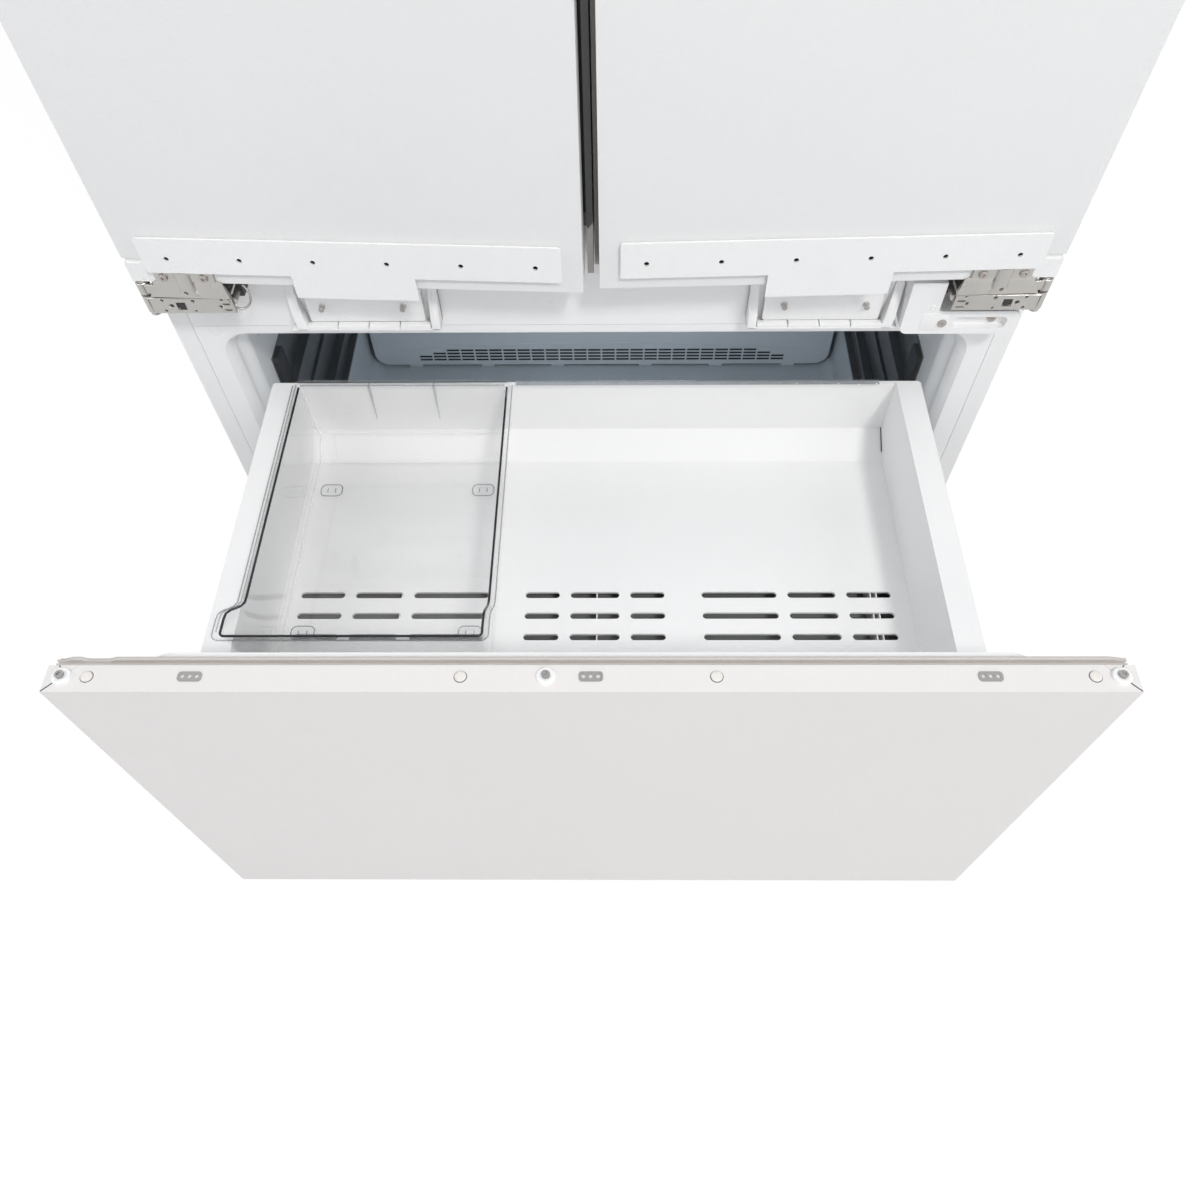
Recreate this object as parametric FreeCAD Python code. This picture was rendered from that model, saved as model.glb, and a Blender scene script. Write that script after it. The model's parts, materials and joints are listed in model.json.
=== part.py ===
"""Built-in french door refrigerator with a bottom freezer drawer, millimetres.

Frame: X to the right as one faces the doors, Y towards the back, Z up.  The origin is on the
floor, on the centre line, in the middle of the toe kick's bottom flange.  The solids are written
in the photographed pose: the freezer drawer pulled out and both doors a little ajar.
"""
import FreeCAD, Part
import os

# Overall sizes
CABINET_WIDTH = 904.0
CABINET_HEIGHT = 2121.0
CABINET_DEPTH = 576.0
FRONT_INSET = 2.0
DOOR_FACE_SETBACK = 60.0
DOOR_STAND = 34.0

# Pose that is shown
DRAWER_PULL = 409.0
LEFT_AJAR = 2.6
RIGHT_AJAR = 1.8
MULLION_FOLD_RATIO = 0.85

# Case and linings
CASE_SHEET = 1.0
FACE_SHEET = 2.0
CASE_LIP = 20.0
LINER_WALL = 2.0
SEAM = 0.5
CASE_FOOT = 25.0

# Base and toe kick
KICK_HEIGHT = 100.0
KICK_GAP = 4.0
KICK_DEPTH = 16.0
KICK_SHEET = 2.0
KICK_SLOT_COUNT = 14
KICK_SLOT_LENGTH = 42.0
KICK_SLOT_HEIGHT = 6.0
KICK_SLOT_ROWS = 3
KICK_SLOT_ROW_PITCH = 16.0
BASE_RAIL_WIDTH = 30.0
BASE_SHEET = 2.0
FOOT_PAD_RADIUS = 22.0
FOOT_PAD_HEIGHT = 10.0
FOOT_STEM_RADIUS = 8.0
FOOT_INSET = 70.0
DRAIN_PAN_WIDTH = 420.0
DRAIN_PAN_DEPTH = 260.0
DRAIN_PAN_HEIGHT = 38.0
DRAIN_PAN_WALL = 2.5

# Freezer compartment
FREEZER_FLOOR_RISE = 48.0
FREEZER_MOUTH_DROP = 15.0
FREEZER_MOUTH_WALL = 45.0
FREEZER_SIDE_WALL = 60.0
FREEZER_BACK_WALL = 80.0
FREEZER_LEAD_IN = 56.0
FREEZER_CORNER = 30.0
RAIL_SEAM_RISE = 11.0
RAIL_THICKNESS = 16.0

# Fridge compartment
FRIDGE_SIDE_WALL = 45.0
FRIDGE_FLOOR_RISE = 36.0
FRIDGE_TOP_DROP = 30.0
FRIDGE_BACK_WALL = 70.0
BAY_DEPTH = 220.0
BAY_HEIGHT = 240.0
BAY_FOAM = 46.0
BAY_SHEET = 2.0

# Drawer and door fronts
DRAWER_FRONT_HEIGHT = 513.0
DOOR_GAP_ABOVE_DRAWER = 82.0
DOOR_TOP_MARGIN = 61.0
DOOR_CENTRE_GAP = 14.6
PAN_DEPTH = 25.0
SKIN = 1.0
GASKET_CLEARANCE = 0.5
GASKET_INSET = 6.0
GASKET_WIDTH = 14.0
PLUG_LINER = 1.5
DOOR_PLUG_DEPTH = 27.0
DOOR_PLUG_SIDE_GAP = 9.0
DOOR_PLUG_END_GAP = 14.0
DOOR_PLUG_INNER_EDGE = 78.0
CAP_BLOCK_WIDTH = 50.0
CAP_BLOCK_HEIGHT = 21.0
CAP_GROOVE = 5.5
CAP_GROOVE_FLOOR = 2.0
CAP_PLATE = 2.0

# Door bins
BIN_FIRST = 92.0
BIN_SECOND_RISE = 388.0
BIN_THIRD_RISE = 420.0
BIN_DEPTH = 88.0
BIN_HEIGHT = 120.0
BIN_WALL = 3.0
BIN_SIDE_GAP = 12.0

# Panel brackets on the doors
BRACKET_START = 22.0
BRACKET_END = 19.7
BRACKET_RISE = 14.5
BRACKET_HEIGHT = 38.5
BRACKET_SHEET = 2.0
BRACKET_STAND = 3.0
BRACKET_CORNER = 3.0
TAB_START = 162.0
TAB_WIDTH = 120.0
TAB_DROP = 25.5
BRACKET_HOLE_COUNT = 6
BRACKET_HOLE_RADIUS = 2.5
BRACKET_HOLE_MARGIN = 24.5
BRACKET_HOLE_RISE = 16.0

# Hinges
PIN_INSET = 6.0
PIN_BEHIND_FACE = 4.0
PIN_RADIUS = 3.0
PIN_HEAD_RADIUS = 5.5
PIN_HEAD = 4.0
PIN_RUNNING = 0.05
KNUCKLE_RADIUS = 6.5
HINGE_SHEET = 2.0
HINGE_LEAF_LENGTH = 86.0
HINGE_LEAF_START = 17.0
HINGE_LEAF_RISE = 17.0
HINGE_LEAF_DROP = 15.0
HINGE_KNUCKLE_RISE = 13.0
HINGE_WING_INSET = 7.0
HINGE_WING_LENGTH = 60.0
HINGE_TONGUE_WIDTH = 20.0
HINGE_TONGUE_PROUD = 1.6
HINGE_TONGUE_GAP = 0.5
ARM_LINK_WIDTH = 8.0
ARM_LINK_RADIUS = 3.5
HINGE_GAP = 2.0
ARM_HEIGHT = 20.0
ARM_LENGTH = 82.0
ARM_SQUARE_HOLE = 8.0
ARM_HOLE_RADIUS = 2.0
ARM_FOOT_WIDTH = 54.0
ARM_FOOT_HEIGHT = 27.0
ARM_FOOT_SHEET = 3.0
SCREW_HEAD_RADIUS = 4.5
SCREW_HEAD = 2.0
SCREW_SOCKET_RADIUS = 1.8
SCREW_SOCKET_DEPTH = 1.0

# Pockets on the centre rail, and the cover beside the right hinge
RAIL_CLEARANCE = 6.5
POCKET_FROM_EDGE = 211.5
POCKET_WIDTH = 156.0
POCKET_HEIGHT = 49.0
POCKET_DEPTH = 20.0
POCKET_CHEEK = 9.0
POCKET_CHEEK_NOSE = 14.0
POCKET_PLATE = 4.0
POCKET_LIP = 6.0
POCKET_RIB = 2.0
POCKET_RIB_COUNT = 3
STUD_SPACING = 84.0
STUD_RADIUS = 2.6
STUD_LENGTH = 14.0
STUD_RISE = 26.0
COVER_GAP = 1.0
COVER_FROM_EDGE = 13.5
COVER_STAND = 28.0
COVER_LOW_HEIGHT = 29.0
COVER_TALL_HEIGHT = 64.0
COVER_TALL_WIDTH = 34.0
COVER_WALL = 2.0
COVER_CORNER = 8.0
COVER_POCKET_WIDTH = 54.0
COVER_POCKET_HEIGHT = 15.0
COVER_POCKET_DEPTH = 8.0
COVER_POCKET_FROM_OUTER = 12.0
COVER_POCKET_CORNER = 6.0

# Flipper mullion on the left door
MULLION_LEFT = 58.0
MULLION_RIGHT = 1.0
MULLION_DEPTH = 22.0
MULLION_PIVOT_INSET = 4.0
MULLION_END_GAP = 0.5
MULLION_NOSE_WIDTH = 6.0
MULLION_NOSE_STAND = 18.0
MULLION_NOSE_OVERRUN = 9.0
MULLION_FRONT_GAP = 0.6
MULLION_PIN_RADIUS = 2.5
MULLION_PIN_LENGTH = 6.0
MULLION_LUG_HEIGHT = 9.0
MULLION_LUG_WIDTH = 28.0
MULLION_LUG_RISE = 3.0

# Freezer drawer
PLUG_SIDE_GAP = 6.0
PLUG_TOP_DROP = 19.0
PLUG_BOTTOM_RISE = 61.0
DRAWER_PLUG_DEPTH = 23.0
SLIDE_ROOM = 17.0
TRAY_WALL = 28.0
TRAY_TOP_DROP = 98.0
TRAY_INSIDE_DEPTH = 95.0
TRAY_FLOOR_SHEET = 3.0
TRAY_BACK_SHEET = 5.0
TRAY_SLOPE_LENGTH = 37.0
TRAY_SLOPE_RISE = 19.0
TRAY_RIM_HEIGHT = 3.0
SIDE_PANEL_SHEET = 4.0
SIDE_PANEL_DROP = 141.0
SLOT_FIRST = 118.7
SLOT_ROW_PITCH = 27.1
SLOT_ROW_COUNT = 3
SLOT_WIDTH = 8.0
SLOT_GAP = 12.0
CENTRE_SLOT_HALF = 27.0
CENTRE_SLOT_SIDE = 38.0
SIDE_SLOT_MARGIN = 20.0
SIDE_SLOT_SHORT = 49.0
SIDE_SLOT_MIDDLE = 53.0
SIDE_SLOT_LONG = 83.0
BASKET_SIDE_GAP = 13.0
BASKET_BACK_GAP = 28.0
BASKET_RISE = 20.0
BASKET_WALL = 3.0

# Clear bin in the tray
ICE_OVERHANG = 15.0
ICE_WIDTH = 266.0
ICE_RIM = 3.0
ICE_RIM_LIFT = 0.3
ICE_WALL = 2.5
ICE_BACK_OVERLAP = 2.0
ICE_FRONT = 31.0
ICE_PLAY = 0.5
ICE_SIDE_RIM_RIGHT = 6.0
ICE_BACK_RIM = 8.0
ICE_FRONT_RIM = 15.0
ICE_FLOOR_GAP = 4.0
ICE_FOOT_LENGTH = 25.0
ICE_FOOT_WIDTH = 17.0
ICE_FOOT_CORNER = 6.0
ICE_FOOT_SIDE = 32.0
ICE_FOOT_FRONT = 74.0
ICE_FOOT_BACK = 43.0
ICE_RAISE = 26.0
ICE_RAISE_FLAT = 36.0
ICE_RAISE_RUN = 36.0
ICE_RIB_WIDTH = 3.0
ICE_RIB_PROUD = 2.0
ICE_RIB_LENGTH = 50.0
ICE_RIB_PITCH = 75.0

# Fixings on the drawer's top flange
FIXING_LINE = 14.0
SCREW_FROM_EDGE = 14.0
SCREW_MIDDLE = -35.0
WASHER_RADIUS = 7.5
WASHER_HEIGHT = 3.0
TOP_SCREW_RADIUS = 3.6
TOP_SCREW_HEIGHT = 2.4
PLUG_FROM_EDGE = 35.0
PLUG_MIDDLE = 105.5
PLUG_RADIUS = 5.0
PLUG_PROUD = 0.6
SLOT_PLATE_FROM_EDGE = 120.5
SLOT_PLATE_MIDDLE = 2.0
SLOT_PLATE_LENGTH = 20.0
SLOT_PLATE_WIDTH = 9.0
SLOT_PLATE_SHEET = 1.0
SLOT_PLATE_HOLE_PITCH = 6.0
SLOT_PLATE_HOLE_RADIUS = 1.8
MITRE_GROOVE = 0.6

# Telescopic slides
SLIDE_UPPER_RISE = 4.0
SLIDE_SPACING = 115.0
SLIDE_OUTER_HEIGHT = 50.0
SLIDE_WEB = 3.5
SLIDE_LIP = 4.0
SLIDE_BRACKET_SHEET = 1.5
SLIDE_MIDDLE_HEIGHT = 38.0
SLIDE_MIDDLE_THICK = 5.0
SLIDE_INNER_HEIGHT = 26.0
SLIDE_PLAY = 0.5
SLIDE_LIP_GAP = 3.0
SLIDE_START = 8.0
SLIDE_END_GAP = 2.0
SLIDE_MIDDLE_END_GAP = 8.0
SLIDE_INNER_END_GAP = 6.0
END_PLATE_HEIGHT = 52.0
END_PLATE_LENGTH = 28.0
END_PLATE_THICK = 6.0

# Evaporator, its cover and its fan
EVAPORATOR_ROOM = 70.0
DUCT_COVER_SETBACK = 3.0
DUCT_COVER_SHEET = 3.0
DUCT_COVER_SIDE_GAP = 8.0
DUCT_COVER_RISE = 5.0
DUCT_COVER_CORNER = 22.0
DUCT_COVER_TOP_GAP = 6.0
GRILLE_SIDE_MARGIN = 74.0
GRILLE_COLUMNS = 26
GRILLE_ROWS = 4
GRILLE_ROW_PITCH = 6.8
GRILLE_BAR = 2.6
GRILLE_RISE = 9.0
OUTLET_COUNT = 9
OUTLET_LENGTH = 44.0
OUTLET_HEIGHT = 12.0
OUTLET_PITCH = 62.0
OUTLET_DROP = 34.0
EVAPORATOR_SIDE_MARGIN = 64.0
EVAPORATOR_RISE = 53.0
EVAPORATOR_HEIGHT = 210.0
EVAPORATOR_GAP = 4.0
FIN_PITCH = 16.0
FIN_SHEET = 1.2
TUBE_RADIUS = 4.0
TUBE_ROWS = 5
FAN_HUB_RADIUS = 14.0
FAN_HUB_LENGTH = 18.0
FAN_BLADES = 6
FAN_BLADE_SHEET = 2.0
FAN_BLADE_CHORD = 26.0
FAN_BLADE_PITCH = 38.0
FAN_SHAFT_RADIUS = 2.5
FAN_SHAFT_LENGTH = 12.0
EVAPORATOR_FAN_RADIUS = 55.0
EVAPORATOR_FAN_RISE = 78.0
MOTOR_RADIUS = 26.0
MOTOR_LENGTH = 22.0
MOTOR_ARM_WIDTH = 12.0
MOTOR_ARM_SHEET = 3.0
FAN_GAP = 4.0

# Machine bay on top, at the back
COMPRESSOR_FROM_SIDE = 157.0
COMPRESSOR_RADIUS = 74.0
COMPRESSOR_HEIGHT = 160.0
COMPRESSOR_DOME = 34.0
COMPRESSOR_PLATE = 3.0
COMPRESSOR_PLATE_HALF = 92.0
GROMMET_RADIUS = 12.0
GROMMET_HEIGHT = 14.0
GROMMET_SPACING = 140.0
CONDENSER_FROM_SIDE = 57.0
CONDENSER_LENGTH = 190.0
CONDENSER_DEPTH = 150.0
CONDENSER_HEIGHT = 196.0
CONDENSER_FAN_GAP = 50.0
CONDENSER_FAN_RADIUS = 78.0
SHROUD_SHEET = 4.0
SHROUD_CLEARANCE = 6.0
COVER_LOUVRES = 7
LOUVRE_LENGTH = 250.0
LOUVRE_HEIGHT = 6.0
LOUVRE_PITCH = 24.0
INLET_FROM_SIDE = 67.0
INLET_WIDTH = 50.0
INLET_HEIGHT = 28.0
INLET_DEPTH = 30.0
INLET_WELL = 18.0
INLET_WALL = 3.0
INLET_PIN_RADIUS = 2.0
INLET_PIN_PITCH = 14.0

# Fittings inside the fridge
SHELF_FIRST = 225.0
SHELF_SECOND_RISE = 195.0
SHELF_THIRD_RISE = 220.0
SHELF_FOURTH_RISE = 200.0
SHELF_GLASS = 5.0
SHELF_FRONT = 122.0
SHELF_BACK_GAP = 26.0
SHELF_SIDE_GAP = 2.5
SHELF_RIB_WIDTH = 12.0
SHELF_RIB_HEIGHT = 10.0
SHELF_TRIM_DEPTH = 8.0
SHELF_TRIM_HEIGHT = 16.0
SHELF_BAR_WIDTH = 20.0
CRISPER_HEIGHT = 206.0
CRISPER_WALL = 3.0
CRISPER_SIDE_GAP = 5.0
CRISPER_GRIP_WIDTH = 160.0
CRISPER_GRIP_HEIGHT = 26.0
DUCT_HALF = 95.0
DUCT_THICKNESS = 22.0
DUCT_BOTTOM_RISE = 55.0
DUCT_TOP_DROP = 40.0
DUCT_SLOT_COUNT = 6
DUCT_SLOT_LENGTH = 110.0
DUCT_SLOT_HEIGHT = 9.0
DUCT_SLOT_DEPTH = 10.0
LAMP_SIDE_MARGIN = 197.0
LAMP_DEPTH = 40.0
LAMP_SHEET = 4.0
LAMP_FRONT = 80.0

# Fixing tabs on top
FIX_TAB_FROM_SIDE = 152.0
FIX_TAB_WIDTH = 60.0
FIX_TAB_SHEET = 2.0
FIX_TAB_REACH = 26.0
FIX_TAB_HOLD = 66.0
FIX_TAB_HOLE_RADIUS = 2.75
FIX_TAB_HOLE_EDGE = 13.0

# Places worked out from the sizes above
HALF = CABINET_WIDTH / 2
FRONT_HALF = HALF - FRONT_INSET
DOOR_FACE = -DOOR_FACE_SETBACK
FLANGE = DOOR_FACE + DOOR_STAND
FLANGE_BACK = FLANGE + FACE_SHEET
BACK = FLANGE + CABINET_DEPTH
FOAM_BACK = BACK - CASE_SHEET
FOAM_SIDE = HALF - CASE_SHEET
LINER_FLANGE_HALF = HALF - CASE_LIP - SEAM
DRAWER_BOTTOM = KICK_HEIGHT + KICK_GAP
DRAWER_TOP = DRAWER_BOTTOM + DRAWER_FRONT_HEIGHT
DOOR_BOTTOM = DRAWER_TOP + DOOR_GAP_ABOVE_DRAWER
DOOR_TOP = CABINET_HEIGHT - DOOR_TOP_MARGIN
PAN_BACK = DOOR_FACE + PAN_DEPTH
GASKET_BACK = FLANGE - GASKET_CLEARANCE
BASE_TOP = KICK_HEIGHT + KICK_GAP + SEAM
FREEZER_MOUTH_TOP = DRAWER_TOP - FREEZER_MOUTH_DROP
FREEZER_FLOOR = DRAWER_BOTTOM + FREEZER_FLOOR_RISE
FREEZER_MOUTH_HALF = HALF - FREEZER_MOUTH_WALL
FREEZER_WALL_HALF = HALF - FREEZER_SIDE_WALL
FREEZER_BACK = BACK - FREEZER_BACK_WALL
FREEZER_FLAT = FLANGE + FREEZER_LEAD_IN
FREEZER_FOAM_TOP = FREEZER_MOUTH_TOP + LINER_WALL
RAIL_SEAM = FREEZER_MOUTH_TOP + RAIL_SEAM_RISE
RAIL_BOTTOM = RAIL_SEAM + SEAM
FRIDGE_FLOOR = DOOR_BOTTOM + FRIDGE_FLOOR_RISE
FRIDGE_TOP = DOOR_TOP - FRIDGE_TOP_DROP
FRIDGE_HALF = HALF - FRIDGE_SIDE_WALL
FRIDGE_BACK = BACK - FRIDGE_BACK_WALL
RAIL_TOP = FRIDGE_FLOOR - LINER_WALL
RAIL_BACK = FLANGE + RAIL_THICKNESS
BAY_FRONT = BACK - BAY_DEPTH
BAY_FLOOR = CABINET_HEIGHT - CASE_SHEET - BAY_HEIGHT
BAY_CEILING = CABINET_HEIGHT - CASE_SHEET
STEP_FACE = BAY_FRONT - BAY_SHEET - BAY_FOAM - LINER_WALL
STEP_CEILING = BAY_FLOOR - BAY_SHEET - BAY_FOAM - LINER_WALL
PIN_X = FRONT_HALF - PIN_INSET
PIN_Y = DOOR_FACE + PIN_BEHIND_FACE
DOOR_INNER = DOOR_CENTRE_GAP / 2
MIRROR_HEIGHT = DOOR_BOTTOM + DOOR_TOP
RAIL_FITTING_BOTTOM = DRAWER_TOP + RAIL_CLEARANCE
POCKET_CENTRE = FRONT_HALF - POCKET_FROM_EDGE
COVER_INNER = POCKET_CENTRE + POCKET_WIDTH / 2 + COVER_GAP
COVER_OUTER = FRONT_HALF - COVER_FROM_EDGE
PLUG_HALF = FREEZER_WALL_HALF - PLUG_SIDE_GAP
PLUG_BACK = PAN_BACK + DRAWER_PLUG_DEPTH
DOOR_PLUG_BACK = PAN_BACK + DOOR_PLUG_DEPTH
DOOR_PLUG_OUTER = FRIDGE_HALF - DOOR_PLUG_SIDE_GAP
DOOR_PLUG_BOTTOM = FRIDGE_FLOOR + DOOR_PLUG_END_GAP
DOOR_PLUG_TOP = FRIDGE_TOP - DOOR_PLUG_END_GAP
TRAY_TOP = DRAWER_TOP - TRAY_TOP_DROP
TRAY_FLOOR = TRAY_TOP - TRAY_INSIDE_DEPTH
TRAY_OUTER_HALF = FREEZER_WALL_HALF - SLIDE_ROOM
TRAY_INNER_HALF = TRAY_OUTER_HALF - TRAY_WALL
DUCT_COVER_FRONT = FREEZER_BACK - EVAPORATOR_ROOM
TRAY_BACK = DUCT_COVER_FRONT - DUCT_COVER_SETBACK - TRAY_BACK_SHEET
TRAY_UNDERSIDE = TRAY_FLOOR - TRAY_FLOOR_SHEET
SLIDE_UPPER = TRAY_FLOOR + SLIDE_UPPER_RISE
SLIDE_LOWER = SLIDE_UPPER - SLIDE_SPACING
SLIDE_LEVELS = (SLIDE_LOWER, SLIDE_UPPER)
SLIDE_WEB_BACK = FREEZER_WALL_HALF - SLIDE_BRACKET_SHEET
SLIDE_WEB_FACE = SLIDE_WEB_BACK - SLIDE_WEB
SLIDE_BAR_FACE = SLIDE_WEB_FACE - SLIDE_PLAY - SLIDE_MIDDLE_THICK
DUCT_COVER_BACK = DUCT_COVER_FRONT + DUCT_COVER_SHEET
DUCT_COVER_HALF = FREEZER_WALL_HALF - DUCT_COVER_SIDE_GAP
GRILLE_HALF = DUCT_COVER_HALF - GRILLE_SIDE_MARGIN
EVAPORATOR_HALF = DUCT_COVER_HALF - EVAPORATOR_SIDE_MARGIN
EVAPORATOR_BOTTOM = FREEZER_FLOOR + EVAPORATOR_RISE
DUCT_COVER_TOP = FREEZER_MOUTH_TOP - DUCT_COVER_TOP_GAP
FAN_HEIGHT = EVAPORATOR_BOTTOM + EVAPORATOR_HEIGHT + EVAPORATOR_FAN_RISE
SHELF_BACK = FRIDGE_BACK - SHELF_BACK_GAP
SHELF_1 = FRIDGE_FLOOR + SHELF_FIRST
SHELF_2 = SHELF_1 + SHELF_SECOND_RISE
SHELF_3 = SHELF_2 + SHELF_THIRD_RISE
SHELF_4 = SHELF_3 + SHELF_FOURTH_RISE
SHELF_LEVELS = (SHELF_1, SHELF_2, SHELF_3, SHELF_4)
COMPRESSOR_CENTRE = FRIDGE_HALF - COMPRESSOR_FROM_SIDE
CONDENSER_LEFT = CONDENSER_FROM_SIDE - FRIDGE_HALF
CONDENSER_FAN_X = CONDENSER_LEFT + CONDENSER_LENGTH + CONDENSER_FAN_GAP
INLET_CENTRE = FRIDGE_HALF - INLET_FROM_SIDE
FIX_TAB_HALF_SPACING = HALF - FIX_TAB_FROM_SIDE
ICE_LEFT = -TRAY_INNER_HALF - ICE_OVERHANG
ICE_RIGHT = ICE_LEFT + ICE_WIDTH
SCREW_PLACES = (SCREW_FROM_EDGE - FRONT_HALF, SCREW_MIDDLE, FRONT_HALF - SCREW_FROM_EDGE)
SLOT_PLATE_SIDE = FRONT_HALF - SLOT_PLATE_FROM_EDGE
BIN_1 = DOOR_BOTTOM + BIN_FIRST
BIN_2 = BIN_1 + BIN_SECOND_RISE
BIN_3 = BIN_2 + BIN_THIRD_RISE
MULLION_BOTTOM = FRIDGE_FLOOR + MULLION_LUG_RISE + MULLION_LUG_HEIGHT + MULLION_END_GAP
MULLION_TOP = FRIDGE_TOP - MULLION_LUG_RISE - MULLION_LUG_HEIGHT - MULLION_END_GAP
MULLION_PIVOT_X = -(MULLION_LEFT - MULLION_PIVOT_INSET)
MULLION_PIVOT_Y = FLANGE + MULLION_PIVOT_INSET

X_AXIS = FreeCAD.Vector(1, 0, 0)
Y_AXIS = FreeCAD.Vector(0, 1, 0)
Z_AXIS = FreeCAD.Vector(0, 0, 1)
ORIGIN = FreeCAD.Vector(0, 0, 0)


def block(x0, x1, y0, y1, z0, z1):
    """A box between the given planes."""
    return Part.makeBox(x1 - x0, y1 - y0, z1 - z0, FreeCAD.Vector(x0, y0, z0))


def rod(x, y, z, radius, length, axis):
    """A round bar from a point along an axis."""
    return Part.makeCylinder(radius, length, FreeCAD.Vector(x, y, z), axis)


def prism(points, travel):
    """A polygon of (x, y, z) points carried along a vector."""
    corners = [FreeCAD.Vector(*p) for p in points]
    outline = Part.makePolygon(corners + corners[:1])
    return Part.Face(outline).extrude(FreeCAD.Vector(*travel))


def round_edges(shape, axis, radius):
    """Round the straight edges that run along an axis."""
    picked = []
    for edge in shape.Edges:
        if len(edge.Vertexes) == 2 and isinstance(edge.Curve, Part.Line):
            if abs(edge.tangentAt(edge.FirstParameter).dot(axis)) > 0.999:
                picked.append(edge)
    return shape.makeFillet(radius, picked)


def joined(*shapes):
    """One solid from touching or overlapping solids."""
    first = shapes[0]
    return first.fuse(list(shapes[1:])).removeSplitter()


def group(shapes):
    """Separate solids kept together as one node."""
    solids = []
    for shape in shapes:
        solids.extend(shape.Solids)
    return Part.makeCompound(solids)


def mirrored(shape):
    """The same shape on the other side of the centre line."""
    return shape.mirror(ORIGIN, X_AXIS)


def both_sides(shape):
    """A shape and its twin across the centre line."""
    return [shape, mirrored(shape)]


def upside_down(shape):
    """A bottom fitting of a door carried to the door's top end."""
    return shape.mirror(FreeCAD.Vector(0, 0, MIRROR_HEIGHT / 2), Z_AXIS)


def frame_ring(x0, x1, z0, z1, width, y0, y1):
    """A flat rectangular ring of one width."""
    outer = block(x0, x1, y0, y1, z0, z1)
    return outer.cut(block(x0 + width, x1 - width, y0, y1, z0 + width, z1 - width))


def open_box(x0, x1, y0, y1, z0, z1, wall):
    """A thin bin that is open at the top."""
    inside = block(x0 + wall, x1 - wall, y0 + wall, y1 - wall, z0 + wall, z1 + wall)
    return block(x0, x1, y0, y1, z0, z1).cut(inside)


def screw_head(x, y, z, axis):
    """A pan head that stands on a face, with its socket."""
    head = rod(x, y, z, SCREW_HEAD_RADIUS, SCREW_HEAD, axis)
    top = FreeCAD.Vector(x, y, z) + axis * (SCREW_HEAD - SCREW_SOCKET_DEPTH)
    return head.cut(Part.makeCylinder(SCREW_SOCKET_RADIUS, SCREW_SOCKET_DEPTH, top, axis))


def mouth_wire(half, bottom, top, corner, y):
    """A rounded upright rectangle, as a wire, at one depth."""
    box = block(-half, half, y, y + 1, bottom, top)
    rounded = round_edges(box, Y_AXIS, corner)
    for face in rounded.Faces:
        if abs(face.CenterOfMass.y - y) < 0.001:
            return face.OuterWire


def outer_case():
    """Painted wrapper: two sides and a top, each with a lip turned in at the front."""
    side = joined(
        block(-HALF, -FOAM_SIDE, FLANGE, BACK, CASE_FOOT, CABINET_HEIGHT),
        block(-HALF, -HALF + CASE_LIP, FLANGE, FLANGE_BACK, CASE_FOOT, CABINET_HEIGHT),
    )
    top = joined(
        block(-FOAM_SIDE, FOAM_SIDE, FLANGE, BACK, CABINET_HEIGHT - CASE_SHEET, CABINET_HEIGHT),
        block(-FOAM_SIDE, FOAM_SIDE, FLANGE, FLANGE_BACK, CABINET_HEIGHT - CASE_LIP, CABINET_HEIGHT),
    )
    return joined(side, mirrored(side), top)


def rear_sheets():
    """Sheet that closes the back, and the sheets of the machine bay's floor, front and roof."""
    half = FRIDGE_HALF + LINER_WALL
    return group(
        [
            block(-FOAM_SIDE, FOAM_SIDE, FOAM_BACK, BACK, BASE_TOP, BAY_FLOOR - BAY_SHEET),
            block(-half, half, BAY_FRONT - BAY_SHEET, BACK, BAY_FLOOR - BAY_SHEET, BAY_FLOOR),
            block(-half, half, BAY_FRONT - BAY_SHEET, BAY_FRONT, BAY_FLOOR, BAY_CEILING),
            block(-half, half, BAY_FRONT, FOAM_BACK, BAY_CEILING - BAY_SHEET, BAY_CEILING),
        ]
    )


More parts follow.
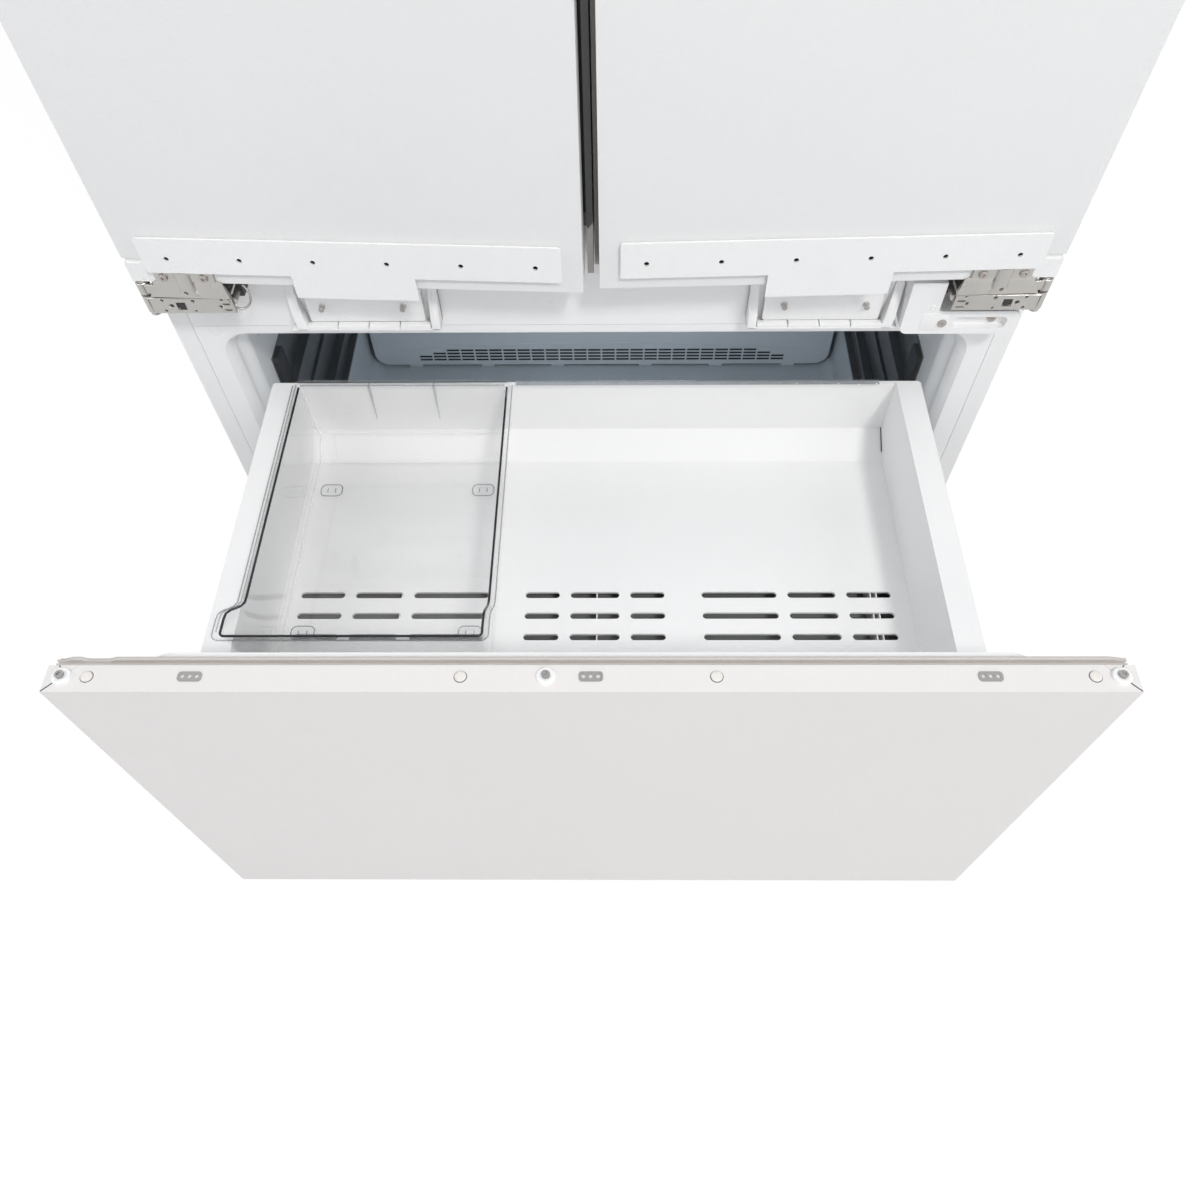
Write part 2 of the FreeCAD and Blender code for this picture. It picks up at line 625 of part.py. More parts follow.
def insulation():
    """Foam between case and linings, as slabs that meet face to face."""
    fridge_out = FRIDGE_HALF + LINER_WALL
    freezer_out = FREEZER_WALL_HALF + LINER_WALL
    mouth_out = FREEZER_MOUTH_HALF + LINER_WALL
    top = CABINET_HEIGHT - CASE_SHEET
    bay_wall = BAY_FRONT - BAY_SHEET
    step_out = STEP_FACE + LINER_WALL
    upper_side = block(-FOAM_SIDE, -fridge_out, FLANGE_BACK, FOAM_BACK, FREEZER_FOAM_TOP, top)
    lower_plan = [
        (-mouth_out, FLANGE_BACK, BASE_TOP),
        (-FOAM_SIDE, FLANGE_BACK, BASE_TOP),
        (-FOAM_SIDE, FOAM_BACK, BASE_TOP),
        (-freezer_out, FOAM_BACK, BASE_TOP),
        (-freezer_out, FREEZER_FLAT, BASE_TOP),
    ]
    lower_side = prism(lower_plan, (0, 0, FREEZER_FOAM_TOP - BASE_TOP))
    slabs = both_sides(upper_side) + both_sides(lower_side)
    slabs.append(block(-fridge_out, fridge_out, RAIL_BACK, FOAM_BACK, FREEZER_FOAM_TOP, RAIL_TOP))
    slabs.append(
        block(-fridge_out, fridge_out, FRIDGE_BACK + LINER_WALL, FOAM_BACK, RAIL_TOP,
              STEP_CEILING + LINER_WALL)
    )
    slabs.append(
        block(-freezer_out, freezer_out, FREEZER_BACK + LINER_WALL, FOAM_BACK, BASE_TOP,
              FREEZER_FOAM_TOP)
    )
    slabs.append(
        block(-freezer_out, freezer_out, FLANGE_BACK, FREEZER_BACK + LINER_WALL, BASE_TOP,
              FREEZER_FLOOR - LINER_WALL)
    )
    slabs.append(
        block(-fridge_out, fridge_out, step_out, FOAM_BACK, STEP_CEILING + LINER_WALL,
              BAY_FLOOR - BAY_SHEET)
    )
    slabs.append(
        block(-fridge_out, fridge_out, step_out, bay_wall, BAY_FLOOR - BAY_SHEET,
              FRIDGE_TOP + LINER_WALL)
    )
    slabs.append(
        block(-fridge_out, fridge_out, FLANGE_BACK, bay_wall, FRIDGE_TOP + LINER_WALL, top)
    )
    return group(slabs)


def fridge_liner():
    """Inner lining of the fridge with its front flange and the ribs that carry the shelves."""
    def profile(x, grow, front):
        return [
            (x, front, FRIDGE_FLOOR - grow),
            (x, FRIDGE_BACK + grow, FRIDGE_FLOOR - grow),
            (x, FRIDGE_BACK + grow, STEP_CEILING + grow),
            (x, STEP_FACE + grow, STEP_CEILING + grow),
            (x, STEP_FACE + grow, FRIDGE_TOP + grow),
            (x, front, FRIDGE_TOP + grow),
        ]

    out = FRIDGE_HALF + LINER_WALL
    shell = prism(profile(-out, LINER_WALL, FLANGE), (2 * out, 0, 0))
    hollow = prism(profile(-FRIDGE_HALF, 0, FLANGE - FACE_SHEET), (2 * FRIDGE_HALF, 0, 0))
    flange_top = CABINET_HEIGHT - CASE_LIP - SEAM
    flange = block(-LINER_FLANGE_HALF, LINER_FLANGE_HALF, FLANGE, FLANGE_BACK, RAIL_TOP, flange_top)
    ribs = []
    for z in SHELF_LEVELS:
        rib = block(-FRIDGE_HALF - LINER_WALL / 2, -FRIDGE_HALF + SHELF_RIB_WIDTH, SHELF_FRONT,
                    SHELF_BACK, z - SHELF_RIB_HEIGHT, z)
        ribs.extend(both_sides(rib))
    return joined(shell.fuse(flange).cut(hollow), *ribs)


def freezer_liner():
    """Inner lining of the freezer: a rounded mouth that narrows to straight walls, and a flange."""
    def tub(grow, front, back):
        stations = (
            (FREEZER_MOUTH_HALF, front),
            (FREEZER_WALL_HALF, FREEZER_FLAT),
            (FREEZER_WALL_HALF, back),
        )
        wires = [
            mouth_wire(half + grow, FREEZER_FLOOR - grow, FREEZER_MOUTH_TOP + grow,
                       FREEZER_CORNER + grow, y)
            for half, y in stations
        ]
        return Part.makeLoft(wires, True, True)

    flange = block(-LINER_FLANGE_HALF, LINER_FLANGE_HALF, FLANGE, FLANGE_BACK, BASE_TOP, RAIL_SEAM)
    shell = tub(LINER_WALL, FLANGE, FREEZER_BACK + LINER_WALL).fuse(flange)
    return shell.cut(tub(0, FLANGE, FREEZER_BACK)).removeSplitter()


def centre_rail():
    """Cross rail between freezer and fridge: a face plate and the bar behind it."""
    half = FRIDGE_HALF + LINER_WALL
    return joined(
        block(-LINER_FLANGE_HALF, LINER_FLANGE_HALF, FLANGE, FLANGE_BACK, RAIL_BOTTOM, RAIL_TOP),
        block(-half, half, FLANGE_BACK, RAIL_BACK, FREEZER_FOAM_TOP, RAIL_TOP),
    )


def rail_pockets():
    """Two moulded pockets on the rail, each with cheeks, a back plate and a ribbed lip."""
    x0 = -POCKET_CENTRE - POCKET_WIDTH / 2
    x1 = -POCKET_CENTRE + POCKET_WIDTH / 2
    front = FLANGE - POCKET_DEPTH
    z0 = RAIL_FITTING_BOTTOM
    z1 = z0 + POCKET_HEIGHT
    cheek = prism(
        [
            (x0, FLANGE, z0),
            (x0, front, z0),
            (x0, front, z0 + POCKET_CHEEK_NOSE),
            (x0, FLANGE - POCKET_PLATE - POCKET_RIB, z1),
            (x0, FLANGE, z1),
        ],
        (POCKET_CHEEK, 0, 0),
    )
    far_cheek = cheek.copy()
    far_cheek.translate(X_AXIS * (POCKET_WIDTH - POCKET_CHEEK))
    pieces = [
        block(x0, x1, FLANGE - POCKET_PLATE, FLANGE, z0, z1),
        cheek,
        far_cheek,
        block(x0, x1, front, FLANGE, z0, z0 + POCKET_RIB),
    ]
    pitch = (POCKET_WIDTH - 2 * POCKET_CHEEK) / (POCKET_RIB_COUNT + 1)
    for i in range(POCKET_RIB_COUNT):
        x = x0 + POCKET_CHEEK + pitch * (i + 1)
        pieces.append(
            block(x - POCKET_RIB / 2, x + POCKET_RIB / 2, front, FLANGE, z0, z0 + POCKET_LIP)
        )
    return group(both_sides(joined(*pieces)))


def hinge_arm():
    """Cabinet half of the bottom left hinge: foot on the rail, arm, upright plate and knuckle."""
    top = DOOR_BOTTOM - HINGE_LEAF_DROP - HINGE_GAP
    bottom = top - ARM_HEIGHT
    front = DOOR_FACE - HINGE_SHEET
    x0 = -PIN_X
    x1 = x0 + ARM_LENGTH
    foot_x1 = x1 - (ARM_LENGTH - ARM_FOOT_WIDTH) / 2
    plate = block(x0, x1, front, DOOR_FACE, bottom, top)
    mid_x = (x0 + x1) / 2
    mid_z = (bottom + top) / 2
    half = ARM_SQUARE_HOLE / 2
    plate = plate.cut(block(mid_x - half, mid_x + half, front, DOOR_FACE, mid_z - half, mid_z + half))
    for share in (0.27, 0.66, 0.84):
        hole_x = x0 + share * ARM_LENGTH
        plate = plate.cut(rod(hole_x, front, mid_z, ARM_HOLE_RADIUS, HINGE_SHEET, Y_AXIS))
    shelf = block(x0, x1, front, FLANGE, top - ARM_FOOT_SHEET, top)
    foot = block(foot_x1 - ARM_FOOT_WIDTH, foot_x1, FLANGE - ARM_FOOT_SHEET, FLANGE,
                 top - ARM_FOOT_HEIGHT, top)
    link_y = front + HINGE_SHEET + ARM_LINK_RADIUS
    link = joined(
        block(x1 - ARM_FOOT_SHEET, x1 + ARM_LINK_WIDTH / 2, front, link_y, mid_z, mid_z + ARM_LINK_WIDTH),
        rod(x1 + ARM_LINK_WIDTH / 2, front, mid_z + ARM_LINK_WIDTH / 2, ARM_LINK_RADIUS, FLANGE - front,
            Y_AXIS),
    )
    knuckle = rod(x0, PIN_Y, bottom, KNUCKLE_RADIUS, ARM_HEIGHT, Z_AXIS)
    bore = rod(x0, PIN_Y, bottom, PIN_RADIUS + PIN_RUNNING, ARM_HEIGHT, Z_AXIS)
    return joined(plate, shelf, foot, link, knuckle).cut(bore)


def hinge_pin():
    """Headed pin that passes through the arm's knuckle and the door's knuckle."""
    bottom = DOOR_BOTTOM - HINGE_LEAF_DROP - HINGE_GAP - ARM_HEIGHT
    reach = ARM_HEIGHT + HINGE_GAP + HINGE_KNUCKLE_RISE
    return joined(
        rod(-PIN_X, PIN_Y, bottom - PIN_HEAD, PIN_HEAD_RADIUS, PIN_HEAD, Z_AXIS),
        rod(-PIN_X, PIN_Y, bottom, PIN_RADIUS, reach, Z_AXIS),
    )


def at_all_corners(shape):
    """A bottom left fitting repeated at the four corners of the door pair."""
    low = both_sides(shape)
    return low + [upside_down(s) for s in low]


def hinge_arms():
    """The four cabinet halves of the hinges, with their pins."""
    return group(at_all_corners(hinge_arm()) + at_all_corners(hinge_pin()))


def hinge_cover():
    """Moulded cover beside the right hinge: a tall part, a low part and a shallow finger pocket."""
    front = FLANGE - COVER_STAND
    z0 = RAIL_FITTING_BOTTOM
    low = block(COVER_INNER, COVER_OUTER, front, FLANGE, z0, z0 + COVER_LOW_HEIGHT)
    low = round_edges(low, Y_AXIS, COVER_CORNER)
    tall = block(COVER_INNER, COVER_INNER + COVER_TALL_WIDTH, front, FLANGE, z0 + COVER_CORNER,
                 z0 + COVER_TALL_HEIGHT)
    body = joined(low, tall)
    hollow_low = block(COVER_INNER + COVER_WALL, COVER_OUTER - COVER_WALL, front + COVER_WALL, FLANGE,
                       z0 + COVER_WALL, z0 + COVER_LOW_HEIGHT - COVER_WALL)
    hollow_low = round_edges(hollow_low, Y_AXIS, COVER_CORNER - COVER_WALL)
    hollow_tall = block(COVER_INNER + COVER_WALL, COVER_INNER + COVER_TALL_WIDTH - COVER_WALL,
                        front + COVER_WALL, FLANGE, z0 + COVER_CORNER,
                        z0 + COVER_TALL_HEIGHT - COVER_WALL)
    pocket_x1 = COVER_OUTER - COVER_POCKET_FROM_OUTER
    pocket_z0 = z0 + (COVER_LOW_HEIGHT - COVER_POCKET_HEIGHT) / 2
    pocket = block(pocket_x1 - COVER_POCKET_WIDTH, pocket_x1, front, front + COVER_POCKET_DEPTH,
                   pocket_z0, pocket_z0 + COVER_POCKET_HEIGHT)
    pocket = round_edges(pocket, Y_AXIS, COVER_POCKET_CORNER)
    tub = block(pocket_x1 - COVER_POCKET_WIDTH - COVER_WALL, pocket_x1 + COVER_WALL, front,
                front + COVER_POCKET_DEPTH + COVER_WALL, pocket_z0 - COVER_WALL,
                pocket_z0 + COVER_POCKET_HEIGHT + COVER_WALL)
    shell = body.cut(hollow_low.fuse(hollow_tall))
    return joined(shell, tub).cut(pocket)


def cabinet_fasteners():
    """Studs in the rail pockets, screws of the hinge feet and screws of the hinge cover."""
    outward = Y_AXIS * -1
    stud_z = RAIL_FITTING_BOTTOM + STUD_RISE
    pieces = []
    for x in (POCKET_CENTRE - STUD_SPACING / 2, POCKET_CENTRE + STUD_SPACING / 2):
        stud = rod(-x, FLANGE - POCKET_PLATE, stud_z, STUD_RADIUS, STUD_LENGTH, outward)
        pieces.extend(both_sides(stud))
    foot_z = DOOR_BOTTOM - HINGE_LEAF_DROP - HINGE_GAP - ARM_FOOT_HEIGHT / 2
    foot_x = -PIN_X + ARM_LENGTH - (ARM_LENGTH - ARM_FOOT_WIDTH) / 2 - ARM_FOOT_WIDTH / 2
    for step in (-1, 1):
        x = foot_x + step * ARM_FOOT_WIDTH / 4
        screw = screw_head(x, FLANGE - ARM_FOOT_SHEET, foot_z, outward)
        pieces.extend(at_all_corners(screw))
    cover_z = RAIL_FITTING_BOTTOM + COVER_LOW_HEIGHT / 2
    pocket_x1 = COVER_OUTER - COVER_POCKET_FROM_OUTER
    pocket_floor = FLANGE - COVER_STAND + COVER_POCKET_DEPTH
    pieces.append(screw_head(pocket_x1 - COVER_POCKET_WIDTH / 4, pocket_floor, cover_z, outward))
    pieces.append(
        screw_head(COVER_INNER + COVER_TALL_WIDTH * 1.2, FLANGE - COVER_STAND, cover_z, outward)
    )
    return group(pieces)


def toe_kick():
    """Folded plinth plate with rows of air slots, standing on the floor."""
    half = FOAM_SIDE - BASE_RAIL_WIDTH - SEAM
    y0 = -KICK_DEPTH / 2
    y1 = KICK_DEPTH / 2
    channel = joined(
        block(-half, half, y0, y0 + KICK_SHEET, 0, KICK_HEIGHT),
        block(-half, half, y0, y1, 0, KICK_SHEET),
        block(-half, half, y0, y1, KICK_HEIGHT - KICK_SHEET, KICK_HEIGHT),
    )
    pitch = 2 * half / KICK_SLOT_COUNT
    first_row = KICK_HEIGHT / 2 - KICK_SLOT_ROW_PITCH * (KICK_SLOT_ROWS - 1) / 2
    slots = []
    for row in range(KICK_SLOT_ROWS):
        z = first_row + row * KICK_SLOT_ROW_PITCH
        for i in range(KICK_SLOT_COUNT):
            x = -half + pitch * (i + 0.5)
            slots.append(
                block(x - KICK_SLOT_LENGTH / 2, x + KICK_SLOT_LENGTH / 2, y0, y0 + KICK_SHEET,
                      z - KICK_SLOT_HEIGHT / 2, z + KICK_SLOT_HEIGHT / 2)
            )
    return channel.cut(Part.makeCompound(slots))


def base_tray():
    """Steel base: side rails, cross rails and a bottom sheet."""
    y0 = KICK_DEPTH / 2
    inner = FOAM_SIDE - BASE_RAIL_WIDTH
    side = block(-FOAM_SIDE, -inner, FLANGE_BACK, BACK, CASE_FOOT, BASE_TOP)
    sheet_top = CASE_FOOT + BASE_SHEET
    return group(
        both_sides(side)
        + [
            block(-inner, inner, y0, y0 + BASE_RAIL_WIDTH, sheet_top, BASE_TOP),
            block(-inner, inner, BACK - BASE_RAIL_WIDTH, BACK, sheet_top, BASE_TOP),
            block(-inner, inner, y0, BACK, CASE_FOOT, sheet_top),
        ]
    )


def levelling_feet():
    """Four round feet under the base rails."""
    feet = []
    x = FOAM_SIDE - FOOT_PAD_RADIUS
    for y in (KICK_DEPTH / 2 + FOOT_INSET, BACK - FOOT_INSET):
        foot = joined(
            rod(-x, y, 0, FOOT_PAD_RADIUS, FOOT_PAD_HEIGHT, Z_AXIS),
            rod(-x, y, FOOT_PAD_HEIGHT, FOOT_STEM_RADIUS, CASE_FOOT - FOOT_PAD_HEIGHT, Z_AXIS),
        )
        feet.extend(both_sides(foot))
    return group(feet)


def drain_pan():
    """Defrost water pan on the base sheet."""
    y_mid = (KICK_DEPTH / 2 + BACK) / 2
    z0 = CASE_FOOT + BASE_SHEET
    return open_box(-DRAIN_PAN_WIDTH / 2, DRAIN_PAN_WIDTH / 2, y_mid - DRAIN_PAN_DEPTH / 2,
                    y_mid + DRAIN_PAN_DEPTH / 2, z0, z0 + DRAIN_PAN_HEIGHT, DRAIN_PAN_WALL)


def bay_middle():
    """Depth of the machine bay's centre line."""
    return (BAY_FRONT + BACK) / 2


def compressor():
    """Hermetic compressor: a domed can on its foot plate, and the grommets under the plate."""
    y = bay_middle()
    plate_z = BAY_FLOOR + GROMMET_HEIGHT
    can_z = plate_z + COMPRESSOR_PLATE
    plate = block(COMPRESSOR_CENTRE - COMPRESSOR_PLATE_HALF, COMPRESSOR_CENTRE + COMPRESSOR_PLATE_HALF,
                  y - COMPRESSOR_PLATE_HALF, y + COMPRESSOR_PLATE_HALF, plate_z, can_z)
    plate = round_edges(plate, Z_AXIS, GROMMET_RADIUS)
    can = rod(COMPRESSOR_CENTRE, y, can_z, COMPRESSOR_RADIUS, COMPRESSOR_HEIGHT, Z_AXIS)
    rims = [e for e in can.Edges if e.Closed and e.BoundBox.ZMin > can_z + COMPRESSOR_HEIGHT / 2]
    half = GROMMET_SPACING / 2
    pieces = [joined(can.makeFillet(COMPRESSOR_DOME, rims), plate)]
    for dx in (-half, half):
        for dy in (-half, half):
            pieces.append(
                rod(COMPRESSOR_CENTRE + dx, y + dy, BAY_FLOOR, GROMMET_RADIUS, GROMMET_HEIGHT, Z_AXIS)
            )
    return group(pieces)


def fin_pack(x0, x1, y0, y1, z0, z1):
    """Fins strung along X on straight tubes, as one soldered block."""
    count = int((x1 - x0) // FIN_PITCH)
    pieces = []
    for i in range(count + 1):
        x = x0 + i * (x1 - x0 - FIN_SHEET) / count
        pieces.append(block(x, x + FIN_SHEET, y0, y1, z0, z1))
    for row in range(TUBE_ROWS):
        z = z0 + (z1 - z0) * (row + 0.5) / TUBE_ROWS
        for share in (0.28, 0.72):
            pieces.append(rod(x0, y0 + share * (y1 - y0), z, TUBE_RADIUS, x1 - x0, X_AXIS))
    return joined(*pieces)


def condenser():
    """Condenser block on the bay floor."""
    y = bay_middle()
    return fin_pack(CONDENSER_LEFT, CONDENSER_LEFT + CONDENSER_LENGTH, y - CONDENSER_DEPTH / 2,
                    y + CONDENSER_DEPTH / 2, BAY_FLOOR, BAY_FLOOR + CONDENSER_HEIGHT)


def evaporator():
    """Evaporator block against the freezer's back wall."""
    return fin_pack(-EVAPORATOR_HALF, EVAPORATOR_HALF, DUCT_COVER_BACK + EVAPORATOR_GAP, FREEZER_BACK,
                    EVAPORATOR_BOTTOM, EVAPORATOR_BOTTOM + EVAPORATOR_HEIGHT)


def fan(radius):
    """Axial fan about +Z with its hub centred on the origin and a shaft below it."""
    pieces = [rod(0, 0, -FAN_HUB_LENGTH / 2, FAN_HUB_RADIUS, FAN_HUB_LENGTH, Z_AXIS)]
    reach = FAN_HUB_RADIUS / 2
    chord_half = FAN_BLADE_CHORD / 2
    for i in range(FAN_BLADES):
        blade = block(reach, radius, -chord_half, chord_half, -FAN_BLADE_SHEET / 2, FAN_BLADE_SHEET / 2)
        blade.rotate(ORIGIN, X_AXIS, FAN_BLADE_PITCH)
        blade.rotate(ORIGIN, Z_AXIS, 360.0 * i / FAN_BLADES)
        pieces.append(blade)
    shaft_z = -FAN_HUB_LENGTH / 2 - FAN_SHAFT_LENGTH
    pieces.append(rod(0, 0, shaft_z, FAN_SHAFT_RADIUS, FAN_SHAFT_LENGTH, Z_AXIS))
    return joined(*pieces)


def fan_motor(arm_half):
    """Motor below the fan, with a bored bearing and two carrying arms of the given reach."""
    top = -FAN_HUB_LENGTH / 2 - FAN_GAP
    body = rod(0, 0, top - MOTOR_LENGTH, MOTOR_RADIUS, MOTOR_LENGTH, Z_AXIS)
    arms = block(-arm_half, arm_half, -MOTOR_ARM_WIDTH / 2, MOTOR_ARM_WIDTH / 2, top - MOTOR_LENGTH,
                 top - MOTOR_LENGTH + MOTOR_ARM_SHEET)
    bore_depth = FAN_SHAFT_LENGTH - FAN_GAP + SEAM
    bore = rod(0, 0, top - bore_depth, FAN_SHAFT_RADIUS + PIN_RUNNING, bore_depth, Z_AXIS)
    return joined(body, arms).cut(bore)


def evaporator_fan_centre():
    """Hub centre of the freezer's fan, whose shaft points to the back."""
    room = FAN_HUB_LENGTH / 2 + FAN_GAP + MOTOR_LENGTH
    return FreeCAD.Vector(0, FREEZER_BACK - room, FAN_HEIGHT)


def condenser_fan_centre():
    """Hub centre of the bay's fan, whose shaft points to the compressor."""
    return FreeCAD.Vector(CONDENSER_FAN_X, bay_middle(), BAY_FLOOR + CONDENSER_HEIGHT / 2)


def placed(shape, centre, axis, angle):
    """A shape turned about an axis through the origin and then moved to its centre."""
    copy = shape.copy()
    copy.rotate(ORIGIN, axis, angle)
    copy.translate(centre)
    return copy


def evaporator_fan():
    """Fan that drives cold air through the freezer."""
    return placed(fan(EVAPORATOR_FAN_RADIUS), evaporator_fan_centre(), X_AXIS, 90)


def condenser_fan():
    """Fan that draws room air over condenser and compressor."""
    return placed(fan(CONDENSER_FAN_RADIUS), condenser_fan_centre(), Y_AXIS, -90)


def fan_motors():
    """Both fan motors; the condenser's one is held in a shroud that stands on the bay floor."""
    freezer_motor = placed(fan_motor(EVAPORATOR_FAN_RADIUS), evaporator_fan_centre(), X_AXIS, 90)
    centre = condenser_fan_centre()
    opening = CONDENSER_FAN_RADIUS + SHROUD_CLEARANCE
    bay_motor = placed(fan_motor(opening + SHROUD_CLEARANCE), centre, Y_AXIS, -90)
    back_x = centre.x + FAN_HUB_LENGTH / 2 + FAN_GAP + MOTOR_LENGTH
    half = opening + SHROUD_CLEARANCE
    plate = block(back_x - SHROUD_SHEET, back_x, centre.y - half, centre.y + half, BAY_FLOOR,
                  centre.z + half)
    plate = plate.cut(rod(back_x - SHROUD_SHEET, centre.y, centre.z, opening, SHROUD_SHEET, X_AXIS))
    return group([freezer_motor, joined(bay_motor, plate)])


def machine_cover():
    """Louvred sheet over the machine bay, with a window for the power inlet."""
    sheet = block(-FOAM_SIDE, FOAM_SIDE, FOAM_BACK, BACK, BAY_FLOOR + SEAM, BAY_CEILING - SEAM)
    z_mid = (BAY_FLOOR + BAY_CEILING) / 2
    cuts = []
    for i in range(COVER_LOUVRES):
        z = z_mid + LOUVRE_PITCH * (i - (COVER_LOUVRES - 1) / 2)
        for x in (-LOUVRE_LENGTH * 0.75, LOUVRE_LENGTH * 0.35):
            cuts.append(
                block(x - LOUVRE_LENGTH / 2, x + LOUVRE_LENGTH / 2, FOAM_BACK, BACK,
                      z - LOUVRE_HEIGHT / 2, z + LOUVRE_HEIGHT / 2)
            )
    cuts.append(
        block(INLET_CENTRE - INLET_WIDTH / 2, INLET_CENTRE + INLET_WIDTH / 2, FOAM_BACK, BACK,
              z_mid - INLET_HEIGHT / 2, z_mid + INLET_HEIGHT / 2)
    )
    return sheet.cut(Part.makeCompound(cuts))


def power_inlet():
    """Recessed appliance inlet with its contact pins."""
    z = (BAY_FLOOR + BAY_CEILING) / 2
    body = block(INLET_CENTRE - INLET_WIDTH / 2, INLET_CENTRE + INLET_WIDTH / 2, BACK - INLET_DEPTH,
                 BACK, z - INLET_HEIGHT / 2, z + INLET_HEIGHT / 2)
    well = block(INLET_CENTRE - INLET_WIDTH / 2 + INLET_WALL, INLET_CENTRE + INLET_WIDTH / 2 - INLET_WALL,
                 BACK - INLET_WELL, BACK, z - INLET_HEIGHT / 2 + INLET_WALL,
                 z + INLET_HEIGHT / 2 - INLET_WALL)
    body = body.cut(well)
    pins = []
    for i in (-1, 0, 1):
        pins.append(
            rod(INLET_CENTRE + i * INLET_PIN_PITCH, BACK - INLET_WELL, z, INLET_PIN_RADIUS,
                INLET_WELL / 2, Y_AXIS)
        )
    return joined(body, *pins)


def duct_cover():
    """Moulded freezer back cover with an arched return grille, air outlets and side returns."""
    z0 = FREEZER_FLOOR + DUCT_COVER_RISE
    sheet = block(-DUCT_COVER_HALF, DUCT_COVER_HALF, DUCT_COVER_FRONT, DUCT_COVER_BACK, z0,
                  DUCT_COVER_TOP)
    sheet = round_edges(sheet, Y_AXIS, DUCT_COVER_CORNER)
    cuts = []
    pitch = 2 * GRILLE_HALF / GRILLE_COLUMNS
    for column in range(GRILLE_COLUMNS):
        from_end = min(column, GRILLE_COLUMNS - 1 - column)
        rows = min(GRILLE_ROWS, 2 + from_end)
        x = -GRILLE_HALF + pitch * column
        for row in range(rows):
            z = z0 + GRILLE_RISE + row * GRILLE_ROW_PITCH
            cuts.append(
                block(x + GRILLE_BAR / 2, x + pitch - GRILLE_BAR / 2, DUCT_COVER_FRONT, DUCT_COVER_BACK,
                      z, z + GRILLE_ROW_PITCH - GRILLE_BAR)
            )
    for i in range(OUTLET_COUNT):
        x = OUTLET_PITCH * (i - (OUTLET_COUNT - 1) / 2)
        z = DUCT_COVER_TOP - OUTLET_DROP
        cuts.append(
            block(x - OUTLET_LENGTH / 2, x + OUTLET_LENGTH / 2, DUCT_COVER_FRONT, DUCT_COVER_BACK,
                  z - OUTLET_HEIGHT / 2, z + OUTLET_HEIGHT / 2)
        )
    side = block(-DUCT_COVER_HALF, -DUCT_COVER_HALF + DUCT_COVER_SHEET, DUCT_COVER_BACK, FREEZER_BACK,
                 z0 + DUCT_COVER_CORNER, DUCT_COVER_TOP - DUCT_COVER_CORNER)
    return joined(sheet.cut(Part.makeCompound(cuts)), side, mirrored(side))


def slide_outer_members():
    """Fixed channels of the four slides on their wall brackets."""
    y0 = FREEZER_FLAT + SLIDE_START
    y1 = DUCT_COVER_FRONT - SLIDE_END_GAP
    lip = TRAY_OUTER_HALF + SLIDE_LIP_GAP
    bracket_top = SLIDE_LEVELS[-1] + SLIDE_OUTER_HEIGHT / 2 + END_PLATE_HEIGHT + SEAM
    pieces = [
        block(SLIDE_WEB_BACK, FREEZER_WALL_HALF, y0, y1, SLIDE_LEVELS[0] - SLIDE_OUTER_HEIGHT / 2,
              bracket_top)
    ]
    for level in SLIDE_LEVELS:
        low = level - SLIDE_OUTER_HEIGHT / 2
        high = level + SLIDE_OUTER_HEIGHT / 2
        pieces.append(block(SLIDE_WEB_FACE, SLIDE_WEB_BACK, y0, y1, low, high))
        pieces.append(block(lip, SLIDE_WEB_FACE, y0, y1, low, low + SLIDE_LIP))
        pieces.append(block(lip, SLIDE_WEB_FACE, y0, y1, high - SLIDE_LIP, high))
    return group(both_sides(joined(*pieces)))


def slide_middle_members():
    """Travelling bars of the slides, in the drawer's closed pose."""
    y0 = FREEZER_FLAT - SLIDE_START
    y1 = DUCT_COVER_FRONT - SLIDE_MIDDLE_END_GAP
    half = SLIDE_MIDDLE_HEIGHT / 2
    pieces = []
    for level in SLIDE_LEVELS:
        bar = block(SLIDE_BAR_FACE, SLIDE_WEB_FACE - SLIDE_PLAY, y0, y1, level - half, level + half)
        pieces.extend(both_sides(bar))
    return group(pieces)


def slide_inner_members():
    """Bars of the slides that are fixed to the drawer's side panels."""
    half = SLIDE_INNER_HEIGHT / 2
    pieces = []
    for level in SLIDE_LEVELS:
        bar = block(TRAY_OUTER_HALF, SLIDE_BAR_FACE - SLIDE_PLAY, PLUG_BACK,
                    TRAY_BACK - SLIDE_INNER_END_GAP, level - half, level + half)
        pieces.extend(both_sides(bar))
    return group(pieces)


def slide_end_plates():
    """Black stop plates above the front ends of the upper slides."""
    y0 = FREEZER_FLAT + SLIDE_START
    z0 = SLIDE_LEVELS[-1] + SLIDE_OUTER_HEIGHT / 2 + SEAM
    plate = block(SLIDE_WEB_BACK - END_PLATE_THICK, SLIDE_WEB_BACK, y0, y0 + END_PLATE_LENGTH, z0,
                  z0 + END_PLATE_HEIGHT)
    return group(both_sides(round_edges(plate, X_AXIS, END_PLATE_THICK)))


def shelf_glass():
    """Glass panes of the fridge shelves, two to a shelf."""
    outer = FRIDGE_HALF - SHELF_SIDE_GAP
    panes = []
    for z in SHELF_LEVELS:
        pane = block(-outer, -SEAM, SHELF_FRONT, SHELF_BACK, z, z + SHELF_GLASS)
        panes.extend(both_sides(pane))
    return group(panes)


def shelf_trims():
    """Front trims of the shelves and the bars under the joint between two panes."""
    outer = FRIDGE_HALF - SHELF_SIDE_GAP
    pieces = []
    for z in SHELF_LEVELS:
        low = z - (SHELF_TRIM_HEIGHT - SHELF_GLASS) / 2
        front = block(-outer, outer, SHELF_FRONT - SHELF_TRIM_DEPTH, SHELF_FRONT, low,
                      low + SHELF_TRIM_HEIGHT)
        bar = block(-SHELF_BAR_WIDTH / 2, SHELF_BAR_WIDTH / 2, SHELF_FRONT, SHELF_BACK, low, z)
        pieces.extend([front, bar])
    return group(pieces)


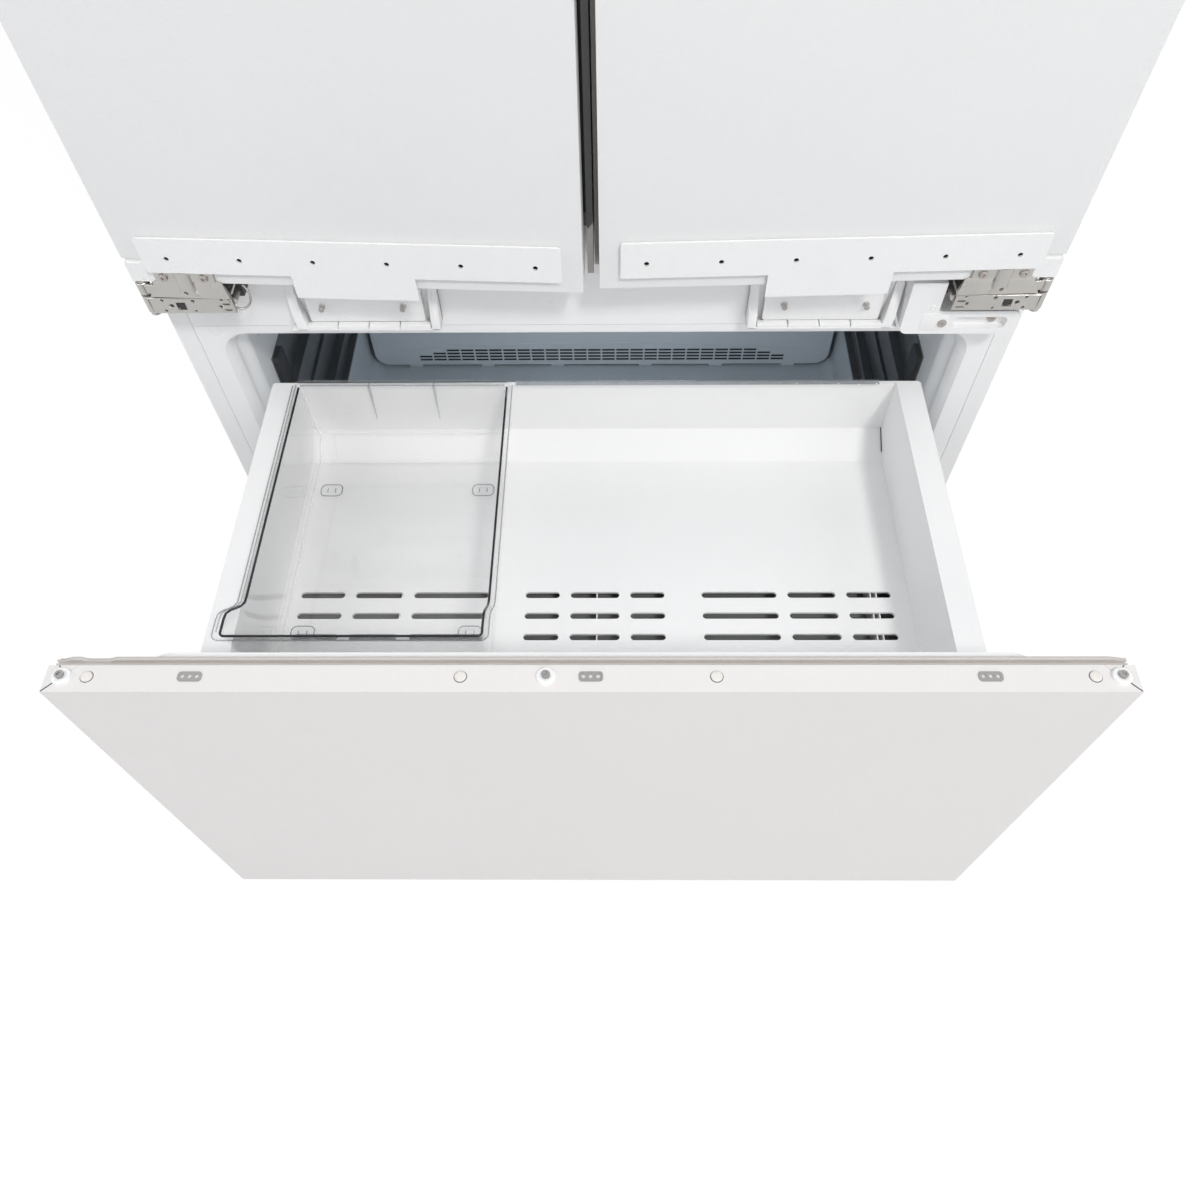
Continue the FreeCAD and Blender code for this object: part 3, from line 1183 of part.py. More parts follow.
def crisper_bins():
    """Two clear vegetable bins on the fridge floor, each with a grip lip at the front."""
    outer = FRIDGE_HALF - CRISPER_SIDE_GAP
    x0 = -outer
    x1 = -CRISPER_SIDE_GAP
    z0 = FRIDGE_FLOOR
    box = open_box(x0, x1, SHELF_FRONT, SHELF_BACK, z0, z0 + CRISPER_HEIGHT, CRISPER_WALL)
    mid = (x0 + x1) / 2
    grip = block(mid - CRISPER_GRIP_WIDTH / 2, mid + CRISPER_GRIP_WIDTH / 2,
                 SHELF_FRONT - SHELF_TRIM_DEPTH, SHELF_FRONT, z0 + CRISPER_HEIGHT - CRISPER_GRIP_HEIGHT,
                 z0 + CRISPER_HEIGHT)
    return group(both_sides(joined(box, grip)))


def fridge_duct():
    """Air duct on the fridge's back wall with outlet slots."""
    z0 = SHELF_1 + DUCT_BOTTOM_RISE
    z1 = STEP_CEILING - DUCT_TOP_DROP
    body = block(-DUCT_HALF, DUCT_HALF, FRIDGE_BACK - DUCT_THICKNESS, FRIDGE_BACK, z0, z1)
    cuts = []
    for i in range(DUCT_SLOT_COUNT):
        z = z0 + (z1 - z0) * (i + 0.5) / DUCT_SLOT_COUNT
        cuts.append(
            block(-DUCT_SLOT_LENGTH / 2, DUCT_SLOT_LENGTH / 2, FRIDGE_BACK - DUCT_THICKNESS,
                  FRIDGE_BACK - DUCT_THICKNESS + DUCT_SLOT_DEPTH, z - DUCT_SLOT_HEIGHT / 2,
                  z + DUCT_SLOT_HEIGHT / 2)
        )
    return round_edges(body, Z_AXIS, DUCT_SLOT_HEIGHT / 2).cut(Part.makeCompound(cuts))


def fridge_lamp():
    """Lamp lens under the fridge's ceiling."""
    half = FRIDGE_HALF - LAMP_SIDE_MARGIN
    lens = block(-half, half, LAMP_FRONT, LAMP_FRONT + LAMP_DEPTH, FRIDGE_TOP - LAMP_SHEET, FRIDGE_TOP)
    return round_edges(lens, Z_AXIS, LAMP_DEPTH / 4)


def fixing_tabs():
    """Two tabs on the case top that reach forward, drilled for screws into the surround."""
    x0 = FIX_TAB_HALF_SPACING - FIX_TAB_WIDTH / 2
    front = FLANGE - FIX_TAB_REACH
    z0 = CABINET_HEIGHT
    tab = block(x0, x0 + FIX_TAB_WIDTH, front, FLANGE + FIX_TAB_HOLD, z0, z0 + FIX_TAB_SHEET)
    hole = rod(FIX_TAB_HALF_SPACING, front + FIX_TAB_HOLE_EDGE, z0, FIX_TAB_HOLE_RADIUS, FIX_TAB_SHEET,
               Z_AXIS)
    return group(both_sides(tab.cut(hole)))


def door_skin():
    """Painted front pan of the left door, notched at both hinge corners for the end caps."""
    outer = block(-FRONT_HALF, -DOOR_INNER, DOOR_FACE, PAN_BACK, DOOR_BOTTOM, DOOR_TOP)
    hollow = block(-FRONT_HALF + SKIN, -DOOR_INNER - SKIN, DOOR_FACE + SKIN, PAN_BACK,
                   DOOR_BOTTOM + SKIN, DOOR_TOP - SKIN)
    notch = block(-FRONT_HALF, -FRONT_HALF + CAP_BLOCK_WIDTH, DOOR_FACE, PAN_BACK, DOOR_BOTTOM,
                  DOOR_BOTTOM + CAP_BLOCK_HEIGHT + CAP_GROOVE)
    return outer.cut(hollow).cut(notch).cut(upside_down(notch))


def door_cap():
    """Moulded corner cap of the left door's bottom, with a groove between it and the skin."""
    x1 = -FRONT_HALF + CAP_BLOCK_WIDTH
    corner = block(-FRONT_HALF, x1, DOOR_FACE, PAN_BACK, DOOR_BOTTOM, DOOR_BOTTOM + CAP_BLOCK_HEIGHT)
    groove = block(-FRONT_HALF + CAP_GROOVE_FLOOR, x1, DOOR_FACE + CAP_GROOVE_FLOOR, PAN_BACK,
                   DOOR_BOTTOM + CAP_BLOCK_HEIGHT, DOOR_BOTTOM + CAP_BLOCK_HEIGHT + CAP_GROOVE)
    plate = block(x1, -DOOR_INNER - SKIN, DOOR_FACE + SKIN, PAN_BACK, DOOR_BOTTOM + SKIN,
                  DOOR_BOTTOM + SKIN + CAP_PLATE)
    return joined(corner, groove, plate)


def pan_fill(y0, y1):
    """The left door's pan between two depths: a main slab, and strips beside the corner caps."""
    low = DOOR_BOTTOM + CAP_BLOCK_HEIGHT + CAP_GROOVE
    high = DOOR_TOP - CAP_BLOCK_HEIGHT - CAP_GROOVE
    x1 = -DOOR_INNER - SKIN
    strip = block(-FRONT_HALF + CAP_BLOCK_WIDTH, x1, y0, y1, DOOR_BOTTOM + SKIN + CAP_PLATE, low)
    return [block(-FRONT_HALF + SKIN, x1, y0, y1, low, high), strip, upside_down(strip)]


def door_foam():
    """Foam of the left door: slabs in the pan, kept clear of the caps, and the slab in the plug."""
    slabs = pan_fill(DOOR_FACE + SKIN, PAN_BACK - PLUG_LINER)
    plug = block(-DOOR_PLUG_OUTER + PLUG_LINER, -DOOR_PLUG_INNER_EDGE - PLUG_LINER,
                 PAN_BACK - PLUG_LINER, DOOR_PLUG_BACK - PLUG_LINER, DOOR_PLUG_BOTTOM + PLUG_LINER,
                 DOOR_PLUG_TOP - PLUG_LINER)
    return group(slabs + [plug])


def mullion_lug():
    """Bottom lug on the left door's lining that carries the mullion's pin."""
    x0 = -DOOR_PLUG_INNER_EDGE
    z0 = FRIDGE_FLOOR + MULLION_LUG_RISE
    lug = block(x0, x0 + MULLION_LUG_WIDTH, PAN_BACK - PLUG_LINER, MULLION_PIVOT_Y + KNUCKLE_RADIUS, z0,
                z0 + MULLION_LUG_HEIGHT)
    bore = rod(MULLION_PIVOT_X, MULLION_PIVOT_Y, z0, MULLION_PIN_RADIUS + PIN_RUNNING,
               MULLION_LUG_HEIGHT, Z_AXIS)
    return lug.cut(bore)


def door_liner(with_lugs):
    """Inner lining of the left door: a back sheet with a hollow plug, and the mullion's lugs."""
    sheet = joined(*pan_fill(PAN_BACK - PLUG_LINER, PAN_BACK))
    plug = block(-DOOR_PLUG_OUTER, -DOOR_PLUG_INNER_EDGE, PAN_BACK - PLUG_LINER, DOOR_PLUG_BACK,
                 DOOR_PLUG_BOTTOM, DOOR_PLUG_TOP)
    hollow = block(-DOOR_PLUG_OUTER + PLUG_LINER, -DOOR_PLUG_INNER_EDGE - PLUG_LINER,
                   PAN_BACK - PLUG_LINER, DOOR_PLUG_BACK - PLUG_LINER, DOOR_PLUG_BOTTOM + PLUG_LINER,
                   DOOR_PLUG_TOP - PLUG_LINER)
    lining = joined(sheet, plug).cut(hollow)
    if with_lugs:
        lug = mullion_lug()
        lining = joined(lining, lug, upside_down_in_fridge(lug))
    return lining


def upside_down_in_fridge(shape):
    """A fitting at the fridge's floor carried to the fridge's ceiling."""
    return shape.mirror(FreeCAD.Vector(0, 0, (FRIDGE_FLOOR + FRIDGE_TOP) / 2), Z_AXIS)


def door_gasket():
    """Magnetic seal round the back of the left door."""
    return frame_ring(-FRONT_HALF + GASKET_INSET, -DOOR_INNER - GASKET_INSET, DOOR_BOTTOM + GASKET_INSET,
                      DOOR_TOP - GASKET_INSET, GASKET_WIDTH, PAN_BACK, GASKET_BACK)


def door_bins():
    """Clear bins that hang on the left door's plug."""
    x0 = -DOOR_PLUG_OUTER + BIN_SIDE_GAP
    x1 = -DOOR_PLUG_INNER_EDGE - BIN_SIDE_GAP
    bins = []
    for z in (BIN_1, BIN_2, BIN_3):
        bins.append(
            open_box(x0, x1, DOOR_PLUG_BACK, DOOR_PLUG_BACK + BIN_DEPTH, z, z + BIN_HEIGHT, BIN_WALL)
        )
    return group(bins)


def panel_bracket():
    """Sheet bracket low on the left door's face that a wooden front panel is screwed to."""
    x0 = -FRONT_HALF + BRACKET_START
    x1 = -DOOR_INNER - BRACKET_END
    z0 = DOOR_BOTTOM + BRACKET_RISE
    z1 = z0 + BRACKET_HEIGHT
    back = DOOR_FACE - BRACKET_STAND
    front = back - BRACKET_SHEET
    tab_x0 = -FRONT_HALF + TAB_START
    plate = round_edges(block(x0, x1, front, back, z0, z1), Y_AXIS, BRACKET_CORNER)
    tab = block(tab_x0, tab_x0 + TAB_WIDTH, front, back, z0 - TAB_DROP, z0 + BRACKET_CORNER)
    spacer_z1 = z1 - BRACKET_CORNER
    spacer = block(x0 + BRACKET_CORNER, x1 - BRACKET_CORNER, back, DOOR_FACE,
                   z0 + HINGE_LEAF_RISE - BRACKET_RISE + BRACKET_CORNER, spacer_z1)
    bracket = joined(plate, tab, spacer)
    pitch = (x1 - x0 - 2 * BRACKET_HOLE_MARGIN) / (BRACKET_HOLE_COUNT - 1)
    for i in range(BRACKET_HOLE_COUNT):
        x = x0 + BRACKET_HOLE_MARGIN + pitch * i
        hole = rod(x, front, z0 + BRACKET_HOLE_RISE, BRACKET_HOLE_RADIUS, DOOR_FACE - front, Y_AXIS)
        bracket = bracket.cut(hole)
    return bracket


def hinge_leaf():
    """Door half of the bottom left hinge: leaf on the door's face and knuckle round the pin."""
    front = DOOR_FACE - HINGE_SHEET
    bottom = DOOR_BOTTOM - HINGE_LEAF_DROP
    x0 = -FRONT_HALF + HINGE_LEAF_START
    top = DOOR_BOTTOM + HINGE_LEAF_RISE
    fold = block(x0, x0 + HINGE_LEAF_LENGTH, front, DOOR_FACE, bottom, DOOR_BOTTOM)
    wing_x0 = x0 + HINGE_WING_INSET
    wings = block(wing_x0, wing_x0 + HINGE_WING_LENGTH, front, DOOR_FACE, DOOR_BOTTOM, top)
    tongue_x0 = wing_x0 + (HINGE_WING_LENGTH - HINGE_TONGUE_WIDTH) / 2
    tongue_top = DOOR_BOTTOM + BRACKET_RISE - HINGE_TONGUE_GAP
    tongue = prism(
        [
            (tongue_x0, DOOR_FACE, bottom),
            (tongue_x0, front, bottom),
            (tongue_x0, front - HINGE_TONGUE_PROUD, DOOR_BOTTOM),
            (tongue_x0, front - HINGE_TONGUE_PROUD, tongue_top),
            (tongue_x0, DOOR_FACE, tongue_top),
        ],
        (HINGE_TONGUE_WIDTH, 0, 0),
    )
    strap = block(-PIN_X, x0 + KNUCKLE_RADIUS, front, PIN_Y, bottom, bottom + HINGE_KNUCKLE_RISE)
    knuckle = rod(-PIN_X, PIN_Y, bottom, KNUCKLE_RADIUS, HINGE_KNUCKLE_RISE, Z_AXIS)
    bore = rod(-PIN_X, PIN_Y, bottom, PIN_RADIUS + PIN_RUNNING, HINGE_KNUCKLE_RISE, Z_AXIS)
    return joined(fold, wings, tongue, strap, knuckle).cut(bore)


def hinge_leaves():
    """Both door halves of the left door's hinges with their screws."""
    leaf = hinge_leaf()
    pieces = [leaf, upside_down(leaf)]
    wing_x0 = -FRONT_HALF + HINGE_LEAF_START + HINGE_WING_INSET
    z = DOOR_BOTTOM + HINGE_LEAF_RISE - SCREW_HEAD_RADIUS * 2
    for share in (0.17, 0.83):
        x = wing_x0 + share * HINGE_WING_LENGTH
        screw = screw_head(x, DOOR_FACE - HINGE_SHEET, z, Y_AXIS * -1)
        pieces.extend([screw, upside_down(screw)])
    return group(pieces)


def mullion():
    """Flipper bar with a nose that fills the gap between the doors, and its pins."""
    body = block(-MULLION_LEFT, MULLION_RIGHT, FLANGE, FLANGE + MULLION_DEPTH, MULLION_BOTTOM, MULLION_TOP)
    nose_x0 = MULLION_RIGHT - MULLION_NOSE_WIDTH
    nose_back = FLANGE - MULLION_FRONT_GAP
    nose = block(nose_x0, MULLION_RIGHT, FLANGE - MULLION_NOSE_STAND, nose_back,
                 DOOR_BOTTOM + MULLION_NOSE_OVERRUN, DOOR_TOP - MULLION_NOSE_OVERRUN)
    web = block(nose_x0, MULLION_RIGHT, nose_back, FLANGE, MULLION_BOTTOM, MULLION_TOP)
    pin = rod(MULLION_PIVOT_X, MULLION_PIVOT_Y, MULLION_BOTTOM - MULLION_PIN_LENGTH, MULLION_PIN_RADIUS,
              MULLION_PIN_LENGTH, Z_AXIS)
    return group([joined(body, pin, upside_down_in_fridge(pin)), nose, web])


def drawer_skin():
    """Painted pan of the freezer drawer's front, with a mitre groove at each end of its top flange."""
    outer = block(-FRONT_HALF, FRONT_HALF, DOOR_FACE, PAN_BACK, DRAWER_BOTTOM, DRAWER_TOP)
    pan = outer.cut(
        block(-FRONT_HALF + SKIN, FRONT_HALF - SKIN, DOOR_FACE + SKIN, PAN_BACK, DRAWER_BOTTOM + SKIN,
              DRAWER_TOP - SKIN)
    )
    z = DRAWER_TOP - SKIN / 2
    corner_x = SKIN - FRONT_HALF
    corner_y = DOOR_FACE + SKIN
    run = PAN_BACK - corner_y
    mitre = prism(
        [
            (corner_x, corner_y, z),
            (corner_x + MITRE_GROOVE, corner_y, z),
            (corner_x + MITRE_GROOVE + run, PAN_BACK, z),
            (corner_x + run, PAN_BACK, z),
        ],
        (0, 0, SKIN),
    )
    return pan.cut(mitre).cut(mirrored(mitre))


def drawer_plug_limits(grow):
    """Height limits of the drawer's inner plug, drawn in by a wall."""
    return DRAWER_BOTTOM + PLUG_BOTTOM_RISE + grow, DRAWER_TOP - PLUG_TOP_DROP - grow


def drawer_foam():
    """Foam of the drawer's front: the slab in the pan and the slab in the plug."""
    low, high = drawer_plug_limits(PLUG_LINER)
    slab = block(-FRONT_HALF + SKIN, FRONT_HALF - SKIN, DOOR_FACE + SKIN, PAN_BACK - PLUG_LINER,
                 DRAWER_BOTTOM + SKIN, DRAWER_TOP - SKIN)
    plug = block(-PLUG_HALF + PLUG_LINER, PLUG_HALF - PLUG_LINER, PAN_BACK - PLUG_LINER,
                 PLUG_BACK - PLUG_LINER, low, high)
    return group([slab, round_edges(plug, Y_AXIS, FREEZER_CORNER - PLUG_LINER)])


def drawer_liner():
    """Inner lining of the drawer's front: a sheet with a rounded hollow plug."""
    low, high = drawer_plug_limits(0)
    sheet = block(-FRONT_HALF + SKIN, FRONT_HALF - SKIN, PAN_BACK - PLUG_LINER, PAN_BACK,
                  DRAWER_BOTTOM + SKIN, DRAWER_TOP - SKIN)
    plug = block(-PLUG_HALF, PLUG_HALF, PAN_BACK - PLUG_LINER, PLUG_BACK, low, high)
    plug = round_edges(plug, Y_AXIS, FREEZER_CORNER)
    low, high = drawer_plug_limits(PLUG_LINER)
    hollow = block(-PLUG_HALF + PLUG_LINER, PLUG_HALF - PLUG_LINER, PAN_BACK - PLUG_LINER,
                   PLUG_BACK - PLUG_LINER, low, high)
    hollow = round_edges(hollow, Y_AXIS, FREEZER_CORNER - PLUG_LINER)
    return joined(sheet, plug).cut(hollow)


def drawer_gasket():
    """Magnetic seal round the back of the drawer's front."""
    return frame_ring(-FRONT_HALF + GASKET_INSET, FRONT_HALF - GASKET_INSET, DRAWER_BOTTOM + GASKET_INSET,
                      DRAWER_TOP - GASKET_INSET, GASKET_WIDTH - SKIN, PAN_BACK, GASKET_BACK)


def drawer_fixings():
    """Screws and slot plates on the drawer's top flange."""
    y = DOOR_FACE + FIXING_LINE
    pieces = []
    for x in SCREW_PLACES:
        screw = rod(x, y, DRAWER_TOP + WASHER_HEIGHT, TOP_SCREW_RADIUS, TOP_SCREW_HEIGHT, Z_AXIS)
        top = DRAWER_TOP + WASHER_HEIGHT + TOP_SCREW_HEIGHT - SCREW_SOCKET_DEPTH
        pieces.append(screw.cut(rod(x, y, top, SCREW_SOCKET_RADIUS, SCREW_SOCKET_DEPTH, Z_AXIS)))
    for x in (-SLOT_PLATE_SIDE, SLOT_PLATE_MIDDLE, SLOT_PLATE_SIDE):
        plate = block(x - SLOT_PLATE_LENGTH / 2, x + SLOT_PLATE_LENGTH / 2, y - SLOT_PLATE_WIDTH / 2,
                      y + SLOT_PLATE_WIDTH / 2, DRAWER_TOP, DRAWER_TOP + SLOT_PLATE_SHEET)
        plate = round_edges(plate, Z_AXIS, SLOT_PLATE_WIDTH / 3)
        for step in (-1, 0, 1):
            plate = plate.cut(
                rod(x + step * SLOT_PLATE_HOLE_PITCH, y, DRAWER_TOP, SLOT_PLATE_HOLE_RADIUS,
                    SLOT_PLATE_SHEET, Z_AXIS)
            )
        pieces.append(plate)
    return group(pieces)


def drawer_caps():
    """Moulded washers under the screws and round plugs in the drawer's top flange."""
    y = DOOR_FACE + FIXING_LINE
    pieces = []
    for x in SCREW_PLACES:
        washer = rod(x, y, DRAWER_TOP, WASHER_RADIUS, WASHER_HEIGHT, Z_AXIS)
        rims = [e for e in washer.Edges if e.Closed and e.BoundBox.ZMin > DRAWER_TOP + WASHER_HEIGHT / 2]
        pieces.append(washer.makeChamfer(WASHER_HEIGHT / 2, rims))
    for x in (PLUG_MIDDLE, FRONT_HALF - PLUG_FROM_EDGE):
        pieces.extend(both_sides(rod(x, y, DRAWER_TOP, PLUG_RADIUS, PLUG_PROUD, Z_AXIS)))
    return group(pieces)


def tray_walls():
    """Side walls and back wall of the upper tray, with the thin side panels that go down from them."""
    wall = block(-TRAY_OUTER_HALF, -TRAY_INNER_HALF, PLUG_BACK, TRAY_BACK, TRAY_UNDERSIDE, TRAY_TOP)
    panel = block(-TRAY_OUTER_HALF, -TRAY_OUTER_HALF + SIDE_PANEL_SHEET, PLUG_BACK, TRAY_BACK,
                  TRAY_UNDERSIDE - SIDE_PANEL_DROP, TRAY_UNDERSIDE)
    back = block(-TRAY_OUTER_HALF, TRAY_OUTER_HALF, TRAY_BACK, TRAY_BACK + TRAY_BACK_SHEET,
                 TRAY_UNDERSIDE, TRAY_TOP - TRAY_RIM_HEIGHT)
    return group(both_sides(wall) + both_sides(panel) + [back])


def tray_floor():
    """Slotted floor of the upper tray and the slope at its back."""
    floor = block(-TRAY_INNER_HALF, TRAY_INNER_HALF, PLUG_BACK, TRAY_BACK, TRAY_UNDERSIDE, TRAY_FLOOR)
    spans = [(-CENTRE_SLOT_HALF, CENTRE_SLOT_HALF)]
    high = CENTRE_SLOT_HALF + SLOT_GAP + CENTRE_SLOT_SIDE
    spans.extend([(high - CENTRE_SLOT_SIDE, high), (-high, CENTRE_SLOT_SIDE - high)])
    high = TRAY_INNER_HALF - SIDE_SLOT_MARGIN
    for length in (SIDE_SLOT_SHORT, SIDE_SLOT_MIDDLE, SIDE_SLOT_LONG):
        spans.extend([(high - length, high), (-high, length - high)])
        high -= length + SLOT_GAP
    cuts = []
    for row in range(SLOT_ROW_COUNT):
        y = PLUG_BACK + SLOT_FIRST + SLOT_ROW_PITCH * row
        for low, high in spans:
            slot = block(low, high, y - SLOT_WIDTH / 2, y + SLOT_WIDTH / 2, TRAY_UNDERSIDE, TRAY_FLOOR)
            cuts.append(round_edges(slot, Z_AXIS, SLOT_WIDTH * 0.49))
    slope = prism(
        [
            (-TRAY_INNER_HALF, TRAY_BACK - TRAY_SLOPE_LENGTH, TRAY_FLOOR),
            (-TRAY_INNER_HALF, TRAY_BACK, TRAY_FLOOR),
            (-TRAY_INNER_HALF, TRAY_BACK, TRAY_FLOOR + TRAY_SLOPE_RISE),
        ],
        (2 * TRAY_INNER_HALF, 0, 0),
    )
    return group([floor.cut(Part.makeCompound(cuts)), slope])


def ice_bin():
    """Clear bin that hangs by its rim in the left of the tray, raised at the front, on rounded feet."""
    rim_z = TRAY_TOP + ICE_RIM_LIFT
    front_z = rim_z + ICE_RAISE
    y0 = PLUG_BACK + ICE_FRONT
    y1 = TRAY_BACK + ICE_BACK_OVERLAP
    flat_y = y0 + ICE_RAISE_FLAT
    slope_y = flat_y + ICE_RAISE_RUN
    x0 = -TRAY_INNER_HALF + ICE_PLAY
    x1 = ICE_RIGHT - ICE_SIDE_RIM_RIGHT
    in_y0 = y0 + ICE_FRONT_RIM
    in_y1 = y1 - ICE_BACK_RIM - TRAY_SLOPE_LENGTH
    back_y = y1 - ICE_BACK_RIM
    floor_z = TRAY_FLOOR + ICE_FLOOR_GAP

    def tub(wall, lift):
        front, back, low = in_y0 + wall, in_y1 - wall, floor_z + wall
        x = x0 + wall
        side = [
            (x, front, low),
            (x, back, low),
            (x, back, low + TRAY_SLOPE_RISE),
            (x, back_y - wall, low + TRAY_SLOPE_RISE),
            (x, back_y - wall, rim_z + lift),
            (x, slope_y, rim_z + lift),
            (x, flat_y, front_z + lift),
            (x, front, front_z + lift),
        ]
        return prism(side, (x1 - x0 - 2 * wall, 0, 0))

    rim = prism(
        [
            (ICE_LEFT, y0, front_z),
            (ICE_LEFT, flat_y, front_z),
            (ICE_LEFT, slope_y, rim_z),
            (ICE_LEFT, y1, rim_z),
            (ICE_LEFT, y1, rim_z + ICE_RIM),
            (ICE_LEFT, slope_y, rim_z + ICE_RIM),
            (ICE_LEFT, flat_y, front_z + ICE_RIM),
            (ICE_LEFT, y0, front_z + ICE_RIM),
        ],
        (ICE_WIDTH, 0, 0),
    )
    pieces = [joined(tub(0, 0), rim).cut(tub(ICE_WALL, 2 * ICE_RIM))]
    mid = (x0 + x1) / 2
    for x in (mid - ICE_RIB_PITCH / 2, mid + ICE_RIB_PITCH / 2):
        pieces.append(
            block(x - ICE_RIB_WIDTH / 2, x + ICE_RIB_WIDTH / 2, back_y - ICE_WALL - ICE_RIB_PROUD,
                  back_y - ICE_WALL, rim_z - ICE_RIB_LENGTH, rim_z)
        )
    half_length = ICE_FOOT_LENGTH / 2
    half_width = ICE_FOOT_WIDTH / 2
    for x in (x0 + ICE_FOOT_SIDE, x1 - ICE_FOOT_SIDE):
        for y in (in_y0 + ICE_FOOT_FRONT, in_y1 - ICE_FOOT_BACK):
            foot = block(x - half_length, x + half_length, y - half_width, y + half_width, TRAY_FLOOR,
                         floor_z)
            pieces.append(round_edges(foot, Z_AXIS, ICE_FOOT_CORNER))
    return joined(*pieces)


def lower_basket():
    """Deep basket under the tray, fixed to the drawer's plug and the tray's floor."""
    half = TRAY_OUTER_HALF - BASKET_SIDE_GAP
    return open_box(-half, half, PLUG_BACK, TRAY_BACK - BASKET_BACK_GAP, FREEZER_FLOOR + BASKET_RISE,
                    TRAY_UNDERSIDE, BASKET_WALL)


def pulled(shape, share):
    """A closed drawer piece carried forward by a share of the pull."""
    copy = shape.copy()
    copy.translate(FreeCAD.Vector(0, -DRAWER_PULL * share, 0))
    return copy


def left_ajar(shape):
    """A closed left door piece swung to its ajar angle."""
    copy = shape.copy()
    copy.rotate(FreeCAD.Vector(-PIN_X, PIN_Y, 0), Z_AXIS, -LEFT_AJAR)
    return copy


def right_ajar(shape):
    """A left door piece carried over to the right door and swung to its ajar angle."""
    copy = mirrored(shape)
    copy.rotate(FreeCAD.Vector(PIN_X, PIN_Y, 0), Z_AXIS, RIGHT_AJAR)
    return copy


def folded(shape):
    """The mullion turned about its pins by its share of the left door's ajar angle."""
    copy = shape.copy()
    copy.rotate(FreeCAD.Vector(MULLION_PIVOT_X, MULLION_PIVOT_Y, 0), Z_AXIS, LEFT_AJAR * MULLION_FOLD_RATIO)
    return copy


def cabinet_nodes():
    """Everything that stays with the cabinet."""
    makers = (
        outer_case, rear_sheets, insulation, fridge_liner, freezer_liner, centre_rail, rail_pockets,
        hinge_arms, hinge_cover, cabinet_fasteners, toe_kick, base_tray, levelling_feet, drain_pan,
        compressor, condenser, fan_motors, machine_cover, power_inlet,
        evaporator, duct_cover, slide_outer_members, slide_end_plates, shelf_glass, shelf_trims,
        crisper_bins, fridge_duct, fridge_lamp, fixing_tabs, evaporator_fan, condenser_fan,
    )
    return {maker.__name__: maker() for maker in makers}


def door_nodes():
    """Both doors in their ajar pose, and the mullion."""
    shared = {
        "door_skin": door_skin(),
        "door_foam": door_foam(),
        "door_gasket": door_gasket(),
        "door_bins": door_bins(),
        "panel_bracket": panel_bracket(),
        "hinge_leaves": hinge_leaves(),
    }
    cap = door_cap()
    shared["door_caps"] = group([cap, upside_down(cap)])
    nodes = {}
    for name, shape in shared.items():
        nodes["left_" + name] = left_ajar(shape)
        nodes["right_" + name] = right_ajar(shape)
    nodes["left_door_liner"] = left_ajar(door_liner(True))
    nodes["right_door_liner"] = right_ajar(door_liner(False))
    nodes["mullion"] = left_ajar(folded(mullion()))
    return nodes


def drawer_nodes():
    """The freezer drawer in its pulled pose, and the slide bars that follow it at half its travel."""
    makers = (
        drawer_skin, drawer_foam, drawer_liner, drawer_gasket, drawer_fixings, drawer_caps, tray_walls,
        tray_floor, ice_bin, lower_basket, slide_inner_members,
    )
    nodes = {maker.__name__: pulled(maker(), 1.0) for maker in makers}
    nodes["slide_middle_members"] = pulled(slide_middle_members(), 0.5)
    return nodes


def main():
    """Write every node as its own STEP file."""
    os.makedirs("parts", exist_ok=True)
    nodes = {}
    nodes.update(cabinet_nodes())
    nodes.update(door_nodes())
    nodes.update(drawer_nodes())
    for name, shape in nodes.items():
        shape.exportStep(os.path.join("parts", name + ".step"))
    print(len(nodes), "nodes")


main()
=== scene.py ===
"""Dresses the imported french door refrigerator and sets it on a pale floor.

The solids get their finishes, and finer surfaces stand in for the solids that are too plain: the bellows
seals, the clear bin, the formed freezer lining, the drawn tubs, the fans, the pressed hinges and the screws.
Lengths are in metres, in the frame of the solids: X right, Y back, Z up.
"""

import json

import bpy
import numpy as np
from bpy.props import FloatProperty, FloatVectorProperty, IntProperty, PointerProperty
from mathutils import Matrix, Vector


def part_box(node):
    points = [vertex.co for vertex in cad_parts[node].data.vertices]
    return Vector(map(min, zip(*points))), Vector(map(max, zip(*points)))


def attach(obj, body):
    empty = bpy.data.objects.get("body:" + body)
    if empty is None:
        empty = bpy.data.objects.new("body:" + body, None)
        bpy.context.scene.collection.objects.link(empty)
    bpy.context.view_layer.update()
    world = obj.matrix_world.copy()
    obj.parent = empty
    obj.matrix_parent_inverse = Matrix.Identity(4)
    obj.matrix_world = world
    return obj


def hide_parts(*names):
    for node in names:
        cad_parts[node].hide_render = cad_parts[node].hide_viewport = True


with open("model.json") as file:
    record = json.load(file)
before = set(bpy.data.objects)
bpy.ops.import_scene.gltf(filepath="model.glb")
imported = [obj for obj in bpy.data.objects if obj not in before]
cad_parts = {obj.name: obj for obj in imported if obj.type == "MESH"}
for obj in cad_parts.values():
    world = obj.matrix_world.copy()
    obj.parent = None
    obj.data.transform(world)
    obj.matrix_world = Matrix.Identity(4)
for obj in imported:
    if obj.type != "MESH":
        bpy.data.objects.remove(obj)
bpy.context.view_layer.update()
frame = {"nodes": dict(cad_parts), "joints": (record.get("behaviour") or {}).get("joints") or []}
JOINTS = {joint["name"]: joint for joint in frame["joints"]}

bl_info = {
    "name": "Refrigerator Dressing",
    "version": (1, 0, 0),
    "blender": (4, 5, 0),
    "location": "View3D > Sidebar > Refrigerator",
    "description": "Finishes and fine surfaces for the built-in french door refrigerator",
    "category": "Object",
}

MM = 0.001

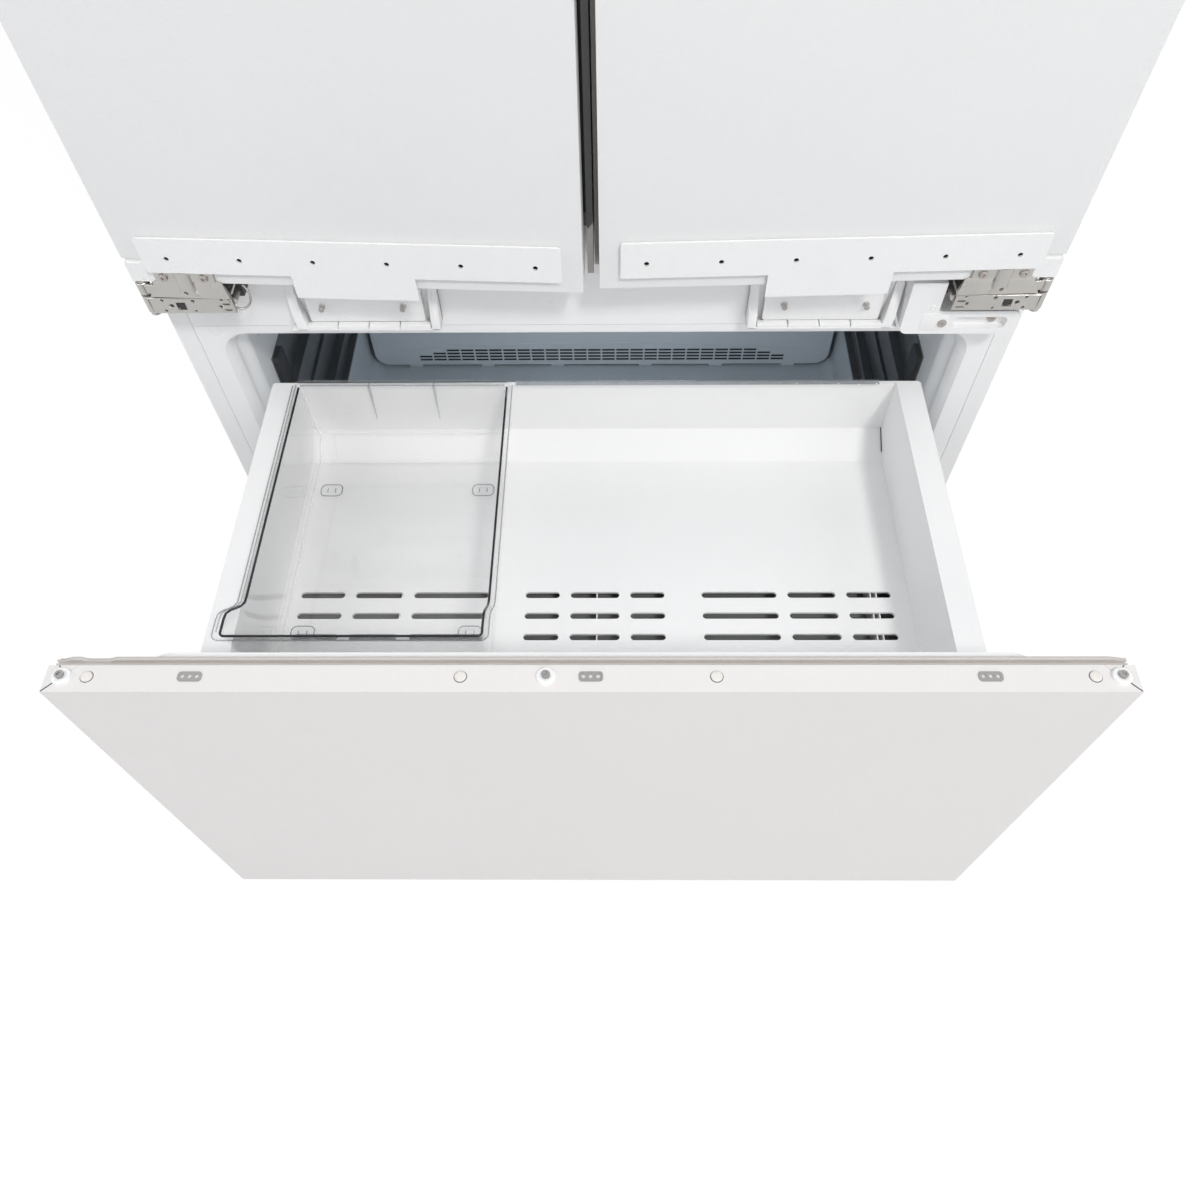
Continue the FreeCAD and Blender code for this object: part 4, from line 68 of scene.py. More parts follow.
# Closed doors, as the solids were drawn before they were turned ajar.
DOOR_FACE = -60 * MM
DOOR_OUTER_EDGE = 450 * MM
DOOR_INNER_EDGE = 7.3 * MM
PIN_X = 444 * MM
PIN_Y = -56 * MM
AJAR = {"left": np.radians(-2.6), "right": np.radians(1.8)}
SIDES = {"left": -1, "right": 1}
X_AXIS = np.array([1.0, 0.0, 0.0])
Y_AXIS = np.array([0.0, 1.0, 0.0])
Z_AXIS = np.array([0.0, 0.0, 1.0])
SHARP_ANGLE = np.radians(35.0)
WHITE = (1.0, 1.0, 1.0, 1.0)

SEAL_INSET = 6 * MM
SEAL_FRONT = -35 * MM
SEAL_BACK = -26.5 * MM
SEAL_LOW = 705 * MM
SEAL_HIGH = 2054 * MM


def plane_turn(angle, first, second):
    """A matrix that turns the first axis by an angle towards the second."""
    turn = np.eye(3)
    turn[[first, second], [first, second]] = np.cos(angle)
    turn[first, second] = -np.sin(angle)
    turn[second, first] = np.sin(angle)
    return turn


def swung(surfaces, side):
    """Surfaces of a closed door turned about its pin to the angle at rest: (x, y) - pin, turned, + pin."""
    pin = np.array([SIDES[side] * PIN_X, PIN_Y, 0.0])
    turn = plane_turn(AJAR[side], 0, 1).T
    return [((points - pin) @ turn + pin, faces) for points, faces in surfaces]


def grid_faces(rows, columns, ring):
    """Quads between neighbouring points of a grid kept row by row. The last column joins the first, and in a
    ring the last row joins the first too."""
    row = np.arange(rows if ring else rows - 1)[:, None]
    column = np.arange(columns)[None, :]
    after = (column + 1) % columns
    here = row * columns
    above = (row + 1) % rows * columns
    corners = (here + column, here + after, above + after, above + column)
    return np.stack([corner.ravel() for corner in corners], axis=1)


def lid_faces(first, count):
    """Quads across a loop with an even count of points: each joins a step at its start to one at its end."""
    step = np.arange(count // 2 - 1)
    return first + np.stack([step, step + 1, count - 2 - step, count - 1 - step], axis=1)


def skin(loops, ring=False):
    """A closed surface over loops of points, shape (loops, points, 3): quads from loop to loop, then a lid
    over the first and the last loop, or none where the loops form a ring."""
    rows, columns = loops.shape[:2]
    faces = [grid_faces(rows, columns, ring)]
    if not ring:
        faces += [lid_faces(0, columns)[:, ::-1], lid_faces((rows - 1) * columns, columns)]
    return loops.reshape(-1, 3), np.concatenate(faces)


def outward(points, faces):
    """The faces, turned round where the volume they enclose, the sum of a . (b x c) / 6, is negative."""
    a, b, c, d = (points[faces[:, i]] - points.mean(axis=0) for i in range(4))
    volume = np.sum(a * np.cross(b, c)) + np.sum(a * np.cross(c, d))
    return faces[:, ::-1] if volume < 0 else faces


def add_piece(name, surfaces, look, body, replaces=()):
    """Makes one object of closed surfaces, with its place in its mesh, that rides on a body."""
    starts = np.cumsum([0] + [len(points) for points, _ in surfaces])
    points = np.concatenate([points for points, _ in surfaces])
    faces = np.concatenate([outward(*surface) + start for surface, start in zip(surfaces, starts)])
    mesh = bpy.data.meshes.new(name)
    mesh.from_pydata(points.tolist(), [], faces.tolist())
    mesh.shade_smooth()
    mesh.set_sharp_from_angle(angle=SHARP_ANGLE)
    mesh.materials.append(finish(look))
    piece = bpy.data.objects.new(name, mesh)
    bpy.context.scene.collection.objects.link(piece)
    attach(piece, body)
    if replaces:
        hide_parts(*replaces)


def smooth_step(share):
    """0 below 0, 1 above 1, and 3 s^2 - 2 s^3 between."""
    share = np.clip(share, 0, 1)
    return share * share * (3 - 2 * share)


def full_turn(steps):
    """Angles round a circle, in even steps."""
    return np.linspace(0, 2 * np.pi, steps, endpoint=False)


def straight_run(start, stop, steps=2):
    """Points from start to stop."""
    return np.array(start) + np.linspace(0, 1, steps)[:, None] * (np.array(stop) - np.array(start))


def rounded_loop(low, high, radius, steps=8):
    """Points round rectangles with round corners: a corner's centre + radius (cos t, sin t), t over a
    quarter turn. low and high have shape (loops, 2), radius (loops,) and both answers (loops, 4 steps)."""
    turn = (np.linspace(0, np.pi / 2, steps) + np.arange(4)[:, None] * np.pi / 2).ravel()
    right = np.repeat([True, False, False, True], steps)
    upper = np.repeat([True, True, False, False], steps)
    radius = np.asarray(radius)[:, None]
    first = np.where(right, high[:, :1] - radius, low[:, :1] + radius) + radius * np.cos(turn)
    second = np.where(upper, high[:, 1:] - radius, low[:, 1:] + radius) + radius * np.sin(turn)
    return first, second


def quarter_turn(steps=6):
    """Sine and cosine over a quarter turn."""
    angle = np.linspace(0, 1, steps) * np.pi / 2
    return np.sin(angle), np.cos(angle)


def tub(low, high, floor, rim, corner, wall, lip, draft, fillet):
    """A drawn tub. Each loop is the rim's rectangle moved in by an inset, at a height; the loops run from
    the outer floor up the wall, over the rounded lip, and down inside to the floor again."""
    sine, cosine = quarter_turn()
    bottom = lip + draft
    inset = np.concatenate([
        bottom + fillet * (1 - sine),
        [lip, lip * 0.15],
        lip * 0.15 * (1 - sine),
        [lip + wall],
        bottom + wall + fillet * (1 - cosine),
    ])
    height = np.concatenate([
        floor + fillet * (1 - cosine),
        [rim - 2 * wall, rim - 2 * wall],
        rim - wall * cosine,
        [rim],
        floor + wall + fillet * (1 - sine),
    ])
    radius = np.maximum(corner - inset, 0.2 * corner)
    x, y = rounded_loop(np.array(low) + inset[:, None], np.array(high) - inset[:, None], radius)
    return skin(np.stack([x, y, np.broadcast_to(height[:, None], x.shape)], axis=-1))


def tube(path, radius, sides=10):
    """A round rod along a path: each point + radius (cos t side + sin t up), square to the path."""
    along = np.gradient(path, axis=0)
    along /= np.linalg.norm(along, axis=1, keepdims=True)
    spare = np.where(np.abs(along[:, 2:]) > 0.9, X_AXIS, Z_AXIS)
    across = np.cross(along, spare)
    across /= np.linalg.norm(across, axis=1, keepdims=True)
    up = np.cross(across, along)
    turn = full_turn(sides)[None, :, None]
    return skin(path[:, None] + radius * (np.cos(turn) * across[:, None] + np.sin(turn) * up[:, None]))


def square_to(axis):
    """A unit axis, and two more at right angles to it and to each other."""
    axis = np.asarray(axis, float) / np.linalg.norm(axis)
    u = np.cross(axis, X_AXIS if abs(axis[0]) < 0.9 else Z_AXIS)
    u /= np.linalg.norm(u)
    return axis, u, np.cross(axis, u)


def turned(profile, centre, axis, sides=32):
    """A profile of (radius, rise) pairs turned about an axis through a centre:
    centre + rise axis + radius (cos t u + sin t v)."""
    axis, u, v = square_to(axis)
    turn = full_turn(sides)[None, :, None]
    radius, rise = np.asarray(profile, float).T[:, :, None, None]
    return skin(np.asarray(centre) + rise * axis + radius * (np.cos(turn) * u + np.sin(turn) * v))


def bar(path, across, up, width, height, corner):
    """A bar along a path. Its section is a rounded rectangle, path + a across + b up, whose width and height
    may change along the path and whose corner radius is a share of the smaller of the two."""
    size = np.stack(np.broadcast_arrays(width, height, path[:, 0])[:2], axis=-1) / 2
    a, b = rounded_loop(-size, size, corner * 2 * size.min(axis=1), 4)
    return skin(path[:, None] + a[..., None] * across + b[..., None] * up)


def level_bar(x_range, y, z, width, height, corner, steps=2):
    """A bar along X, with its width along Y and its height along Z."""
    path = straight_run((x_range[0], y, z), (x_range[1], y, z), steps)
    return bar(path, Y_AXIS, Z_AXIS, width, height, corner)


def panel(x_range, z_range, y, depth, corner, ease):
    """A flat panel that faces forward: a rounded rectangle over x and z that runs back from y by the depth,
    with its front edge drawn in by the ease."""
    inset = ease * np.array([1.0, 0.3, 0.0, 0.0])
    low, high = np.stack([x_range, z_range], axis=-1)
    radius = np.maximum(corner - inset, 0.3 * corner)
    x, z = rounded_loop(low + inset[:, None], high - inset[:, None], radius, 6)
    back = y + np.array([0.0, 0.3 * ease, ease, depth])[:, None]
    return skin(np.stack([x, np.broadcast_to(back, x.shape), z], axis=-1))


def screw_head(centre, axis, radius, height, recess, depth):
    """A domed screw head with a cross recess. Over polar (r, t) the crown is height
    (1 - 0.25 (r / radius)^2). Where the smaller of |r cos t| and |r sin t| is under the recess's half width
    it drops by the depth."""
    axis, u, v = square_to(axis)
    edge = recess / radius
    share = np.concatenate([[1.0, 1.0, 0.97], np.linspace(0.9, edge, 4), edge * np.linspace(0.97, 0.04, 9)])
    turn = full_turn(48)
    r = radius * share[:, None] * np.ones_like(turn)
    x = r * np.cos(turn)
    y = r * np.sin(turn)
    arm = np.minimum(np.abs(x), np.abs(y)) / (0.24 * recess)
    cut = np.clip(1.6 - arm, 0, 1) * (r < 0.985 * recess)
    rise = height * (1 - 0.25 * (r / radius) ** 2) - depth * cut
    rise[0] = 0.0
    rise[1] = 0.68 * height
    return skin(np.asarray(centre) + rise[..., None] * axis + x[..., None] * u + y[..., None] * v)


class Value:
    """A socket in a finish's nodes. Arithmetic with numbers or other values adds Math nodes."""

    def __init__(self, finish, socket):
        self.finish = finish
        self.socket = socket

    def __getitem__(self, name):
        return Value(self.finish, self.socket.node.outputs[name])

    def __add__(self, other):
        return self.finish.maths("ADD", self, other)

    def __radd__(self, other):
        return self.finish.maths("ADD", other, self)

    def __sub__(self, other):
        return self.finish.maths("SUBTRACT", self, other)

    def __rsub__(self, other):
        return self.finish.maths("SUBTRACT", other, self)

    def __mul__(self, other):
        return self.finish.maths("MULTIPLY", self, other)

    def __rmul__(self, other):
        return self.finish.maths("MULTIPLY", other, self)

    def __pow__(self, other):
        return self.finish.maths("POWER", self, other)


class Finish:
    """A material, or the world, built up node by node."""

    def __init__(self, owner):
        owner.use_nodes = True
        self.owner = owner
        self.tree = owner.node_tree
        self.tree.nodes.clear()

    def node(self, kind, options=None, sockets=None):
        """Adds a node: its options first, then a value or a link for each named socket. Gives its first
        output."""
        node = self.tree.nodes.new(kind)
        for key, value in (options or {}).items():
            setattr(node, key, value)
        for key, value in (sockets or {}).items():
            socket = next(socket for socket in node.inputs if socket.identifier == key)
            if isinstance(value, Value):
                self.tree.links.new(value.socket, socket)
            else:
                socket.default_value = value
        output = next((socket for socket in node.outputs if socket.enabled), None)
        return Value(self, output) if output else None

    def maths(self, operation, first, second=0.0):
        """One step of arithmetic."""
        return self.node("ShaderNodeMath", {"operation": operation}, {"Value": first, "Value_001": second})

    def place(self, stretch=(1.0, 1.0, 1.0)):
        """Object coordinates, multiplied by a stretch along each axis."""
        spot = self.node("ShaderNodeTexCoord")["Object"]
        return self.times(spot, stretch)

    def times(self, first, second):
        """Two vectors or colours, multiplied channel by channel."""
        sockets = {"Vector": first, "Vector_001": second}
        return self.node("ShaderNodeVectorMath", {"operation": "MULTIPLY"}, sockets)

    def split(self):
        """Object coordinates as X, Y and Z."""
        return self.node("ShaderNodeSeparateXYZ", None, {"Vector": self.place()})

    def noise(self, scale, detail=3.0, roughness=0.5, stretch=(1.0, 1.0, 1.0)):
        """Cloudy variation from 0 to 1."""
        sockets = {"Vector": self.place(stretch), "Scale": scale, "Detail": detail, "Roughness": roughness}
        return self.node("ShaderNodeTexNoise", None, sockets)

    def cells(self, scale):
        """Distance to the nearest of many scattered points."""
        return self.node("ShaderNodeTexVoronoi", {"feature": "F1"}, {"Vector": self.place(), "Scale": scale})

    def blend(self, factor, first, second):
        """A colour from the first to the second by a factor."""
        sockets = {"Factor_Float": factor, "A_Color": first, "B_Color": second}
        return self.node("ShaderNodeMix", {"data_type": "RGBA"}, sockets)

    def shades(self, factor, colour, low, high):
        """A colour from low to high times its channels by a factor."""
        return self.blend(factor, shade(colour, low), shade(colour, high))

    def bump(self, height, distance):
        """A normal roughened by a height."""
        return self.node("ShaderNodeBump", None, {"Height": height, "Distance": distance})

    def mixed(self, share, first, second):
        """Two shaders mixed by a share, as the material's surface."""
        sockets = {"Fac": share, "Shader": first, "Shader_001": second}
        return self.output(self.node("ShaderNodeMixShader", None, sockets))

    def surface(self, sockets):
        """One shader as the material's surface."""
        return self.output(self.node("ShaderNodeBsdfPrincipled", None, sockets))

    def output(self, shader):
        """Feeds a shader to the material's output, and gives the material."""
        self.node("ShaderNodeOutputMaterial", None, {"Surface": shader})
        return self.owner


def new_material(name):
    """An empty material, under a name that the solids' own materials don't have."""
    return bpy.data.materials.new(f"{name}_finish")


def shade(colour, factor):
    """A colour with its channels multiplied by a factor, opaque."""
    return (*(factor * channel for channel in colour), 1.0)


def painted_sheet(name, colour, roughness=0.34):
    """Powder-coated sheet: an orange peel of small soft lumps, and faint drifts in tone and gloss."""
    finish = Finish(new_material(name))
    return finish.surface({
        "Base Color": finish.shades(finish.noise(3.0), colour, 0.975, 1.02),
        "Roughness": roughness - 0.05 + 0.1 * finish.noise(14.0),
        "Specular IOR Level": 0.4,
        "Normal": finish.bump(finish.noise(420.0, 2.0), 0.00025),
    })


def mould_waves(finish):
    """Long waves where a hot sheet stretched over its mould, and a fine eggshell, as a normal."""
    return finish.bump(finish.noise(9.0, 1.0, 0.4) + 0.05 * finish.noise(700.0, 2.0), 0.0012)


def formed_sheet(name, colour):
    """Vacuum-formed sheet with the waves of its mould."""
    finish = Finish(new_material(name))
    return finish.surface({
        "Base Color": finish.shades(finish.noise(4.0), colour, 0.97, 1.02),
        "Roughness": 0.24 + 0.12 * finish.noise(22.0),
        "Specular IOR Level": 0.5,
        "Normal": mould_waves(finish),
    })


# Depth over which the freezer lining's painted shade deepens.
SHADE_DEPTH = 0.3


def freezer_sheet_with_painted_shade(name, colour, shade_colour):
    """Formed sheet with painted shade: darker and bluer from mouth to back, by a smooth step over the depth.
    """
    finish = Finish(new_material(name))
    depth = finish.node("ShaderNodeMapRange", {"interpolation_type": "SMOOTHSTEP"},
                        {"Value": finish.split()["Y"], "From Min": 0.0, "From Max": SHADE_DEPTH})
    tone = finish.blend(depth, shade(colour, 1.0), shade(shade_colour, 1.0))
    cloud = finish.shades(finish.noise(4.0), (1.0, 1.0, 1.0), 0.97, 1.0)
    return finish.surface({
        "Base Color": finish.times(tone, cloud),
        "Roughness": 0.24 + 0.12 * finish.noise(22.0),
        "Normal": mould_waves(finish),
    })


def moulded_plastic(name, colour, roughness=0.42, grain=900.0):
    """Injection-moulded plastic: an etched grain, faint flow marks and a soft sheen."""
    finish = Finish(new_material(name))
    flow = finish.noise(6.0, 4.0, 0.6, (1.0, 3.0, 0.6))
    return finish.surface({
        "Base Color": finish.shades(flow, colour, 0.96, 1.03),
        "Roughness": roughness - 0.06 + 0.12 * flow,
        "Specular IOR Level": 0.45,
        "Normal": finish.bump(finish.cells(grain), 0.0002),
    })


FIN_MIDDLE = -2.5 * MM
FIN_SLOPE = 1.5
FIN_FOOT = 757 * MM
FIN_BACK = -29.5 * MM
FIN_SHADE = (0.05, 0.05, 0.051, 1.0)


def flipper_bar(name, colour):
    """The flipper bar's plastic, with painted shade on the fin on its nose: charcoal in front of the bar's
    face and above the fin's pointed foot, for the shade in the gap between the doors."""
    finish = Finish(new_material(name))
    grain = finish.noise(900.0, 2.0)
    spot = finish.split()
    beside = finish.maths("ABSOLUTE", spot["X"] - FIN_MIDDLE)
    above = finish.maths("GREATER_THAN", spot["Z"] - FIN_SLOPE * beside, FIN_FOOT)
    # Painted shade: the fin's charcoal stands in for the shade in the gap between the doors.
    fin_shade = above * finish.maths("LESS_THAN", spot["Y"], FIN_BACK)
    tone = finish.shades(finish.noise(12.0), colour, 0.93, 1.05)
    return finish.surface({
        "Base Color": finish.blend(fin_shade, tone, FIN_SHADE),
        "Roughness": 0.42 + 0.15 * fin_shade + 0.08 * grain,
        "Normal": finish.bump(grain, 0.0002),
    })


def brushed_steel(name, colour, roughness=0.26, stretch=(6.0, 160.0, 160.0)):
    """Plated steel strip: streaks drawn along its length, duller clouds and darker streaks."""
    finish = Finish(new_material(name))
    streak = finish.noise(30.0, 4.0, 0.6, stretch)
    cloud = finish.noise(45.0, 3.0)
    return finish.surface({
        "Base Color": finish.shades(0.65 * streak + 0.35 * cloud, colour, 0.72, 1.12),
        "Metallic": 1.0,
        "Roughness": roughness - 0.08 + 0.16 * streak + 0.08 * cloud,
        "Normal": finish.bump(streak, 0.00012),
    })


def spangled_zinc(name, colour):
    """Galvanised sheet: crystal cells of slightly different grey and gloss."""
    finish = Finish(new_material(name))
    tone = finish.node("ShaderNodeSeparateColor", None, {"Color": finish.cells(90.0)["Color"]})
    return finish.surface({
        "Base Color": finish.shades(tone, colour, 0.78, 1.1),
        "Metallic": 0.9,
        "Roughness": 0.34 + 0.16 * tone,
        "Normal": finish.bump(tone, 0.00006),
    })


def dark_slide(name, colour):
    """Blackened slide steel: fine drawn lines along the travel and a smear of grease."""
    finish = Finish(new_material(name))
    drawn = finish.noise(26.0, 3.0, 0.6, (180.0, 3.0, 180.0))
    grease = finish.noise(11.0, 4.0, 0.7)
    return finish.surface({
        "Base Color": finish.shades(drawn, colour, 0.6, 1.6),
        "Metallic": 0.85,
        "Roughness": 0.24 + 0.2 * grease + 0.1 * drawn,
        "Normal": finish.bump(drawn, 0.00015),
    })


def soft_rubber(name, colour):
    """Extruded soft vinyl: a dull bloom and a very fine grain."""
    finish = Finish(new_material(name))
    bloom = finish.noise(35.0, 4.0, 0.6)
    return finish.surface({
        "Base Color": finish.shades(bloom, colour, 0.92, 1.06),
        "Roughness": 0.5 + 0.16 * bloom,
        "Specular IOR Level": 0.35,
        "Normal": finish.bump(finish.noise(1500.0, 2.0), 0.0001),
    })


def black_coat(name, colour, roughness):
    """Black paint or plastic: a fine texture, and dust that dulls it in patches."""
    finish = Finish(new_material(name))
    dust = finish.noise(18.0, 5.0, 0.6)
    return finish.surface({
        "Base Color": finish.shades(dust, colour, 0.7, 1.7),
        "Roughness": roughness - 0.08 + 0.18 * dust,
        "Normal": finish.bump(finish.noise(800.0, 2.0), 0.0002),
    })


def clear_plastic(name, colour, open_share, edge_share, shine=1.0):
    """Clear moulded plastic: nearly open face on and denser at a glance, with faint flow lines in it, under
    a gloss that grows as the fifth power of the glance."""
    finish = Finish(new_material(name))
    facing = finish.node("ShaderNodeLayerWeight", None, {"Blend": 0.5})["Facing"]
    flow = finish.noise(8.0, 3.0, 0.5, (1.0, 1.0, 3.0))
    ripple = finish.bump(flow, 0.0006)
    body = finish.node("ShaderNodeBsdfPrincipled", None, {
        "Base Color": finish.shades(flow, colour, 0.96, 1.03),
        "Roughness": 0.08 + 0.05 * flow,
        "Alpha": open_share + edge_share * facing ** 3.0,
        "Normal": ripple,
    })
    gloss = finish.node("ShaderNodeBsdfPrincipled", None, {
        "Base Color": WHITE, "Metallic": 1.0, "Roughness": 0.03, "Normal": ripple})
    return finish.mixed(shine * (0.04 + 0.96 * facing ** 5.0), body, gloss)


def poured_foam(name, colour):
    """Rigid foam: closed cells of many sizes."""
    finish = Finish(new_material(name))
    cell = finish.cells(260.0)
    return finish.surface({
        "Base Color": finish.shades(finish.noise(20.0), colour, 0.88, 1.05),
        "Roughness": 0.85 + 0.1 * cell,
        "Normal": finish.bump(cell, 0.0012),
    })


def lamp_cover(name, colour):
    """Opal lamp cover: fine ribs along it."""
    finish = Finish(new_material(name))
    rib = finish.node("ShaderNodeTexWave", {"wave_type": "BANDS", "bands_direction": "Y"},
                      {"Vector": finish.place(), "Scale": 60.0, "Distortion": 0.0})
    return finish.surface({
        "Base Color": finish.shades(rib, colour, 0.94, 1.02),
        "Roughness": 0.25 + 0.1 * rib,
        "Normal": finish.bump(rib, 0.0004),
    })


def tint(name, description, colour):
    """A colour that the user can set."""
    return FloatVectorProperty(name=name, description=description, subtype="COLOR", default=colour)


def length(name, description, size):
    """A length that the user can set."""
    return FloatProperty(name=name, description=description, default=size, min=0, unit="LENGTH")


class FridgeColours(bpy.types.PropertyGroup):
    """Colours of the finishes, as linear values."""

    case: tint("Case", "Painted cabinet", (0.92, 0.92, 0.92))
    fronts: tint("Door skins", "Painted door skins", (0.85, 0.85, 0.85))
    # The drawer's colour, darker and warmer than the case's, is painted shade of its front, which faces away
    # from the light.
    drawer: tint("Drawer skin", "Painted drawer front", (0.805, 0.782, 0.768))
    lining: tint("Linings", "Formed linings", (0.93, 0.932, 0.935))
    tray: tint("Tray", "Tray and basket", (0.91, 0.91, 0.91))
    trim: tint("White trim", "Small white mouldings", (0.94, 0.94, 0.94))
    # The freezer panel's blue-grey tint is painted shade, the cool shade at the back of the freezer.
    panel: tint("Freezer panel", "Cover at the back of the freezer", (0.79, 0.83, 0.875))
    # The freezer depth colour is painted shade: the lining's darker, bluer colour at the back of the cavity.
    depth: tint("Freezer depth", "Freezer lining at its back", (0.53, 0.57, 0.605))
    seal: tint("Seals", "Soft seals of the doors and drawer", (0.57, 0.535, 0.51))
    bar: tint("Flipper bar", "Bar between the doors", (0.30, 0.28, 0.265))
    steel: tint("Hinge steel", "Plated hinge plates", (0.54, 0.525, 0.50))
    slide: tint("Slide steel", "Dark drawer slides", (0.17, 0.175, 0.18))
    cream: tint("Cream plugs", "Round plugs in the drawer's flange", (0.83, 0.80, 0.76))
    clear: tint("Clear plastic", "Tint of the clear bins", (0.96, 0.97, 0.98))


class FridgeSizes(bpy.types.PropertyGroup):
    """Sizes of the finer surfaces."""

    seal_width: length("Seal width", "Across a door seal", 14 * MM)
    drawer_seal_width: length("Drawer seal width", "Across the drawer's seal", 13 * MM)
    seal_fold: FloatProperty(
        name="Seal fold", description="Share of the width that the bellows fold in", default=0.3, min=0,
        max=0.5, subtype="FACTOR")
    bin_wall: length("Clear bin wall", "Thickness of the clear bin", 2.5 * MM)
    bin_corner: length("Clear bin corner", "Radius of the bin's upright corners", 5 * MM)
    bin_raise: length("Raised front", "Rise of the rim at the bin's front", 26 * MM)
    mouth_corner: length("Mouth corner", "Radius of the freezer opening's corners", 30 * MM)
    mouth_fillet: length("Mouth fillet", "Rounding of the freezer opening's edge", 4 * MM)
    fan_blades: IntProperty(name="Fan blades", description="Blades on each fan", default=6, min=2, max=12)


def settings():
    """The sizes and colours that the user set in the panel."""
    return bpy.context.scene.fridge_sizes, bpy.context.scene.fridge_colours


def finish(name):
    """A finish made by the finishes operator."""
    return bpy.data.materials[f"{name}_finish"]


NODE_FINISHES = {
    "case_paint": ["outer_case", "toe_kick"],
    "front_paint": ["left_door_skin", "right_door_skin"],
    "drawer_paint": ["drawer_skin"],
    "trim_plastic": ["left_panel_bracket", "right_panel_bracket", "rail_pockets", "hinge_cover",
                     "shelf_trims", "left_door_caps", "right_door_caps"],
    "zinc_sheet": ["rear_sheets", "base_tray", "machine_cover", "fixing_tabs"],
    "hinge_steel": ["hinge_arms", "left_hinge_leaves", "right_hinge_leaves"],
    "screw_steel": ["cabinet_fasteners"],
    "plate_steel": ["drawer_fixings"],
    "slide_coat": ["slide_outer_members", "slide_middle_members", "slide_inner_members"],
    "foam": ["insulation", "left_door_foam", "right_door_foam", "drawer_foam"],
    "freezer_lining": ["freezer_liner"],
    "lining": ["fridge_liner", "centre_rail", "fridge_duct", "drawer_liner", "left_door_liner",
               "right_door_liner"],
    "tray_white": ["tray_walls", "tray_floor", "lower_basket"],
    "freezer_panel": ["duct_cover"],
    "bar_plastic": ["mullion"],
    "cream_plastic": ["drawer_caps"],
    "seal_rubber": ["left_door_gasket", "right_door_gasket", "drawer_gasket"],
    "black_plastic": ["levelling_feet", "drain_pan", "fan_motors", "power_inlet", "slide_end_plates"],
    "black_paint": ["compressor", "condenser"],
    "fin_aluminium": ["evaporator"],
    "fan_plastic": ["evaporator_fan", "condenser_fan"],
    "shelf_glass": ["shelf_glass"],
    "clear_plastic": ["crisper_bins", "left_door_bins", "right_door_bins", "ice_bin"],
    "lamp_lens": ["fridge_lamp"],
}


# Colours of the finishes that the panel doesn't offer.
PLAIN = {
    "zinc_sheet": (0.62, 0.63, 0.64),
    "screw_steel": (0.50, 0.465, 0.44),
    "plate_steel": (0.42, 0.415, 0.41),
    "foam": (0.78, 0.70, 0.45),
    "black_plastic": (0.022, 0.022, 0.024),
    "black_paint": (0.016, 0.016, 0.017),
    "fin_aluminium": (0.80, 0.81, 0.82),
    "fan_plastic": (0.10, 0.10, 0.105),
    "shelf_glass": (0.66, 0.78, 0.74),
    "clear_edge": (0.30, 0.32, 0.34),
    "soft_edge": (0.50, 0.52, 0.54),
    "bright_edge": (0.97, 0.97, 0.97),
    # Grey of the painted shade seen through the tray's slots, below.
    "smoked_edge": (0.012, 0.013, 0.014),
    "pan_grey": (0.24, 0.245, 0.25),
    "seam_shadow": (0.05, 0.047, 0.045),
    "lamp_lens": (0.86, 0.86, 0.85),
}
EVEN_STREAKS = (40.0, 40.0, 40.0)
FIN_STREAKS = (4.0, 60.0, 4.0)


class FRIDGE_OT_finishes(bpy.types.Operator):
    """Make the finishes and put them on the solids"""

    bl_idname = "fridge.finishes"
    bl_label = "Finishes"

    def execute(self, context):
        _, colours = settings()
        # What makes each finish, the finish, its colour where the panel offers it, and what else it takes.
        recipes = (
            (painted_sheet, "case_paint", colours.case),
            (painted_sheet, "front_paint", colours.fronts),
            (painted_sheet, "drawer_paint", colours.drawer),
            (painted_sheet, "tray_white", colours.tray, 0.3),
            (formed_sheet, "lining", colours.lining),
            (freezer_sheet_with_painted_shade, "freezer_lining", colours.lining, colours.depth),
            (moulded_plastic, "trim_plastic", colours.trim),
            (moulded_plastic, "freezer_panel", colours.panel, 0.4, 500.0),
            (moulded_plastic, "cream_plastic", colours.cream, 0.5),
            (moulded_plastic, "fan_plastic", None, 0.45),
            (moulded_plastic, "pan_grey", None, 0.5),
            (flipper_bar, "bar_plastic", colours.bar),
            (soft_rubber, "seal_rubber", colours.seal),
            (brushed_steel, "hinge_steel", colours.steel),
            (brushed_steel, "screw_steel", None, 0.3, EVEN_STREAKS),
            (brushed_steel, "plate_steel", None, 0.3, EVEN_STREAKS),
            (brushed_steel, "fin_aluminium", None, 0.34, FIN_STREAKS),
            (dark_slide, "slide_coat", colours.slide),
            (spangled_zinc, "zinc_sheet", None),
            (poured_foam, "foam", None),
            (black_coat, "black_plastic", None, 0.45),
            (black_coat, "black_paint", None, 0.35),
            (black_coat, "seam_shadow", None, 0.7),
            (clear_plastic, "shelf_glass", None, 0.10, 0.5),
            (clear_plastic, "clear_plastic", colours.clear, 0.004, 0.03, 0.8),
            (clear_plastic, "clear_edge", None, 0.42, 0.25, 0.25),
            (clear_plastic, "soft_edge", None, 0.22, 0.2, 0.25),
            (clear_plastic, "bright_edge", None, 0.5, 0.2, 0.3),
            (clear_plastic, "smoked_edge", None, 0.96, 0.03, 0.06),
            (lamp_cover, "lamp_lens", None),
        )
        for recipe, name, colour, *others in recipes:
            recipe(name, PLAIN[name] if colour is None else colour, *others)
        for name, nodes in NODE_FINISHES.items():
            for node in nodes:
                frame["nodes"][node].data.materials.clear()
                frame["nodes"][node].data.materials.append(finish(name))
        bare = set(frame["nodes"]) - {node for nodes in NODE_FINISHES.values() for node in nodes}
        if bare:
            raise RuntimeError(f"no finish for {sorted(bare)}")
        return {"FINISHED"}


SEAL_GROOVES = ((0.1, 0.05), (0.48, 0.09), (0.88, 0.05))


